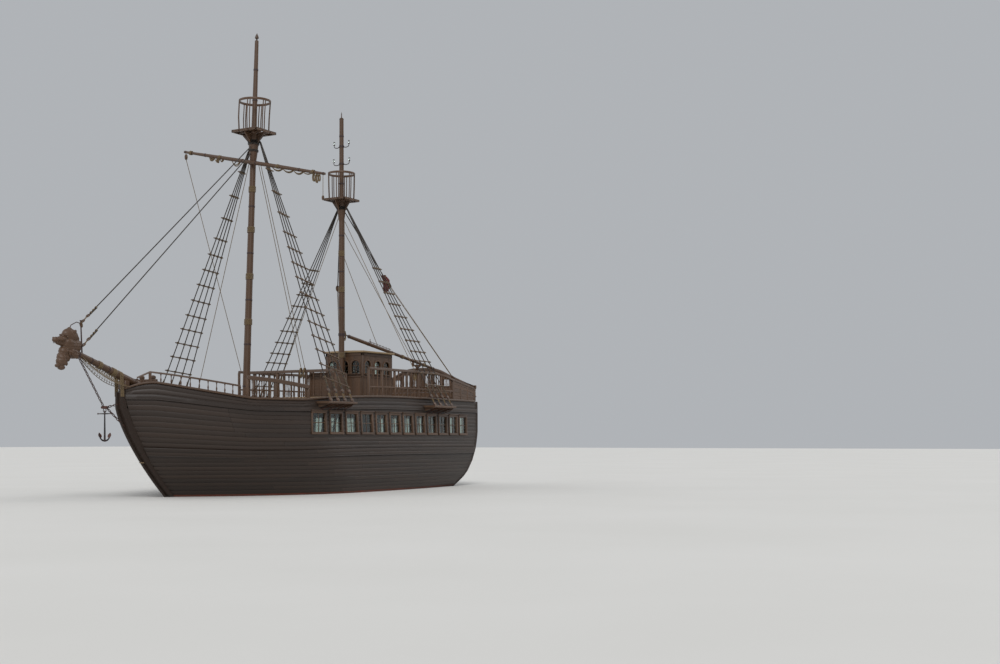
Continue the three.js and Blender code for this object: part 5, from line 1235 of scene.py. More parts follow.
def build_taffrail():
    """The arched stern board: a carved outline, balusters in six lights and a moulded cap."""
    piece = Piece("taffrail_oak")
    x0, x1 = 10 - 20.02, 10 - 19.85
    mid = (x0 + x1) / 2
    arch = [(-3.03, 4.62), (-1.67, 5.2), (-1.0, 5.5), (-0.45, 5.6), (0.45, 5.6), (1.0, 5.5), (1.67, 5.2),
            (3.03, 4.62)]
    top = lambda y: float(np.interp(y, [p[0] for p in arch], [p[1] for p in arch]))
    lights = [(-1.62, -1.23), (-1.08, -0.69), (-0.54, -0.15), (0.15, 0.54), (0.69, 1.08), (1.23, 1.62)]
    heads = {0: 5.04, 1: 5.27, 2: 5.4, 3: 5.4, 4: 5.27, 5: 5.04}
    # Sill board below the lights, then the posts and heads between and over them.
    for z0, z1 in ((3.97, 4.2), (4.206, 4.43), (4.436, 4.69)):
        piece.box((mid - 0.06, -3.0, z0), (mid + 0.06, 3.0, z1), 0.008)
    for y0, y1 in ((-3.03, -1.62), (1.62, 3.03)):
        wing = [(y0, 4.69), (y1, 4.69), (y1, top(y1) - 0.03), (y0, top(y0) - 0.03)]
        piece.plate([(mid, y, z) for y, z in wing], (0.12, 0, 0))
    for i, (y0, y1) in enumerate(lights):
        piece.plate([(mid, y, z) for y, z in (
            (y0, heads[i]), (y1, heads[i]), (y1, top(y1) - 0.03), (y0, top(y0) - 0.03))], (0.12, 0, 0))
        for k in range(4):
            y = y0 + 0.03 + (y1 - y0 - 0.06) * k / 3
            baluster(piece, (mid, y, 4.68), (mid, y, heads[i] + 0.01), 0.05)
    for y0, y1 in [(a[1], b[0]) for a, b in zip(lights[:-1], lights[1:])]:
        piece.box((mid - 0.06, y0, 4.69), (mid + 0.06, y1, min(top(y0), top(y1)) - 0.03), 0.012)
        middle = (y0 + y1) / 2
        for sign in (-1, 1):
            piece.turned([(0.045, 0), (0.045, 0.03), (0.03, 0.05), (0.034, 0.2), (0.028, 0.4),
                          (0.045, 0.44), (0.045, 0.47)], (mid + sign * 0.062, middle, 4.74), UP, 10)
    crest = smooth_line([(mid, y, z) for y, z in arch], 8)
    piece.sweep(crest, moulded(0.17, 0.1, 0.03))
    for z in (4.2, 4.7):
        piece.sweep([(mid, y, z) for y in (-3.02, 0, 3.02)], rounded(0.17, 0.05, 0.018))
    piece.build("oiled_oak", "hull", "oak", "taffrail", bevel=0.004)


# Masts and nests


# Distances aft of the masts' feet on the saloon floor, and the fore mast's rake.
FORE_STEP = 6.87
FORE_RAKE = 0.0463
MIZZEN_STEP = 13.43


def fore_at(z, forward=0.0, y=0.0):
    return ship(FORE_STEP + FORE_RAKE * (z - SALOON_FLOOR) - forward, y, z)


def mizzen_at(z, forward=0.0, y=0.0):
    return ship(MIZZEN_STEP - forward, y, z)


def mast_body(piece, where, rows, sides):
    """A spar with eased changes of radius. Rows of radius and height."""
    radii, heights = [], []
    for (r0, z0), (r1, z1) in zip(rows[:-1], rows[1:]):
        n = max(2, int((z1 - z0) / 0.5))
        for k in range(n):
            heights.append(z0 + (z1 - z0) * k / n)
            radii.append(r0 + (r1 - r0) * k / n)
    radii.append(rows[-1][0])
    heights.append(rows[-1][1])
    piece.tube([where(z) for z in heights], radii, sides)


def hoop(piece, where, z, r, high=0.07, slot=1):
    up = unit(where(z + 1) - where(z))
    piece.turned([(r - 0.02, 0), (r + 0.008, 0.003), (r + 0.01, high / 2), (r + 0.008, high - 0.003),
                  (r - 0.02, high)], where(z - high / 2), up, 28, slot)


def wound(piece, centre, axis, start, reach, turns, rope, steps, slot):
    """Turns of rope laid side by side round an axis, as one coil."""
    t = np.linspace(0, turns, turns * steps + 1)
    other = np.cross(axis, start)
    circles = np.outer(np.cos(2 * np.pi * t), start) + np.outer(np.sin(2 * np.pi * t), other)
    path = np.asarray(centre, float) + np.outer((t - turns / 2) * rope * 2, axis) + reach * circles
    piece.tube(path, rope, 6, slot=slot)


def woolding(piece, where, z, r, turns=7, rope=0.017):
    """Turns of rope hauled tight round a mast."""
    up = unit(where(z + 1) - where(z))
    start = unit(np.cross(up, (0, 1, 0)))
    wound(piece, where(z), up, start, r + rope * 0.8, turns, rope, 20, 2)


def mast_coat(piece, where, z, r):
    up = unit(where(z + 1) - where(z))
    piece.turned([(r + 0.11, 0), (r + 0.1, 0.02), (r + 0.05, 0.09), (r + 0.012, 0.2), (r + 0.01, 0.26),
                  (r - 0.02, 0.26)], where(z), up, 24, slot=3)
    for away in oval((0, 0, 0), (1, 0, 0), (0, 1, 0), 10):
        base = where(z) + away * (r + 0.03)
        piece.beam(base, base + up * 0.15 - away * 0.01, 0.06, 0.035, up=away, bevel=0.005)


MAST_FINISHES = ["oiled_spruce", "forged_iron", "laid_manila", "flax_canvas"]


def build_masts():
    sides = sizes().mast_sides
    fore = Piece("fore_mast_spar")
    mast_body(fore, fore_at, [(0.142, 1.31), (0.142, 5.0), (0.118, 13.42)], sides)
    mast_body(fore, fore_at, [
        (0.12, 13.4), (0.16, 13.7), (0.2, 14.15), (0.205, 14.3), (0.205, 14.56), (0.12, 14.6)], sides)
    mast_body(fore, fore_at, [(0.11, 14.5), (0.076, 18.4)], sides)
    fore.turned([(0.03, 18.38), (0.034, 18.48), (0.075, 18.5), (0.08, 18.54), (0.06, 18.6), (0.03, 18.66),
                 (0.0, 18.72)], fore_at(0.0), UP, 24, lean=FORE_RAKE)
    for z, r in ((4.3, 0.142), (6.0, 0.139), (7.8, 0.134), (9.7, 0.129), (11.6, 0.124), (15.95, 0.1),
                 (17.2, 0.09)):
        hoop(fore, fore_at, z, r)
    for z, r in ((6.9, 0.137), (8.75, 0.132), (10.65, 0.127), (12.3, 0.122)):
        woolding(fore, fore_at, z, r)
    mast_coat(fore, fore_at, FORE_DECK + 0.02, 0.142)
    up = unit(fore_at(14) - fore_at(13))
    fore.turned([(0.1, -0.08), (0.128, -0.078), (0.128, 0.078), (0.1, 0.08)], fore_at(YARD_MIDDLE[2]),
                up, 48, slot=1)
    fore.build(MAST_FINISHES, "hull", "spar", "fore_mast")

    mizzen = Piece("mizzen_mast_spar")
    mast_body(mizzen, mizzen_at, [(0.13, 1.31), (0.13, 4.2), (0.113, 11.85)], sides)
    mast_body(mizzen, mizzen_at, [
        (0.115, 11.83), (0.15, 12.05), (0.188, 12.4), (0.19, 12.48), (0.19, 12.7), (0.11, 12.74)], sides)
    mast_body(mizzen, mizzen_at, [(0.107, 12.6), (0.092, 16.34)], sides)
    mizzen.turned([(0.03, 16.3), (0.09, 16.32), (0.1, 16.36), (0.08, 16.4), (0.024, 16.43), (0.018, 16.6),
                   (0.0, 16.69)], mizzen_at(0.0), UP, 24)
    for z, r in ((4.9, 0.13), (8.0, 0.122), (9.6, 0.118), (11.2, 0.115), (13.5, 0.106), (15.6, 0.096)):
        hoop(mizzen, mizzen_at, z, r)
    for z, r in ((5.9, 0.127), (8.8, 0.12), (10.4, 0.117)):
        woolding(mizzen, mizzen_at, z, r)
    mast_coat(mizzen, mizzen_at, QUARTER_DECK + 0.02, 0.13)
    # Gooseneck: a band with two lugs and the boom's pin.
    hoop(mizzen, mizzen_at, GOOSENECK[2], 0.134, 0.13)
    for z in (-0.038, 0.038):
        mizzen.box(GOOSENECK + (-0.045, -0.045, z - 0.0075), GOOSENECK + (0.18, 0.045, z + 0.0075), 0.003,
                   slot=1)
    mizzen.turned([(0.018, -0.05), (0.018, 0.05), (0.026, 0.052), (0.026, 0.064), (0.0, 0.068)],
                  GOOSENECK, UP, 16, slot=1)
    mizzen.build(MAST_FINISHES, "hull", "spar", "mizzen_mast")


def build_nest(name, where, seat, thick, half, ring_z, ring_r, hole, mast_r):
    """A lookout's nest: a boarded square platform on knees, pairs of posts and a stout hoop."""
    piece = Piece(name)
    c = where(seat)
    hx, hy, la, lc = hole
    n = 9
    step = 2 * half / n
    for i in range(n):
        y = -half + step * (i + 0.5)
        runs = [(-half, half)]
        for x0, x1, y0, y1 in ((-mast_r, mast_r, -mast_r, mast_r),
                               (hx - la / 2, hx + la / 2, hy - lc / 2, hy + lc / 2)):
            if y + step / 2 > y0 + 0.01 and y - step / 2 < y1 - 0.01:
                runs = [(a, b) for left, right in runs
                        for a, b in ((left, min(right, x0)), (max(left, x1), right)) if b - a > 0.03]
        for x0, x1 in runs:
            piece.box(c + (x0, y - step / 2 + 0.003, thick - 0.035), c + (x1, y + step / 2 - 0.003, thick),
                      0.006)
    # Bearers under the boards: at the platform's edges, and close beside the mast.
    under, far, near = thick - 0.03, mast_r + 0.07, mast_r + 0.005
    for sign in (-1, 1):
        piece.box(c + (sign * half, -half, 0), c + (sign * (half - 0.06), half, under), 0.01)
        piece.box(c + (-half, sign * half, 0), c + (half, sign * (half - 0.06), under), 0.01)
        piece.box(c + (-half, sign * far, 0), c + (half, sign * near, under), 0.008)
        piece.box(c + (sign * far, -half, 0), c + (sign * near, half, under), 0.008)
    top = where(ring_z)
    reach = ring_r - 0.022
    loop = oval(where(ring_z + 0.005), (reach, 0, 0), (0, reach, 0), 48)
    piece.sweep(loop, rounded(0.044, 0.095, 0.015), loop=True)
    for i in range(6):
        for shift in (-0.085, 0.085):
            turn = 2 * math.pi * (i + 0.3) / 6 + shift
            away = np.array([math.cos(turn), math.sin(turn), 0])
            low = min(half / max(abs(away[0]), abs(away[1])) - 0.03, ring_r - 0.05)
            piece.tube([c + away * low + (0, 0, thick - 0.02),
                        c * (1, 1, 0) + away * (ring_r - 0.03) + (0, 0, ring_z * 0.5 + seat * 0.5),
                        top + away * reach + (0, 0, 0.02)], 0.022, 8)
    # Knees from the mast to the platform's edge.
    for dx, dy in ((1, 0), (-1, 0), (0, 1), (0, -1)):
        out = np.array([dx, dy, 0.0])
        low = where(seat - 0.42) + out * (mast_r + 0.01)
        ring = [low, low + (0, 0, 0.42), low + out * (half - mast_r - 0.09) + (0, 0, 0.42),
                low + out * (half - mast_r - 0.12) + (0, 0, 0.36), low + out * 0.1 + (0, 0, 0.14)]
        piece.plate(ring, np.cross(out, UP) * 0.06)
    return piece


def build_nests():
    fore = build_nest("fore_nest_spars", fore_at, 14.58, 0.11, 0.64, 15.9, 0.65,
                      (-0.06, 0.33, 0.36, 0.3), 0.2)
    fore.build("oiled_spruce", "hull", "spar", "fore_nest", bevel=0.004)
    mizzen = build_nest("mizzen_nest_spars", mizzen_at, 12.72, 0.1, 0.57, 13.93, 0.6,
                        (-0.06, 0.31, 0.32, 0.26), 0.185)
    mizzen.build("oiled_spruce", "hull", "spar", "mizzen_nest", bevel=0.004)
    for name, z, half, rise in (("upper", 15.15, 0.42, 0.17), ("lower", 14.38, 0.44, 0.18)):
        piece = Piece(f"lamp_arms_{name}")
        hoop(piece, mizzen_at, z, 0.102, 0.09, slot=0)
        for sign in (-1, 1):
            curve = smooth_line([mizzen_at(z, y=sign * 0.1), mizzen_at(z - 0.05, y=sign * half * 0.5),
                                 mizzen_at(z - 0.02, y=sign * (half - 0.05)),
                                 mizzen_at(z + rise * 0.5, y=sign * (half - 0.012))], 8)
            piece.tube(curve, np.linspace(0.02, 0.015, len(curve)), 8)
            foot = mizzen_at(z + rise * 0.45, y=sign * (half - 0.018))
            # The lamp's foot, glass and cap.
            for slot, rows in enumerate((
                    [(0.014, 0), (0.042, 0.015), (0.046, 0.03), (0.03, 0.04), (0.028, 0.05)],
                    [(0.026, 0.045), (0.036, 0.07), (0.038, 0.11), (0.03, 0.135)],
                    [(0.034, 0.13), (0.046, 0.138), (0.03, 0.158), (0.008, 0.17), (0.0, 0.176)])):
                piece.turned(rows, foot, UP, 16, slot=slot % 2)
        piece.build(["forged_iron", "window_glass"], "hull", "iron", f"lamp_bracket_{name}")


# Spars, bowsprit and figurehead


def spruce_spar(piece, a, b, radii, sides=24):
    a, b = np.asarray(a, float), np.asarray(b, float)
    n = len(radii)
    points = [a + (b - a) * k / (n - 1) for k in range(n)]
    piece.tube(points, radii, sides)


def band(piece, at_point, along, r, wide=0.05, slot=1):
    foot = np.asarray(at_point, float) - unit(along) * wide / 2
    piece.turned([(r - 0.015, 0), (r + 0.007, 0.003), (r + 0.009, wide / 2), (r + 0.007, wide - 0.003),
                  (r - 0.015, wide)], foot, along, 24, slot)


def lashing(piece, at_point, along, r, turns=4, rope=0.012, slot=2):
    axis = unit(along)
    start = unit(np.cross(axis, (0.3, 0.1, 1) if abs(axis[2]) < 0.9 else (1, 0, 0)))
    wound(piece, at_point, axis, start, r + rope * 0.7, turns, rope, 16, slot)


def sagging(a, b, drop, n=12):
    t = np.linspace(0, 1, n + 1)[:, None]
    return a * (1 - t) + b * t - np.array(UP) * 4 * drop * t * (1 - t)


def pulley(piece, at_point, along, size=0.13, slot=0, rope_slot=2):
    """A wooden block: a shell with rounded cheeks, its sheave and pin, and the rope strop."""
    w = unit(along)
    u = unit(np.cross(w, (0, 1, 0.2)))
    v = np.cross(w, u)
    middle = np.asarray(at_point, float)
    for sign in (-1, 1):
        rings = []
        for half, share in ((0.30, 0.05), (0.42, 0.35), (0.46, 0.5), (0.42, 0.65), (0.30, 0.95)):
            c = middle + w * size * (share - 0.5) * 1.5 + u * sign * size * 0.2
            rings.append(oval(c, v * half * size, u * size * 0.13, 12))
        piece.loft(rings, slot=slot)
    piece.turned([(size * 0.42, -size * 0.09), (size * 0.36, -size * 0.03), (size * 0.36, size * 0.03),
                  (size * 0.42, size * 0.09)], middle, u, 14, slot=1)
    piece.turned([(size * 0.07, -size * 0.36), (size * 0.07, size * 0.36)], middle, u, 8, slot=1)
    piece.tube(oval(middle, w * size * 0.86, v * size * 0.5, 20), size * 0.07, 6, slot=rope_slot, loop=True)


# The yard's middle, how far it drops to port over a metre across, and its own length over that.
YARD_MIDDLE = np.array([2.7955, 0.0, 13.385])
YARD_DROP, YARD_SLANT = 0.2205, 1.024


def yard_tip(reach, side):
    return YARD_MIDDLE + (0, side * reach / YARD_SLANT, -side * reach * YARD_DROP / YARD_SLANT)


def build_yard():
    piece = Piece("yard_spar")
    radii = [0.048, 0.06, 0.069, 0.075, 0.078, 0.078, 0.078, 0.075, 0.069, 0.06, 0.048]
    spruce_spar(piece, yard_tip(3.57, -1), yard_tip(3.9, 1), radii)
    along = unit(yard_tip(3.9, 1) - YARD_MIDDLE)
    for reach, r in ((-3.5, 0.05), (-2.4, 0.066), (-0.35, 0.079), (0.35, 0.079), (2.6, 0.066),
                     (3.82, 0.05)):
        band(piece, YARD_MIDDLE + along * reach, along, r)
    for reach in (-3.2, -1.6, 1.5, 3.3):
        lashing(piece, YARD_MIDDLE + along * reach, along, 0.07, 5)
    # Parrel: ribs and rolling trucks on two ropes round the mast's band, hauled to the yard.
    centre = YARD_MIDDLE - (0.225, 0, 0)
    up = unit((-FORE_RAKE, 0, 1))
    ribs, reach = 14, 0.15
    for k in range(ribs):
        turn = 2 * math.pi * (k + 0.5) / ribs
        away = np.array([math.cos(turn), math.sin(turn), 0])
        rib = centre + away * reach
        piece.beam(rib - up * 0.062, rib + up * 0.062, 0.018, 0.036, up=away, bevel=0.006)
    for lift in (-0.035, 0.035):
        for away in oval((0, 0, 0), (1, 0, 0), (0, 1, 0), ribs):
            piece.turned([(0.004, -0.022), (0.015, -0.018), (0.021, 0), (0.015, 0.018), (0.004, 0.022)],
                         centre + away * reach + up * lift, np.cross(away, up), 8)
        piece.tube(oval(centre + up * lift, (reach, 0, 0), (0, reach, 0), 40), 0.007, 6, slot=2, loop=True)
    for y in (-0.045, 0.045):
        piece.beam((2.72, y, YARD_MIDDLE[2]), (2.79, y, YARD_MIDDLE[2]), 0.03, 0.09, slot=1)
    # Gaskets, hanks and brails made up under the yard.
    under = YARD_MIDDLE - (0, 0, 0.07)
    for a, b, drop in ((-2.2, -1.9, 0.12), (-1.9, -1.62, 0.15), (-1.62, -1.4, 0.1), (-0.95, -0.5, 0.19),
                       (1.2, 1.75, 0.12), (1.75, 2.3, 0.12), (2.3, 2.8, 0.12), (2.8, 3.2, 0.06)):
        for k in range(3):
            path = sagging(under + along * (a + 0.015 * k), under + along * (b - 0.015 * k),
                           drop * (1 - 0.18 * k))
            piece.tube(path + (0.02 * (k - 1), 0, 0), 0.014, 6, slot=2)
    for reach, drop in ((-2.05, 0.14), (-1.7, 0.17), (3.35, 0.3), (3.5, 0.34), (3.62, 0.26)):
        top = YARD_MIDDLE + along * reach
        for k in range(4):
            middle = top + (0.02 * (k - 1.5), 0, -0.06 - drop / 2)
            piece.tube(oval(middle, (0, 0, drop / 2), (0, 0.035 + 0.008 * k, 0), 18), 0.013, 6, slot=2,
                       loop=True)
    # Sling and lifts: blocks at the yardarms and the pendant at the port end.
    pulley(piece, yard_tip(3.48, -1) - (0, 0, 0.2), UP, 0.14)
    pulley(piece, yard_tip(3.8, 1) - (0, 0, 0.95), UP, 0.11)
    piece.tube([yard_tip(3.8, 1) - (0, 0, 0.05), yard_tip(3.8, 1) - (0, 0, 0.85)], 0.012, 6, slot=2)
    piece.build(MAST_FINISHES, "fore_yard", "spar", "yard")


# The boom's pin, how far it is swung to port at rest, and its drop over a level metre.
GOOSENECK = np.array([-3.68, 0, 6.81])
BOOM_TURN = math.radians(14.5)
BOOM_DROP = 0.24259


def boom_at(reach, lift=0.0):
    return GOOSENECK + (-math.cos(BOOM_TURN) * reach, math.sin(BOOM_TURN) * reach, lift - BOOM_DROP * reach)


def build_boom():
    piece = Piece("boom_spar")
    radii = [0.072, 0.08, 0.079, 0.076, 0.073, 0.069, 0.065, 0.062, 0.055]
    spruce_spar(piece, boom_at(0.19), boom_at(5.4), radii)
    along = unit(boom_at(5) - boom_at(1))
    piece.turned([(0.0195, -0.028), (0.042, -0.028), (0.045, -0.02), (0.045, 0.02), (0.042, 0.028),
                  (0.0195, 0.028)], GOOSENECK, UP, 20, slot=1)
    turn = np.array([-math.cos(BOOM_TURN), math.sin(BOOM_TURN), 0])
    piece.tube([GOOSENECK + turn * 0.035, GOOSENECK + turn * 0.09, boom_at(0.19), boom_at(0.4)],
               [0.022, 0.024, 0.03, 0.03], 10, slot=1)
    for reach, r in ((0.24, 0.076), (1.35, 0.079), (2.75, 0.074), (4.06, 0.067), (5.34, 0.06)):
        band(piece, boom_at(reach), along, r)
    lashing(piece, boom_at(3.4), along, 0.071, 6)
    lashing(piece, boom_at(4.75), along, 0.065, 5)
    # A row of belaying pins with a thin rail over them.
    for k in range(7):
        reach = 1.5 + 1.1 * k / 6
        piece.turned([(0.011, 0.05), (0.012, 0.12), (0.018, 0.13), (0.018, 0.15), (0.01, 0.16)],
                     boom_at(reach), UP, 8)
    piece.turned([(0.013, 0.05), (0.014, 0.2), (0.02, 0.22), (0.012, 0.25)], boom_at(1.46), UP, 8)
    piece.tube([boom_at(1.4, 0.128), boom_at(2.7, 0.128)], 0.013, 8)
    pulley(piece, boom_at(4.06, -0.16), UP, 0.13)
    piece.build(MAST_FINISHES, "mizzen_boom", "spar", "boom")

    crutch = Piece("boom_crutch_oak")
    foot = np.array([-7.8915, 1.0892, QUARTER_DECK])
    top = 5.654
    rows = [(0.098, 0.0), (0.098, 0.06), (0.082, 0.085), (0.062, 0.1), (0.062, top - 4.05),
            (0.075, top - 4.02)]
    section = rounded(2, 2, 0.35, 2)
    crutch.loft([[foot + (x * half, y * half, z) for x, y in section] for half, z in rows])
    head = [(-0.21, -0.03), (-0.21, 0), (0.21, 0), (0.21, -0.03), (0.1, -0.1), (0.06, -0.13),
            (-0.06, -0.13), (-0.1, -0.1)]
    crutch.plate([(foot[0], foot[1] + y, top + z) for y, z in head], (0.12, 0, 0))
    crutch.build("oiled_oak", "hull", "oak", "boom_crutch", bevel=0.008)


# How far the bowsprit rises over a level metre.
SPRIT_RISE = 0.347


def sprit_at(aft, lift=0.0):
    return np.array([10 - aft, 0, 4.33 + SPRIT_RISE * (0.44 - aft) + lift])


def sprit_radius(aft):
    return 0.165 - 0.075 * (1.56 - aft) / 3.81


def chain(piece, a, b, slot=0, link=0.16, wire=0.015):
    """Forged links between two points, each turned a quarter from the last."""
    a, b = np.asarray(a, float), np.asarray(b, float)
    long = np.linalg.norm(b - a)
    pitch = link - 2.2 * wire
    n = max(2, round(long / pitch))
    t = unit(b - a)
    u = unit(np.cross(t, (0, 1, 0) if abs(t[1]) < 0.9 else (1, 0, 0)))
    v = np.cross(t, u)
    side = 0.03
    straight = link / 2 - wire - side
    shape = [(straight + side * math.cos(x), side * math.sin(x))
             for x in np.linspace(-math.pi / 2, math.pi / 2, 7)]
    shape += [(-straight + side * math.cos(x), side * math.sin(x))
              for x in np.linspace(math.pi / 2, 3 * math.pi / 2, 7)]
    for k in range(n):
        c = a + (b - a) * (k + 0.5) / n
        w = u if k % 2 else v
        piece.tube([c + t * x + w * y for x, y in shape], wire, 6, slot=slot, loop=True)


def build_bowsprit():
    piece = Piece("bowsprit_spar")
    places = np.linspace(1.56, -2.2, 14)
    piece.tube([sprit_at(a) for a in places], [sprit_radius(a) for a in places], 32)
    piece.box((9.55, -0.13, 3.95), (9.775, 0.13, 4.3), 0.015)
    along = unit(sprit_at(-1) - sprit_at(0))
    for a in (1.3, 0.75, -0.5, -1.3, -1.86):
        band(piece, sprit_at(a), along, sprit_radius(a), 0.06)
    for a, turns in ((-0.25, 6), (-0.9, 5)):
        lashing(piece, sprit_at(a), along, sprit_radius(a), turns, 0.016)
    # Gammoning: rope from the sprit down round the stem head.
    for k in range(5):
        a = -0.02 + 0.035 * k
        r = sprit_radius(a) + 0.012
        for sign in (-1, 1):
            over = [sprit_at(a) + (0, sign * r * math.sin(t), r * math.cos(t))
                    for t in np.linspace(0, 2, 7)]
            piece.tube(over + [ship(a + 0.02, sign * 0.148, 3.85), ship(a + 0.02, sign * 0.148, 3.7)],
                       0.014, 6, slot=2)
    # Iron rod for the fore stays, its eye and the arm from the figurehead.
    low, top = sprit_at(-1.7), np.array([11.76, 0, 6.3])
    piece.tube([low, (low + top) / 2, top], [0.028, 0.026, 0.022], 12, slot=1)
    piece.turned([(0.028, -0.02), (0.04, -0.01), (0.04, 0.01), (0.028, 0.02)], top, UP, 16, slot=1)
    piece.tube([top - (0, 0, 0.1), (11.95, 0, 6.24), (12.2, 0, 6.12), (12.26, 0, 6.02)], 0.016, 8, slot=1)
    pulley(piece, top - (0.02, 0, 0.14), (0.3, 0, 1), 0.12)
    piece.build(MAST_FINISHES, "hull", "spar", "bowsprit")

    # A net laced under the bowsprit, from man-ropes to the sprit.
    net = Piece("bowsprit_net")
    spine = [sprit_at(a, -0.13) for a in np.linspace(0.05, -1.75, 17)]
    for _, side in SIDES:
        start, end = ship(0.32, side * 0.3, 4.06), sprit_at(-1.75, -0.05) + (0, side * 0.1, 0)
        edge = sagging(start, end, 0.22, 16)
        net.tube(edge, 0.012, 6)
        for k in range(1, 16):
            net.tube([spine[k], (spine[k] + edge[k]) / 2 - (0, 0, 0.04), edge[k]], 0.007, 5)
            if k < 15:
                net.tube([spine[k], (spine[k] + edge[k + 1]) / 2 - (0, 0, 0.03), edge[k + 1]], 0.006, 5)
        for share in (0.35, 0.68):
            net.tube([spine[k] + (edge[k] - spine[k]) * share - (0, 0, 0.035) for k in range(17)], 0.006, 5)
    net.build("laid_manila", "hull", "rope")


def carved(name, blobs, voxel, smooth):
    """Fuses blobs into one carved body: rows of centre, radii and lean about Y in degrees."""
    rough = Piece(name)
    for centre, radii, lean in blobs:
        c, s = math.cos(math.radians(lean)), math.sin(math.radians(lean))
        turn = np.array([[c, 0, -s], [0, 1, 0], [s, 0, c]])
        rings = []
        for a in np.linspace(0.06, math.pi - 0.06, 12):
            ring = oval((math.cos(a), 0, 0), (0, math.sin(a), 0), (0, 0, math.sin(a)), 18)
            rings.append(ring * radii @ turn.T + centre)
        rough.loft(rings)
    made = rough.build("oiled_oak", None, "oak")
    fuse = made.modifiers.new("fuse", "REMESH")
    fuse.mode, fuse.voxel_size = "VOXEL", voxel
    ease = made.modifiers.new("ease", "SMOOTH")
    ease.iterations, ease.factor = smooth, 0.5
    bpy.context.view_layer.update()
    final = bpy.data.meshes.new_from_object(made.evaluated_get(bpy.context.evaluated_depsgraph_get()))
    rough_mesh, made.data = made.data, final
    made.modifiers.clear()
    bpy.data.meshes.remove(rough_mesh)
    return made


def cut_scales(made):
    """Shallow carved scales on the neck, and grain coordinates for the carved wood."""
    mesh = made.data
    count = len(mesh.vertices)
    co, normal = np.zeros((count, 3)), np.zeros((count, 3))
    for key, values in (("co", co), ("normal", normal)):
        flat = np.zeros(count * 3)
        mesh.vertices.foreach_get(key, flat)
        values[:] = flat.reshape(-1, 3)
    u, v = co[:, 2] * 9.5, (co[:, 0] * 0.8 + np.sign(co[:, 1]) * co[:, 1] * 0.6) * 9.5
    row = np.floor(u)
    cell = np.hypot((v + 0.5 * (row % 2)) % 1 - 0.5, (u % 1) - 0.15)
    neck = np.clip((5.62 - co[:, 2]) / 0.12, 0, 1) * np.clip((np.abs(co[:, 1]) - 0.05) / 0.05, 0, 1)
    lift = 0.006 * np.clip(0.55 - cell, -0.2, 0.3) / 0.3 * neck
    mesh.vertices.foreach_set("co", (co + normal * lift[:, None]).ravel())
    for name, kind, key, values in (
            ("grain", "FLOAT_VECTOR", "vector", co[:, [2, 0, 1]]),
            ("tint", "FLOAT", "value", np.full(count, 0.6))):
        old = mesh.attributes.get(name)
        if old:
            mesh.attributes.remove(old)
        mesh.attributes.new(name, kind, "POINT").data.foreach_set(key, values.astype(np.float32).ravel())
    mesh.materials.clear()
    mesh.materials.append(finish("oiled_oak"))
    mesh.shade_smooth()


def build_figurehead():
    """A generic sea beast with a fin for a crest, carved from oak on the bowsprit's end."""
    def spot(a, z, y=0.0):
        return np.array([10 + a, y, z])

    # Rows of place, radii and lean: skull, snout, jaw, neck, breast and the fore foot below it.
    blobs = [
        (spot(2.25, 5.74), (0.34, 0.20, 0.26), 12), (spot(2.62, 5.60), (0.26, 0.15, 0.12), -6),
        (spot(2.86, 5.57), (0.16, 0.12, 0.10), -4), (spot(2.60, 5.46), (0.30, 0.13, 0.09), 4),
        (spot(2.30, 5.42), (0.38, 0.20, 0.28), 20), (spot(2.05, 5.42), (0.30, 0.17, 0.24), 50),
        (spot(2.20, 5.16), (0.32, 0.20, 0.20), 15), (spot(2.52, 5.2), (0.2, 0.17, 0.18), 0),
        (spot(2.62, 4.98), (0.18, 0.17, 0.20), 0), (spot(2.68, 4.80), (0.19, 0.15, 0.14), 60),
        (spot(2.64, 4.63), (0.14, 0.12, 0.09), 0), (spot(2.82, 4.68), (0.09, 0.09, 0.06), 20),
        (spot(2.46, 4.98), (0.18, 0.16, 0.14), 40),
    ]
    # The crest's fins, from the brow to the nape.
    for a, z, long, lean in ((2.27, 5.93, 0.13, 10), (2.1, 5.83, 0.15, -42), (1.96, 5.62, 0.16, -50),
                             (1.83, 5.46, 0.14, -70), (1.96, 5.26, 0.18, -130)):
        blobs.append((spot(a, z), (long, 0.045, 0.12), lean))
    for side in (-1, 1):
        blobs += [
            (spot(2.5, 5.74, side * 0.11), (0.14, 0.05, 0.05), 10),
            (spot(2.2, 5.86, side * 0.16), (0.13, 0.035, 0.07), -38),
            (spot(2.93, 5.64, side * 0.06), (0.05, 0.035, 0.03), 0),
            (spot(2.35, 5.5, side * 0.16), (0.17, 0.06, 0.11), 20),
            (spot(2.2, 5.1, side * 0.19), (0.2, 0.05, 0.12), 40),
            (spot(2.6, 4.86, side * 0.13), (0.2, 0.05, 0.09), 60),
        ]
    beast = carved("figurehead_carving", blobs, 0.016, 3)
    cut_scales(beast)
    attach(beast, "hull")
    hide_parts("figurehead")
    teeth = Piece("figurehead_details")
    for _, side in SIDES:
        for k in range(6):
            p = spot(2.62 + 0.055 * k, 5.53 - 0.006 * k, side * (0.145 - 0.009 * k))
            teeth.turned([(0.017, 0.02), (0.015, 0), (0.002, -0.06)], p, UP, 8)
        eye = spot(2.5, 5.69, side * 0.155)
        teeth.turned([(0.002, 0.028), (0.018, 0.024), (0.03, 0.01), (0.032, -0.01)], eye, (0, side, 0), 14)
        # Scrolls carved on the trail board below the neck.
        scroll = []
        for t in np.linspace(0, 9.5, 44):
            r = 0.13 * math.exp(-0.28 * t)
            scroll.append(spot(2.2 + r * math.cos(t), 5.12 + r * math.sin(t), side * 0.225))
        teeth.tube(scroll, np.linspace(0.024, 0.01, 44), 8)
    teeth.build("oiled_oak", "hull", "oak")


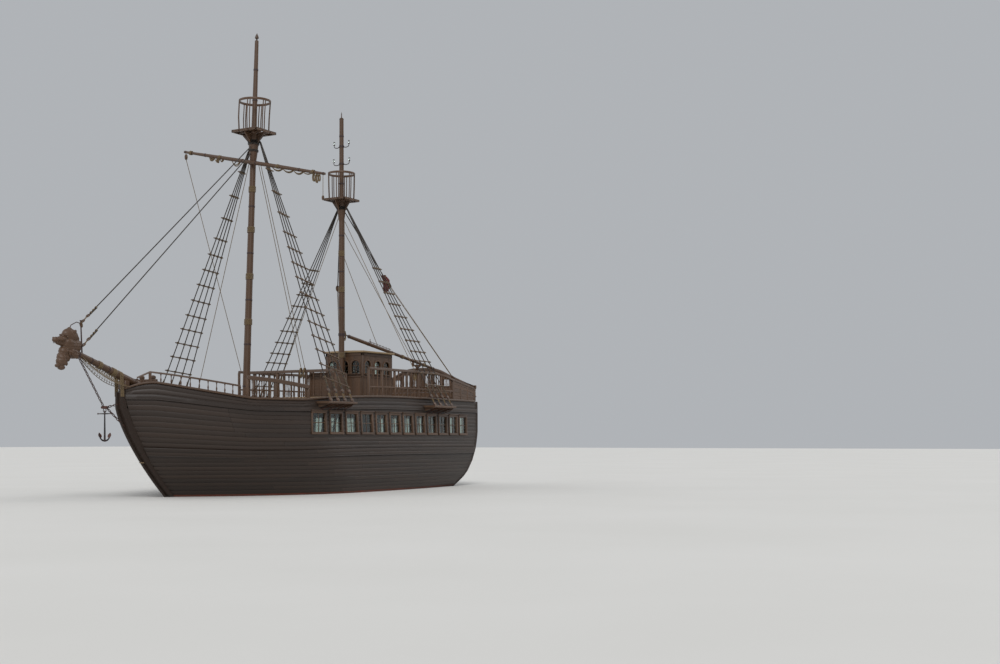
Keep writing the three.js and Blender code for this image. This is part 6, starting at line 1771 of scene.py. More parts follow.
def build_ground_tackle():
    piece = Piece("bobstay_chain")
    knot = ship(-0.64, 0, 3.3)
    chain(piece, sprit_at(-1.86, -0.1), knot + (0.07, 0, 0.05))
    for z in (3.43, 2.62):
        aft = float(stem_front(z))
        chain(piece, knot - (0.07, 0, 0), ship(aft + 0.02, 0, z))
        staple = ((0.1, -0.05), (-0.04, -0.05), (-0.04, 0.05), (0.1, 0.05))
        piece.tube([ship(aft + a, 0, z + lift) for a, lift in staple], 0.018, 8)
    piece.block(knot, np.eye(3), (0.1, 0.24, 0.1), 0.02)
    for _, side in SIDES:
        piece.turned([(0.03, 0), (0.045, 0.01), (0.045, 0.03), (0.02, 0.04)], knot + (0, side * 0.118, 0),
                     (0, side, 0), 14)
    piece.build("forged_iron", "hull", "iron", "bobstay")

    anchor = Piece("anchor_forged")
    x, top, foot = 10.64, 3.24, 2.09
    anchor.tube(oval((x, 0, top - 0.05), (0, 0.07, 0), (0, 0, 0.07), 22), 0.013, 8, loop=True)
    anchor.turned([(0.03, 0), (0.036, 0.1), (0.03, 0.5), (0.024, 0.95), (0.026, 1.08), (0.015, 1.1)],
                  (x, 0, foot), UP, 12)
    # The stock across the shank, with a ball at each end.
    stock, half = top - 0.165, 0.33
    anchor.tube([(x, y, stock) for y in np.linspace(-half, half, 9)],
                [0.014, 0.018, 0.021, 0.024, 0.026, 0.024, 0.021, 0.018, 0.014], 10)
    for y in (-half, half):
        anchor.turned([(0.0, -0.028), (0.022, -0.02), (0.03, 0), (0.022, 0.02), (0.0, 0.028)],
                      (x, y, stock), (0, 1, 0), 12)
    for side in (-1, 1):
        arm = smooth_line([(x + side * out, 0, foot + lift)
                           for out, lift in ((0, 0.02), (0.13, 0.05), (0.23, 0.15), (0.275, 0.3))], 6)
        anchor.tube(arm, np.linspace(0.036, 0.014, len(arm)), 10)
        c, n = np.array([x + side * 0.225, 0, foot + 0.21]), unit((side * -0.9, 0, 0.35))
        up = np.cross(n, (0, 1, 0)) * -side
        palm = [c + up * a + np.array([0, b, 0]) for a, b in (
            (-0.09, -0.02), (-0.05, -0.07), (0.03, -0.075), (0.11, 0), (0.03, 0.075), (-0.05, 0.07),
            (-0.09, 0.02))]
        anchor.plate(palm, n * 0.016)
    anchor.build("forged_iron", "hull", "iron", "anchor")


# Rigging


def made_fast(piece, where, z, r, turns=3, rope=0.021):
    """The eyes of shrouds or stays, laid over each other round a masthead."""
    up = unit(where(z + 1) - where(z))
    reach = r + rope * 0.6
    for k in range(turns):
        centre = where(z + (k - turns / 2) * rope * 2)
        piece.tube(oval(centre, unit(np.cross(up, (0, 1, 0))) * reach, (0, reach, 0), 36), rope, 8, loop=True)


def deadeye(piece, centre, along, out, r=0.085):
    """A round block in an iron band."""
    w = unit(np.cross(along, out))
    w = unit(np.cross(along, w))
    piece.turned([(r * 0.55, -0.04), (r * 0.85, -0.034), (r, -0.016), (r * 0.93, 0), (r, 0.016),
                  (r * 0.85, 0.034), (r * 0.55, 0.04)], centre, w, 20, slot=1)
    u = unit(along)
    v = np.cross(w, u)
    piece.tube(oval(centre, u * (r + 0.004), v * (r + 0.004), 24), 0.012, 6, slot=2, loop=True)
    return v


def tackle(piece, foot, head, out, rope):
    """Deadeyes and lanyard at the foot of a shroud; the shroud's end is turned up above them."""
    t = unit(head - foot)
    low, high = foot + t * 0.13, foot + t * 0.52
    v = deadeye(piece, low, t, out)
    deadeye(piece, high, t, out)
    for shift in (-0.042, 0.0, 0.042):
        for lean in (-1, 1):
            piece.tube([low + v * shift + t * 0.02, high + v * (shift + 0.008 * lean) - t * 0.02],
                       0.0085, 6, slot=3)
    end = high + t * 0.55
    side = v * rope * 1.9
    bend = [high + v * 0.1 * math.sin(a) + t * -0.1 * math.cos(a) for a in np.linspace(-0.5, 3.2, 12)]
    piece.tube(bend + [high + side + t * 0.16, end + side], rope * 0.95, 8, slot=0)
    for reach in (0.2, 0.36, 0.5):
        middle = high + t * reach + side / 2
        ring = [middle + t * 0.018 * (a / math.pi - 2)
                + (v * math.cos(a) * rope * 2.1 + np.cross(t, v) * math.sin(a) * rope * 1.25)
                for a in np.linspace(0, 8 * math.pi, 52)]
        piece.tube(ring, 0.007, 5, slot=3)


# Heights of the shrouds' feet and of the channels' undersides, and of the rungs.
SHROUD_FOOT = 3.59
CHANNEL = 3.56
FORE_RUNGS = (4.4, 4.95, 5.53, 6.09, 6.67, 7.24, 7.85, 8.49, 9.1, 9.73, 10.38, 11.2, 12.11, 13.07)
MIZZEN_RUNGS = (4.55, 5.07, 5.61, 6.03, 6.51, 7.02, 7.58, 8.13, 8.62, 9.12, 9.72)
# Node, mast, side, masthead's height and radius, lag aft of the mast, first and last foot, rungs
# and how steeply they slope down aft.
SHROUDS = (
    ("fore_shrouds_port", fore_at, 1, 14.23, 0.205, 0.145, 6.95, 8.35, FORE_RUNGS, 0.3),
    ("fore_shrouds_starboard", fore_at, -1, 14.23, 0.205, 0.145, 6.3, 7.95, FORE_RUNGS, 0.09),
    ("mizzen_shrouds_port", mizzen_at, 1, 12.42, 0.19, 0.09, 14.75, 16.35, MIZZEN_RUNGS, 0.0),
    ("mizzen_shrouds_starboard", mizzen_at, -1, 12.42, 0.19, 0.06, 12.15, 13.65, MIZZEN_RUNGS, 0.0),
)


def shroud_set(name, where, side, head, head_r, lag, first, last, rungs, slope):
    rope = sizes().shroud
    piece = Piece(f"{name}_rope")

    def foot_at(aft):
        return ship(aft, side * (float(side_at(CHANNEL, aft)) + 0.57), SHROUD_FOOT)

    a, b = foot_at(first), foot_at(last)
    top = where(head) + (-lag, side * (head_r + 0.024), 0)
    u = unit(b - a)
    head_x = float((top - a) @ u)
    v = (top - a) - u * head_x
    height = float(np.linalg.norm(v))
    v = v / height
    wide = float(np.linalg.norm(b - a))
    out = unit(np.cross(u, v)) * side

    def edge(i, y):
        low, high = wide * i / 3, head_x + 0.06 * (i / 3 - 0.5)
        return low + (high - low) * y / height

    def net(x, y):
        return a + u * x + v * y

    for i in range(4):
        low, high = net(edge(i, 0), 0), net(edge(i, height), height)
        t = unit(high - low)
        piece.tube(line_through([low + t * 0.6, high], 1.2), rope, 10)
        tackle(piece, low, high, out, rope)
        piece.tube([high - t * 0.1, high + t * 0.02,
                    (high + where(head + 0.04)) / 2 + (0, side * head_r * 0.4, 0.05),
                    where(head + 0.06) + (0.06, side * head_r * 0.9, 0.03)], rope, 8)
        strap_foot, _ = side_point(first + (last - first) * i / 3, 3.33, 0.06, side)
        piece.tube([low + t * 0.05, low + (0, side * 0.01, -0.05), low + (0, -side * 0.1, -0.11),
                    strap_foot], 0.016, 6, slot=2)
        piece.turned([(0.035, 0), (0.035, 0.012), (0.018, 0.02)], strap_foot - (0, side * 0.005, 0),
                     (0, side, 0), 10, slot=2)
    made_fast(piece, where, head + 0.02, head_r, 3, rope)
    for z in rungs:
        y = (z - SHROUD_FOOT) / v[2]
        drop = [-slope * (edge(i, y) - (edge(0, y) + edge(3, y)) / 2) for i in range(4)]
        start = net(edge(0, y) - 0.13, y + drop[0]) + out * 0.028
        end = net(edge(3, y) + 0.13, y + drop[3]) + out * 0.028
        piece.tube([start, (start + end) / 2, end], [0.022, 0.026, 0.022], 10, slot=1)
        for i in range(4):
            middle = net(edge(i, y + drop[i]), y + drop[i]) + out * 0.012
            for sign in (-1, 1):
                turn = oval(middle, (u + sign * v * 0.9) * 0.045, out * 0.045, 12)
                piece.tube(turn, 0.008, 5, slot=3, loop=True)
    # The channel: a plank along the side that spreads the shrouds, on brackets.
    section = ((0.0, 3.562), (0.62, 3.562), (0.64, 3.58), (0.64, 3.632), (0.62, 3.65), (0.0, 3.65))
    rows = []
    for aft in np.linspace(first - 0.2, last + 0.2, 8):
        y = float(side_at(CHANNEL, aft))
        rows.append([ship(aft, side * (y + out_by), z) for out_by, z in section])
    piece.loft(rows, slot=1)
    for aft in np.linspace(first - 0.1, last + 0.1, 4):
        y = float(side_at(3.5, aft)) + 0.012
        knee = [(y, CHANNEL), (y + 0.52, CHANNEL), (y + 0.46, 3.52), (y + 0.08, 3.42), (y, 3.4)]
        piece.plate([ship(aft, side * p, z) for p, z in knee], (0.06, 0, 0), slot=1)
    piece.build(["tarred_hemp", "oiled_oak", "forged_iron", "laid_manila"], "hull", "rope", name)


def heart_and_lanyard(piece, foot, head, rope):
    """A stay's foot: heart block, lanyard and seizings."""
    t = unit(np.asarray(head, float) - foot)
    w = unit(np.cross(t, (0, 1, 0)))
    for reach in (0.1, 0.42):
        c = foot + t * reach
        piece.tube(oval(c, t * 0.075, (0, 0.06, 0), 20), 0.024, 8, slot=1, loop=True)
    for shift in (-0.03, -0.01, 0.01, 0.03):
        piece.tube([foot + t * 0.14 + (0, shift, 0), foot + t * 0.38 + (0, shift * 0.8, 0)], 0.009, 6,
                   slot=2)
    for reach in (0.6, 0.75, 0.9):
        lashing(piece, foot + t * reach, t, rope * 1.4, 4, 0.007, slot=2)
    piece.tube([foot + t * 0.47 + w * 0.03, foot + t * 0.95 + w * 0.04], rope * 0.9, 8)


def build_stays():
    rope = sizes().shroud
    for name, z, foot_z, x in (("fore_stay", 14.18, 6.23, 11.743),
                               ("fore_topmast_stay", 13.9, 5.4, 11.703)):
        piece = Piece(f"{name}_rope")
        foot, head = np.array([x, 0, foot_z]), fore_at(z)
        t = unit(head - foot)
        piece.tube(line_through([foot + t * 0.47, head - t * 0.19], 1.5), rope, 10)
        heart_and_lanyard(piece, foot, head, rope)
        piece.tube(oval(foot, (0, 0.034, 0), (0.034, 0, 0), 16), 0.014, 6, loop=True)
        made_fast(piece, fore_at, z, 0.2 if z > 14.1 else 0.178, 2, rope)
        piece.build(["tarred_hemp", "oiled_oak", "laid_manila"], "hull", "rope", name)
    for name, side in SIDES:
        piece = Piece(f"mizzen_backstay_{name}_rope")
        head = mizzen_at(12.4, y=side * 0.06)
        knuckle = ship(15.05, side * 1.42, 9.1)
        foot = cap_point(17.75, side, 4.89)
        rise = unit(head - knuckle)
        piece.tube(line_through([head, knuckle + rise * 0.1], 1.5), rope, 10)
        pulley(piece, knuckle - rise * 0.02, unit(head - foot), 0.17, slot=1, rope_slot=0)
        t = unit(foot - knuckle)
        for shift in (-0.024, 0.024):
            fall = [knuckle + t * 0.06 + (0, shift, 0), foot - t * 0.16 + (0, shift * 0.6, 0)]
            piece.tube(line_through(fall, 1.5), rope * 0.62, 8, slot=2)
        pulley(piece, foot - t * 0.13, t, 0.13, slot=1, rope_slot=0)
        made_fast(piece, mizzen_at, 12.38, 0.187, 1, rope)
        piece.build(["tarred_hemp", "oiled_oak", "laid_manila"], "hull", "rope", f"mizzen_backstay_{name}")


# Running rigging: name of what it is, and the points that its lines lead through. All of them
# are taut, from the mastheads to the rails.
RUNNING = {
    "fore_halyards": [
        [fore_at(13.43, 0.1, -0.1), cap_point(8.1, -1, 3.88)],
        [fore_at(13.31, -0.12, 0.2), ship(10.53, 0.02, 5.2)],
        [fore_at(13.32, -0.12, 0.3), ship(10.53, 0.22, 5.2)],
        [fore_at(14.0, -0.15, -0.1), fore_at(4.6, -0.17, -0.16)],
    ],
    "mizzen_halyards": [
        [mizzen_at(11.96, 0.1, -0.1), cap_point(13.5, -1, 5.14)],
        [mizzen_at(11.82, -0.12, 0.1), cap_point(14.3, 1, 5.14)],
        [mizzen_at(11.9, -0.14, 0.05), mizzen_at(6.98, -0.16, 0.05)],
    ],
}
# Lines from the mizzen mast to the boom: where each starts, and where it ends on the boom.
BOOM_LINES = {
    "boom_topping_lift": (mizzen_at(11.4, -0.13, 0.03), boom_at(4.06, 0.06)),
    "boom_brail": (mizzen_at(10.2, -0.13, 0.06), boom_at(1.9, 0.07)),
}


def taut(start, end):
    """The points of a tight line, 24 of them evenly spaced from start to end."""
    return np.linspace(start, end, 24)


def build_running_rigging():
    rope = sizes().line
    for name, leads in RUNNING.items():
        piece = Piece(name)
        for lead in leads:
            piece.tube(taut(*lead), rope, 7)
            coil(piece, lead[-1], 0.11)
        piece.build("laid_manila", "hull", "rope")
    for name, (start, end) in BOOM_LINES.items():
        piece = Piece(name)
        piece.tube(taut(start, end), rope, 7)
        made = piece.build("laid_manila", None, "rope")
        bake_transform(made)
    start, end = yard_tip(3.48, -1) - (0, 0, 0.3), cap_point(10.75, -1, 5.14)
    piece = Piece("yard_brace")
    piece.tube(taut(start, end), rope, 7)
    made = piece.build("laid_manila", None, "rope")
    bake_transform(made)


def coil(piece, hung_at, r, turns=5):
    """A line's end made up in a hanging coil on its pin."""
    for k in range(turns):
        wide, long = r * (0.62 + 0.07 * (k % 3)), r * (1.7 + 0.12 * ((k * 2) % 3))
        middle = np.asarray(hung_at, float) + (0, 0.014 * (k - turns / 2), -long)
        piece.tube(oval(middle, (0, 0, long), (wide, 0, 0), 18), 0.012, 6, loop=True)


def build_flag():
    """A furled flag: a cloth gathered in folds round the port backstay, with two ties."""
    wide, tall = 1.25, 0.9
    rows, cols = 46, 150
    spine = smooth_line([(-4.80, 1.30, 9.5), (-4.97, 1.31, 9.33), (-5.06, 1.30, 9.14), (-5.05, 1.29, 8.98),
                         (-5.0, 1.28, 8.76)], 12)
    run = lengths_along(spine)
    share = np.linspace(0, 1, rows)
    middle = np.stack([np.interp(share * run[-1], run, spine[:, i]) for i in range(3)], -1)
    rings = []
    for k, s in enumerate(share):
        pinch = 1 - 0.45 * math.exp(-((s - 0.42) / 0.05) ** 2)
        size = 0.075 + 0.12 * math.sin(math.pi * min(1, s * 1.02)) ** 0.8 * pinch
        turn = np.linspace(0, 2 * math.pi * 0.97, cols)
        low, high = 0.0, 1.2
        for _ in range(24):
            fold = (low + high) / 2
            wave = np.sin(9 * turn + 2.2 * s) + 0.35 * np.sin(5 * turn + 6 * s + 1)
            r = size * (1 + fold * wave * 0.5)
            x, y = r * np.cos(turn + 0.5 * s), 0.62 * r * np.sin(turn + 0.5 * s)
            length = np.hypot(np.diff(x), np.diff(y)).sum()
            low, high = (fold, high) if length < wide else (low, fold)
        rings.append(middle[k] + np.stack([x, y, np.zeros(cols)], -1))
    points = np.array(rings)
    faces = [[i * cols + j, i * cols + j + 1, (i + 1) * cols + j + 1, (i + 1) * cols + j]
             for i in range(rows - 1) for j in range(cols - 1)]
    u = np.broadcast_to(np.linspace(0, wide, cols), (rows, cols))
    v = np.broadcast_to((share * tall)[:, None], (rows, cols))
    piece = Piece("furled_flag_cloth")
    piece.put(points, faces, np.stack([u, v, np.zeros_like(u)], -1))
    cloth = piece.build("wool_bunting", "hull", "canvas", "furled_flag", sharp=70)
    ties = Piece("flag_ties")
    for s in (0.1, 0.42, 0.8):
        k = int(s * (rows - 1))
        lashing(ties, middle[k], middle[min(k + 1, rows - 1)] - middle[k - 1], 0.085, 3, 0.009, slot=0)
    ties.build("laid_manila", "hull", "rope")


# Deck gear and houses


def build_deck_gear():
    bitts = Piece("bitts_oak")
    x = 8.52
    rows = [(0.075, FORE_DECK), (0.075, 4.35), (0.062, 4.365), (0.062, 4.39), (0.078, 4.405),
            (0.078, 4.48), (0.03, 4.52)]
    section = rounded(2, 2, 0.22, 2)
    for _, side in SIDES:
        c = np.array([x, side * 0.28, 0])
        bitts.loft([[c + (a * half, b * half * 0.87, z) for a, b in section] for half, z in rows])
    bitts.box((x - 0.06, -0.465, 4.25), (x + 0.06, 0.465, 4.38), 0.02)
    bitts.box((x - 0.06, -0.215, 3.6), (x + 0.06, 0.215, 3.86), 0.015)
    for _, side in SIDES:
        for z in (3.6, 4.2):
            bitts.turned([(0.022, 0), (0.022, 0.008), (0.014, 0.014)], (x + 0.075, side * 0.28, z),
                         (1, 0, 0), 10, slot=1)
    turns = [(x + 0.11 * math.sin(2 * t), 0.36 * math.sin(t), 4.19 - 0.014 * t + 0.02 * math.cos(3 * t))
             for t in np.linspace(0, 6 * math.pi, 110)]
    bitts.tube(turns, 0.018, 7, slot=2)
    bitts.build(["oiled_oak", "forged_iron", "laid_manila"], "hull", "oak", "bitts")

    x, z = 7.65, 3.83
    frame_piece = Piece("windlass_frame_oak")
    for _, side in SIDES:
        ring = [(-0.13, FORE_DECK), (0.13, FORE_DECK), (0.13, 3.85), (0.08, 3.98), (-0.08, 3.98),
                (-0.13, 3.85)]
        frame_piece.plate([(x + a, side * 0.5109, b) for a, b in ring], (0, 0.056, 0))
        frame_piece.turned([(0.042, -0.001), (0.07, 0), (0.07, 0.012), (0.042, 0.014)],
                           (x, side * 0.5395, z), (0, side, 0), 18, slot=1)
    frame_piece.box((x - 0.13, -0.482, FORE_DECK), (x + 0.13, 0.482, 3.47), 0.012)
    frame_piece.build(["oiled_oak", "forged_iron"], "hull", "oak", "windlass_frame", bevel=0.008)

    drum = Piece("windlass_drum_oak")
    octagon = [(math.cos(math.pi * (2 * k + 1) / 8), math.sin(math.pi * (2 * k + 1) / 8)) for k in range(8)]
    drum.loft([[(x + a * r, y, z + b * r) for a, b in octagon]
               for y, r in ((-0.478, 0.118), (-0.45, 0.13), (-0.2, 0.124), (0.2, 0.124), (0.45, 0.13),
                            (0.478, 0.118))])
    for away in oval((0, 0, 0), (1, 0, 0), (0, 0, 1), 8):
        axes = (np.array([0, 1, 0]), np.cross(away, (0, 1, 0)), away)
        for y in (-0.3, 0.3):
            drum.block((x, y, z) + away * 0.128, axes, (0.26, 0.045, 0.022), 0.008)
        for y in (-0.06, 0.06):
            drum.block((x, y, z) + away * 0.1155, axes, (0.045, 0.045, 0.006), 0.001, slot=1)
    drum.turned([(0.039, -0.72), (0.039, 0.72)], (x, 0, z), (0, 1, 0), 20, slot=1)
    for _, side in SIDES:
        drum.turned([(0.06, 0.555), (0.07, 0.56), (0.066, 0.6), (0.072, 0.66), (0.098, 0.7), (0.1, 0.72),
                     (0.05, 0.725)], (x, 0, z), (0, side, 0), 24)
        for away in oval((0, 0, 0), (1, 0, 0), (0, 0, 1), 6):
            a, b = (x, side * 0.57, z) + away * 0.067, (x, side * 0.7, z) + away * 0.095
            drum.beam(a, b, 0.03, 0.012, up=away, bevel=0.004)
    drum.build(["oiled_oak", "forged_iron"], "windlass_barrel", "oak", "windlass_drum")


def boarded(piece, origin, along, out, edges, z0, z1, holes, thick=0.07, slot=0):
    """A wall of upright boards between the edges. A hole is its two edges, its foot, its head,
    and for an arch the height where it springs."""
    origin, along, out = (np.asarray(q, float) for q in (origin, along, out))

    def put(ring):
        piece.plate([origin + along * u + np.array([0, 0, z]) - out * thick / 2 for u, z in ring],
                    out * thick, slot)

    for u0, u1 in zip(edges[:-1], edges[1:]):
        a, b = u0 + 0.0015, u1 - 0.0015
        hole = next((h for h in holes if u0 > h[0] - 0.001 and u1 < h[1] + 0.001), None)
        if hole is None:
            put([(a, z0), (b, z0), (b, z1), (a, z1)])
            continue
        left, right, foot, head, spring = hole
        if foot > z0:
            put([(a, z0), (b, z0), (b, foot), (a, foot)])
        middle, half = (left + right) / 2, (right - left) / 2
        under = []
        for u in np.linspace(b, a, 5):
            rise = math.sqrt(max(0, half ** 2 - (u - middle) ** 2)) if spring else 0
            under.append((u, (spring or head) + rise))
        if head < z1:
            put([(a, z1), (b, z1)] + under)


def board_edges(length, holes, width):
    marks = sorted({0.0, length, *[h[0] for h in holes], *[h[1] for h in holes]})
    edges = [0.0]
    for a, b in zip(marks[:-1], marks[1:]):
        n = max(1, round((b - a) / width))
        edges += [a + (b - a) * k / n for k in range(1, n + 1)]
    return edges


# The wheelhouse's arched windows: half width, sill, and the height where the arch springs.
ARCH = (0.23, 5.08, 5.45)


def arch_window(piece, centre, along, out):
    """Casing, sill, glazing bars and pane of an arched window. `centre` is on the wall's face."""
    half, sill, spring = ARCH
    centre, along, out = (np.asarray(q, float) for q in (centre, along, out))

    def spot(u, z, o=0.0):
        return np.array([centre[0], centre[1], 0]) + along * u + out * o + np.array([0, 0, z])

    ring = [(half, sill), (half, spring)]
    ring += [(half * math.cos(t), spring + half * math.sin(t)) for t in np.linspace(0, math.pi, 13)[1:-1]]
    ring += [(-half, spring), (-half, sill)]
    path = line_through([spot(u * 1.06, z, 0.012) for u, z in ring], 0.2)
    piece.sweep(path, rounded(0.05, 0.04, 0.012), up=out)
    for o in (0.0, -0.035, -0.07):
        piece.sweep([spot(u * 0.985, z, o - 0.012) for u, z in ring], rounded(0.02, 0.03, 0.004), up=out)
    bar = sizes().muntin
    axes = (along, out, np.array(UP))
    piece.block(spot(0, sill - 0.02, 0.02), axes, (2 * half + 0.14, 0.11, 0.045), 0.01)
    piece.block(spot(0, (sill + spring + half) / 2, -0.035), axes, (bar, 0.03, spring + half - sill), 0.004)
    piece.block(spot(0, spring - 0.02, -0.035), axes, (2 * half, 0.03, bar), 0.004)
    piece.plate([spot(u * 0.99, z, -0.035) for u, z in ring], out * 0.006, slot=1)


def hinge(piece, x, y, z, plate, slot):
    """A leaf's eye or pin housing: a barrel and its plate. `plate` is x0, x1, y0, y1 from the axis."""
    piece.turned([(0.0128, 0.0003), (0.0132, 0.004), (0.0132, 0.046), (0.0128, 0.0497)], (x, y, z), UP, 16,
                 slot)
    x0, x1, y0, y1 = plate
    piece.box((x + x0, y + y0, z + 0.001), (x + x1, y + y1, z + 0.049), 0.002, slot=slot)


def build_wheelhouse():
    piece = Piece("wheelhouse_boarding")
    front, end, half, foot, top = -3.64, -5.88, 1.0, QUARTER_DECK, 6.0
    side_windows, front_windows = (14.0, 14.76, 15.45), (-0.62, 0, 0.62)
    # Half width between the corner posts, and the width of a board.
    inner, board = 0.93, 0.11

    def arched(middles):
        wide, sill, spring = ARCH
        return [(u - wide, u + wide, sill, spring + wide, spring) for u in middles]

    holes = arched([a - 13.64 for a in side_windows])
    for _, side in SIDES:
        boarded(piece, (front, side * half, 0), (-1, 0, 0), (0, side, 0), board_edges(2.24, holes, board),
                foot, top, holes)
        for a in side_windows:
            arch_window(piece, (10 - a, side * half, 0), (-1, 0, 0), (0, side, 0))
    holes = arched([y + inner for y in front_windows])
    boarded(piece, (front, -inner, 0), (0, 1, 0), (1, 0, 0), board_edges(2 * inner, holes, board), foot,
            top, holes)
    for y in front_windows:
        arch_window(piece, (front, y, 0), (0, 1, 0), (1, 0, 0))
    doorway = [(inner - 0.356, inner + 0.356, foot, 5.866, 0)]
    boarded(piece, (end, -inner, 0), (0, 1, 0), (-1, 0, 0), board_edges(2 * inner, doorway, board), foot,
            top, doorway)
    for x in (front - 0.035, end + 0.035):
        for y in (-0.965, 0.965):
            piece.box((x - 0.06, y - 0.06, foot), (x + 0.06, y + 0.06, top), 0.015)
    # Mouldings round the walls, with a gap at the door: rows of foot and head.
    mouldings = [(z - high / 2, z + high / 2) for z, high in ((3.96, 0.12), (4.93, 0.05), (5.93, 0.12))]
    for _, side in SIDES:
        for low, high in mouldings:
            piece.box((front, side * half, low), (end, side * (half + 0.025), high), 0.008)
    for low, high in mouldings:
        piece.box((front, -1.02, low), (front + 0.025, 1.02, high), 0.008)
        for y0, y1 in ((-1.02, -0.45), (0.45, 1.02)):
            piece.box((end - 0.025, y0, low), (end, y1, high), 0.008)
    # Door casing and the fixed hinge halves.
    for y in (-0.386, 0.356):
        piece.box((end - 0.02, y, foot), (end, y + (0.03 if y > 0 else 0.022), 5.9), 0.004)
    piece.box((end - 0.02, -0.4, 5.87), (end, 0.4, 5.93), 0.006)
    piece.box((end - 0.01, -0.35, foot), (end + 0.07, 0.35, 3.953), 0.006)
    for z in (4.25, 5.6):
        hinge(piece, -5.896, -0.353, z - 0.05, (0, 0.02, -0.06, -0.005), 2)
    piece.build(["oiled_oak", "window_glass", "forged_iron"], "hull", "oak", "wheelhouse", bevel=0.003)

    roof = Piece("wheelhouse_roof_planks")
    x0, x1, reach = -5.97, -3.59, 1.09
    edges = np.linspace(-reach, reach, 19)
    for y0, y1 in zip(edges[:-1], edges[1:]):
        lift = [6.088 + 0.02 * (1 - (y / reach) ** 2) for y in (y0, y1)]
        rings = []
        for x in (x0, x0 + 0.01, x1 - 0.01, x1):
            drop = 0.006 if x in (x0, x1) else 0
            rings.append([(x, y0 + 0.002, 6.01 + drop), (x, y1 - 0.002, 6.01 + drop),
                          (x, y1 - 0.002, lift[1] - 0.006 - drop), (x, y1 - 0.008, lift[1] - drop),
                          (x, y0 + 0.008, lift[0] - drop), (x, y0 + 0.002, lift[0] - 0.006 - drop)])
        roof.loft(rings)
    trim = rounded(0.045, 0.08, 0.018)
    for _, side in SIDES:
        roof.sweep([(x, side * reach, 6.045) for x in (x0, (x0 + x1) / 2, x1)], trim)
    for x in (x0, x1):
        roof.sweep([(x, -1.1, 6.045), (x, 0, 6.052), (x, 1.1, 6.045)], trim)
    roof.build("scrubbed_pine", "hull", "decking", "wheelhouse_roof")

    door = Piece("wheelhouse_door_panelled")
    panelled_door(door, end, -5.84, -0.35, 0.35, 3.96, 5.86, (-0.2, 0.2, 5.0, 5.66))
    for z in (4.25, 5.6):
        hinge(door, -5.896, -0.353, z, (0, 0.022, 0.004, 0.06), 2)
    door.build(["oiled_oak", "window_glass", "forged_iron"], "house_door", "oak", "wheelhouse_door",
               bevel=0.003)


def panelled_door(piece, x0, x1, y0, y1, z0, z1, light):
    """Stiles, rails and sunk panels; above them a glazed light."""
    stile, x = 0.1, (x0 + x1) / 2
    left, right = y0 + stile, y1 - stile

    def sheet(a, b, low, high, thick, slot=0):
        ring = ((a, low), (b, low), (b, high), (a, high))
        piece.plate([(x, y, z) for y, z in ring], (thick, 0, 0), slot=slot)

    for a, b in ((y0, left), (right, y1)):
        piece.box((x0, a, z0), (x1, b, z1), 0.004)
    ly0, ly1, lz0, lz1 = light
    rails = [(z0, z0 + 0.16), ((z0 + lz0) / 2 - 0.06, (z0 + lz0) / 2 + 0.04), (lz0 - 0.11, lz0), (lz1, z1)]
    for a, b in rails:
        piece.box((x0, left, a), (x1, right, b), 0.004)
    for (_, a), (b, _) in zip(rails[:2], rails[1:3]):
        sheet(left, right, a, b, 0.014)
        sheet(left + 0.05, right - 0.05, a + 0.05, b - 0.05, 0.03)
    for a, b in ((left, ly0), (ly1, right)):
        piece.box((x0, a, lz0), (x1, b, lz1), 0.002)
    y = (ly0 + ly1) / 2
    piece.box((x - 0.01, y - 0.012, lz0), (x + 0.01, y + 0.012, lz1), 0.004)
    sheet(ly0, ly1, lz0, lz1, 0.006, slot=1)
    knob = (z0 + z1) / 2
    for face, sign in ((x0, -1), (x1, 1)):
        piece.turned([(0.03, 0), (0.03, 0.004), (0.011, 0.007), (0.011, 0.03), (0.024, 0.036),
                      (0.028, 0.048), (0.018, 0.058), (0.0, 0.06)],
                     (face, y1 - stile / 2, knob), (sign, 0, 0), 18, slot=2)


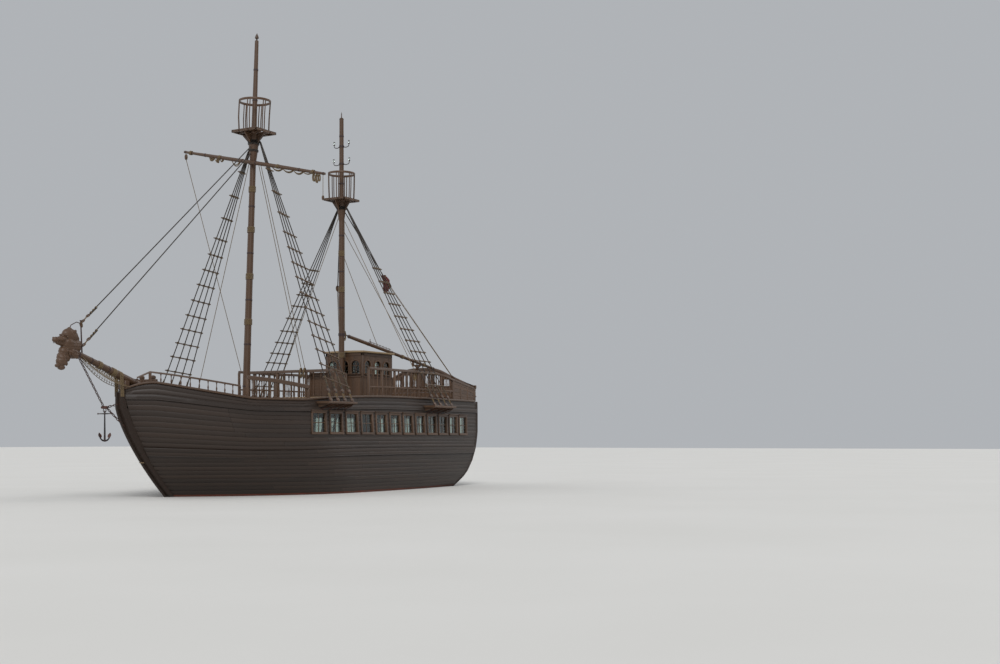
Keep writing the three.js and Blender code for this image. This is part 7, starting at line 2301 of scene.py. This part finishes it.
def build_helm():
    post = Piece("helm_pedestal")
    x = -3.96
    axle = 4.95
    rows = [(0.09, 0.11, QUARTER_DECK), (0.09, 0.11, 4.0), (0.08, 0.1, 4.03), (0.07, 0.09, 4.7),
            (0.07, 0.09, 4.8), (0.09, 0.11, 4.84), (0.09, 0.11, 4.98), (0.07, 0.09, 5.05),
            (0.03, 0.04, 5.08)]
    section = rounded(2, 2, 0.2, 2)
    post.loft([[(x + a * wx, b * wy, z) for a, b in section] for wx, wy, z in rows])
    post.turned([(0.018, 0), (0.018, 0.215)], (x, 0, axle), (-1, 0, 0), 16, slot=1)
    post.turned([(0.034, 0.085), (0.034, 0.1), (0.026, 0.108)], (x, 0, axle), (-1, 0, 0), 20, slot=1)
    post.build(["oiled_oak", "cast_bronze"], "hull", "oak", "helm_post")
    wheel = Piece("steering_wheel_turned")
    c = np.array([-4.13, 0, axle])
    rim = oval(c, (0, 0.33, 0), (0, 0, 0.33), 64)
    wheel.sweep(rim, rounded(0.036, 0.06, 0.012), up=(1, 0, 0), loop=True)
    for sign in (-1, 1):
        inlay = rim + (sign * 0.0185, 0, 0)
        wheel.sweep(inlay, rounded(0.003, 0.014, 0.001), up=(1, 0, 0), loop=True, slot=1)
    for i in range(8):
        turn = 2 * math.pi * i / 8 + 0.2
        away = (0, math.cos(turn), math.sin(turn))
        wheel.turned([(0.012, 0.04), (0.013, 0.07), (0.019, 0.09), (0.013, 0.11), (0.016, 0.2),
                      (0.012, 0.26), (0.018, 0.29), (0.013, 0.305), (0.013, 0.355), (0.016, 0.37),
                      (0.011, 0.385), (0.017, 0.42), (0.018, 0.44), (0.012, 0.465), (0.0, 0.47)],
                     c, away, 12)
    wheel.turned([(0.0195, -0.034), (0.05, -0.034), (0.06, -0.024), (0.06, 0.024), (0.05, 0.034),
                  (0.0195, 0.034)], c, (1, 0, 0), 28)
    wheel.turned([(0.022, -0.042), (0.04, -0.04), (0.042, -0.034), (0.02, -0.032)], c, (1, 0, 0), 24,
                 slot=1)
    wheel.build(["oiled_oak", "cast_bronze"], "helm_wheel", "oak", "steering_wheel")


def build_companion():
    hood = Piece("companion_boarding")
    x0, x1, y0, y1, z0 = -1.96, -0.76, 0.3, 1.36, QUARTER_DECK
    # The walls' thickness and number of boards, the doorway's edges, the lid's underside and top.
    thick, boards = 0.045, 9
    left, right = 0.424, 1.236
    lid, top = 4.94, 4.979
    for k in range(boards):
        a, b = z0 + (lid - z0) * k / boards, z0 + (lid - z0) * (k + 1) / boards - 0.002
        hood.box((x0, y0, a), (x1, y0 + thick, b), 0.004)
        hood.box((x0, y1 - thick, a), (x1, y1, b), 0.004)
        hood.box((x1 - thick, y0 + thick, a), (x1, y1 - thick, b), 0.004)
        for ya, yb in ((y0 + thick, left), (right, y1 - thick)):
            hood.box((x0, ya, a), (x0 + thick, yb, b), 0.003)
    hood.box((x0, left, 4.806), (x0 + thick, right, lid), 0.003)
    for x in (x0 + 0.02, x1 - 0.02):
        for y in (y0 + 0.02, y1 - 0.02):
            hood.box((x - 0.04, y - 0.04, z0), (x + 0.04, y + 0.04, lid + 0.03), 0.01)
    edge = 0.012
    for lo, hi in (((x0 - edge, y0 - edge), (x1 + edge, 0.45)), ((x0 - edge, 1.21), (x1 + edge, y1 + edge)),
                   ((-1.18, 0.45), (x1 + edge, 1.21))):
        hood.box((*lo, lid), (*hi, top), 0.006)
    for y in (0.31, 1.308):
        hood.box((x0, y, top), (x1 + 0.05, y + 0.042, 5.022), 0.008)
    hinges, axis = (4.08, 4.6), (-1.976, 1.233)
    for z in hinges:
        hinge(hood, *axis, z - 0.05, (0, 0.02, 0.005, 0.06), 1)
    hood.build(["oiled_oak", "forged_iron"], "hull", "oak", "companion_hood")
    door = Piece("companion_door_boards")
    for k in range(7):
        a = 0.43 + 0.8 * k / 7
        door.box((-1.953, a + 0.001, 3.96), (-1.924, a + 0.8 / 7 - 0.001, 4.8), 0.004)
    for z in hinges:
        door.box((x0, 0.45, z - 0.05), (-1.952, 1.21, z + 0.05), 0.003)
        hinge(door, *axis, z, (0, 0.02, -0.06, -0.004), 1)
        door.box((-1.9635, 0.62, z + 0.012), (-1.9595, 1.215, z + 0.04), 0.0015, slot=1)
    grip = [(-1.965 - 0.035 * math.sin(t), 0.5, 4.38 + 0.06 * math.cos(t))
            for t in np.linspace(0, math.pi, 9)]
    door.tube(grip, 0.008, 8, slot=1)
    door.build(["oiled_oak", "forged_iron"], "hood_door", "oak", "companion_door")
    hatch = Piece("companion_hatch_boards")
    for k in range(8):
        a = 0.36 + 0.94 * k / 8
        hatch.box((-1.985, a + 0.001, 4.9805), (-1.145, a + 0.94 / 8 - 0.001, 5.012), 0.004)
    for x in (-1.985, -1.21):
        hatch.box((x, 0.365, 5.011), (x + 0.06, 1.295, 5.025), 0.004)
    hatch.tube([(-1.93, 0.73, 5.012), (-1.93, 0.74, 5.05), (-1.93, 0.92, 5.05), (-1.93, 0.93, 5.012)],
               0.008, 8, slot=1)
    hatch.build(["oiled_oak", "forged_iron"], "hood_hatch", "oak", "companion_hatch")


def build_steering_gear():
    rudder = Piece("rudder_planks")
    for k in range(5):
        a, b = 18.15 + 0.2 * k, 18.15 + 0.2 * (k + 1)
        rudder.box(ship(a + 0.001, -0.052, -1.64), ship(b - 0.001, 0.052, -0.62), 0.012)
    stock = ship(18.33, 0, 0)
    rudder.turned([(0.058, -0.66), (0.058, 0.29), (0.05, 0.297)], stock, UP, 24, slot=1)
    rudder.turned([(0.019, -1.70), (0.019, -1.6)], stock, UP, 12, slot=1)
    for z in (-0.8, -1.13, -1.46):
        for _, side in SIDES:
            rudder.box(ship(18.16, side * 0.0515, z - 0.035), ship(18.95, side * 0.0595, z + 0.035),
                       0.003, slot=1)
            for a in (18.3, 18.5, 18.7, 18.88):
                rudder.turned([(0.016, 0), (0.013, 0.007), (0.003, 0.01)], ship(a, side * 0.059, z),
                              (0, side, 0), 8, slot=1)
    rudder.build(["antifouling_paint", "cast_bronze"], "rudder_blade", "hull_bottom", "rudder")
    screw = Piece("propeller_cast")
    hub = np.array([-7.8, 0, -1.18])
    screw.turned([(0.07, -0.11), (0.085, -0.09), (0.084, 0.0), (0.07, 0.09), (0.045, 0.13), (0.0, 0.15)],
                 hub, (-1, 0, 0), 28)
    screw.turned([(0.04, -1.39), (0.04, -0.1)], hub, (-1, 0, 0), 20)
    for i in range(3):
        turn = 2 * math.pi * i / 3
        away = np.array([0, -math.sin(turn), math.cos(turn)])
        across = np.array([0, math.cos(turn), math.sin(turn)])
        rings = []
        for share in np.linspace(0, 1, 12):
            r = 0.05 + 0.28 * share
            chord = 0.1 + 0.14 * math.sin(math.pi * min(1.0, share * 0.62 + 0.28)) ** 1.2 * (1 - share ** 7)
            chord *= math.sqrt(max(0.02, 1 - share ** 9))
            lean = math.radians(60 - 32 * share)
            face = across * math.cos(lean) + np.array([1, 0, 0]) * math.sin(lean)
            thick = 0.02 * (1 - 0.75 * share)
            normal = np.cross(face, away)
            rings.append(oval(hub + away * r, face * chord / 2, normal * thick, 16))
        screw.loft(rings)
    screw.build("cast_bronze", "screw", "bronze", "propeller")


# Stage


# The floor's half length, and the photograph's camera: where it stands, how it is turned, its lens.
FLOOR = 300
CAMERA_AT = (46.43, 36.90, 2.14)
CAMERA_TURN = (90, 0, 120)
CAMERA_LENS, CAMERA_SENSOR, CAMERA_SHIFT = 50.04, 36.0, 0.108
# Suns: name, strength, width in degrees and turn.
SUNS = (("key", 1.7, 24, (50, 0, 125)), ("fill", 0.6, 60, (60, 0, 30)), ("rim", 0.5, 40, (55, 0, 250)))


def put_in_scene(name, data, turn):
    """A lamp's or camera's object, turned by degrees."""
    holder = bpy.data.objects.new(name, data)
    holder.rotation_euler = [math.radians(t) for t in turn]
    bpy.context.scene.collection.objects.link(holder)
    return holder


def build_stage():
    mesh = bpy.data.meshes.new("studio_floor")
    corners = [(-FLOOR, -FLOOR, 0), (FLOOR, -FLOOR, 0), (FLOOR, FLOOR, 0), (-FLOOR, FLOOR, 0)]
    mesh.from_pydata(corners, [], [[0, 1, 2, 3]])
    mesh.materials.append(finish("pale_floor"))
    floor = bpy.data.objects.new("studio_floor", mesh)
    bpy.context.scene.collection.objects.link(floor)
    world = bpy.data.worlds.new("studio")
    bpy.context.scene.world = world
    world.use_nodes = True
    back = world.node_tree.nodes["Background"]
    back.inputs["Color"].default_value = rgba(linear("#DDE1E6"))
    back.inputs["Strength"].default_value = 0.6
    for name, power, angle, turn in SUNS:
        lamp = bpy.data.lights.new(name, "SUN")
        lamp.energy, lamp.angle = power, math.radians(angle)
        put_in_scene(name, lamp, turn)
    camera = bpy.data.cameras.new("photo_camera")
    camera.lens, camera.sensor_width, camera.shift_y = CAMERA_LENS, CAMERA_SENSOR, CAMERA_SHIFT
    camera.clip_end = 2000
    holder = put_in_scene("photo_camera", camera, CAMERA_TURN)
    holder.location = CAMERA_AT
    bpy.context.scene.camera = holder
    bpy.context.scene.view_settings.view_transform = "Standard"


# Finishes for the CAD nodes that stay


KEPT = {
    "side_port": "tarred_pine_inside", "side_starboard": "tarred_pine_inside",
    "stern": "tarred_pine_inside", "backbone": "tarred_pine_inside",
    "fore_deck": "deck_pitch", "quarter_deck": "deck_pitch",
    "deck_break": "oiled_oak_across", "saloon_bulkhead": "oiled_oak_upright",
    "saloon_bench_port": "oiled_oak_along", "saloon_bench_starboard": "oiled_oak_along",
    "saloon_ladder": "oiled_oak_across",
}
FALLBACK = {
    "tarred": "tarred_pine_inside", "oak": "oiled_oak_along", "decking": "oiled_oak_along",
    "spar": "oiled_oak_upright", "rope": "oiled_oak_upright", "iron": "forged_iron",
    "bronze": "cast_bronze", "canvas": "oiled_oak_along", "hull_bottom": "antifouling_paint",
}


def finish_kept_nodes():
    slots = {row["node"]: row["material_slot"] for row in frame["record"]["subparts"]}
    for name, kept in frame["nodes"].items():
        kept.data.materials.clear()
        kept.data.materials.append(finish(KEPT.get(name) or FALLBACK[slots[name]]))


# Operators


class SHIP_OT_bottom(bpy.types.Operator):
    """Plank the hull below the saloon floor"""
    bl_idname = "ship.bottom"
    bl_label = "Bottom planking"

    def execute(self, context):
        build_bottom()
        build_stem()
        return {"FINISHED"}


class SHIP_OT_sides(bpy.types.Operator):
    """Plank the sides and the stern, strake by strake"""
    bl_idname = "ship.sides"
    bl_label = "Side planking"

    def execute(self, context):
        build_sides()
        return {"FINISHED"}


class SHIP_OT_windows(bpy.types.Operator):
    """Frame and glaze the saloon's windows"""
    bl_idname = "ship.windows"
    bl_label = "Windows"

    def execute(self, context):
        build_windows()
        return {"FINISHED"}


class SHIP_OT_decks(bpy.types.Operator):
    """Lay the decks"""
    bl_idname = "ship.decks"
    bl_label = "Decks"

    def execute(self, context):
        build_decks()
        return {"FINISHED"}


class SHIP_OT_rails(bpy.types.Operator):
    """Add the cap rails, the rails on them and the taffrail"""
    bl_idname = "ship.rails"
    bl_label = "Rails"

    def execute(self, context):
        build_caps()
        build_rails()
        build_taffrail()
        return {"FINISHED"}


class SHIP_OT_masts(bpy.types.Operator):
    """Step the masts and set the nests and lamp arms on them"""
    bl_idname = "ship.masts"
    bl_label = "Masts and nests"

    def execute(self, context):
        build_masts()
        build_nests()
        return {"FINISHED"}


class SHIP_OT_yard(bpy.types.Operator):
    """Sling the yard with its gaskets and blocks"""
    bl_idname = "ship.yard"
    bl_label = "Yard"

    def execute(self, context):
        build_yard()
        return {"FINISHED"}


class SHIP_OT_boom(bpy.types.Operator):
    """Hang the boom and set up its crutch"""
    bl_idname = "ship.boom"
    bl_label = "Boom"

    def execute(self, context):
        build_boom()
        return {"FINISHED"}


class SHIP_OT_bowsprit(bpy.types.Operator):
    """Rig the bowsprit and lace its net"""
    bl_idname = "ship.bowsprit"
    bl_label = "Bowsprit"

    def execute(self, context):
        build_bowsprit()
        return {"FINISHED"}


class SHIP_OT_figurehead(bpy.types.Operator):
    """Carve the sea beast"""
    bl_idname = "ship.figurehead"
    bl_label = "Figurehead"

    def execute(self, context):
        build_figurehead()
        return {"FINISHED"}


class SHIP_OT_ground_tackle(bpy.types.Operator):
    """Forge the bobstay's chains and the anchor"""
    bl_idname = "ship.ground_tackle"
    bl_label = "Bobstay and anchor"

    def execute(self, context):
        build_ground_tackle()
        return {"FINISHED"}


class SHIP_OT_shrouds(bpy.types.Operator):
    """Set up the shrouds with deadeyes, rungs and channels"""
    bl_idname = "ship.shrouds"
    bl_label = "Shrouds"

    def execute(self, context):
        for row in SHROUDS:
            shroud_set(*row)
        return {"FINISHED"}


class SHIP_OT_stays(bpy.types.Operator):
    """Set up the fore stays and the backstays"""
    bl_idname = "ship.stays"
    bl_label = "Stays"

    def execute(self, context):
        build_stays()
        return {"FINISHED"}


class SHIP_OT_running_rigging(bpy.types.Operator):
    """Lead the halyards"""
    bl_idname = "ship.running_rigging"
    bl_label = "Running rigging"

    def execute(self, context):
        build_running_rigging()
        return {"FINISHED"}


class SHIP_OT_flag(bpy.types.Operator):
    """Gather the flag on the port backstay"""
    bl_idname = "ship.flag"
    bl_label = "Furled flag"

    def execute(self, context):
        build_flag()
        return {"FINISHED"}


class SHIP_OT_deck_gear(bpy.types.Operator):
    """Fit the bitts and the windlass"""
    bl_idname = "ship.deck_gear"
    bl_label = "Bitts and windlass"

    def execute(self, context):
        build_deck_gear()
        return {"FINISHED"}


class SHIP_OT_wheelhouse(bpy.types.Operator):
    """Board, roof and glaze the wheelhouse"""
    bl_idname = "ship.wheelhouse"
    bl_label = "Wheelhouse"

    def execute(self, context):
        build_wheelhouse()
        return {"FINISHED"}


class SHIP_OT_helm(bpy.types.Operator):
    """Turn the steering wheel and its pedestal"""
    bl_idname = "ship.helm"
    bl_label = "Helm"

    def execute(self, context):
        build_helm()
        return {"FINISHED"}


class SHIP_OT_companion(bpy.types.Operator):
    """Board the companion hood, its hatch and its door"""
    bl_idname = "ship.companion"
    bl_label = "Companionway"

    def execute(self, context):
        build_companion()
        return {"FINISHED"}


class SHIP_OT_steering_gear(bpy.types.Operator):
    """Hang the rudder and cast the propeller"""
    bl_idname = "ship.steering_gear"
    bl_label = "Rudder and propeller"

    def execute(self, context):
        build_steering_gear()
        return {"FINISHED"}


class SHIP_OT_kept(bpy.types.Operator):
    """Give the CAD nodes that stay their finish"""
    bl_idname = "ship.kept"
    bl_label = "Kept nodes"

    def execute(self, context):
        finish_kept_nodes()
        return {"FINISHED"}


class SHIP_OT_stage(bpy.types.Operator):
    """Set the floor, the lights and the camera"""
    bl_idname = "ship.stage"
    bl_label = "Stage"

    def execute(self, context):
        build_stage()
        return {"FINISHED"}


OPERATORS = (
    SHIP_OT_bottom,
    SHIP_OT_sides,
    SHIP_OT_windows,
    SHIP_OT_decks,
    SHIP_OT_rails,
    SHIP_OT_masts,
    SHIP_OT_yard,
    SHIP_OT_boom,
    SHIP_OT_bowsprit,
    SHIP_OT_figurehead,
    SHIP_OT_ground_tackle,
    SHIP_OT_shrouds,
    SHIP_OT_stays,
    SHIP_OT_running_rigging,
    SHIP_OT_flag,
    SHIP_OT_deck_gear,
    SHIP_OT_wheelhouse,
    SHIP_OT_helm,
    SHIP_OT_companion,
    SHIP_OT_steering_gear,
    SHIP_OT_kept,
    SHIP_OT_stage,
)


class SHIP_PT_panel(bpy.types.Panel):
    """Sizes, colours and pieces of the ship"""
    bl_idname = "SHIP_PT_panel"
    bl_label = "Pirate ship tour boat"
    bl_space_type = "VIEW_3D"
    bl_region_type = "UI"
    bl_category = "Ship"

    def draw(self, context):
        for group in (context.scene.ship_sizes, context.scene.ship_colours):
            for name in group.__annotations__:
                self.layout.prop(group, name)
        for kind in OPERATORS:
            self.layout.operator(kind.bl_idname)


CLASSES = (ShipSizes, ShipColours, *OPERATORS, SHIP_PT_panel)


def register():
    for kind in CLASSES:
        bpy.utils.register_class(kind)
    bpy.types.Scene.ship_sizes = PointerProperty(type=ShipSizes)
    bpy.types.Scene.ship_colours = PointerProperty(type=ShipColours)


def unregister():
    del bpy.types.Scene.ship_colours
    del bpy.types.Scene.ship_sizes
    for kind in reversed(CLASSES):
        bpy.utils.unregister_class(kind)


def main():
    register()
    for kind in OPERATORS:
        group, name = kind.bl_idname.split(".")
        getattr(getattr(bpy.ops, group), name)()


if __name__ == "__main__":
    main()
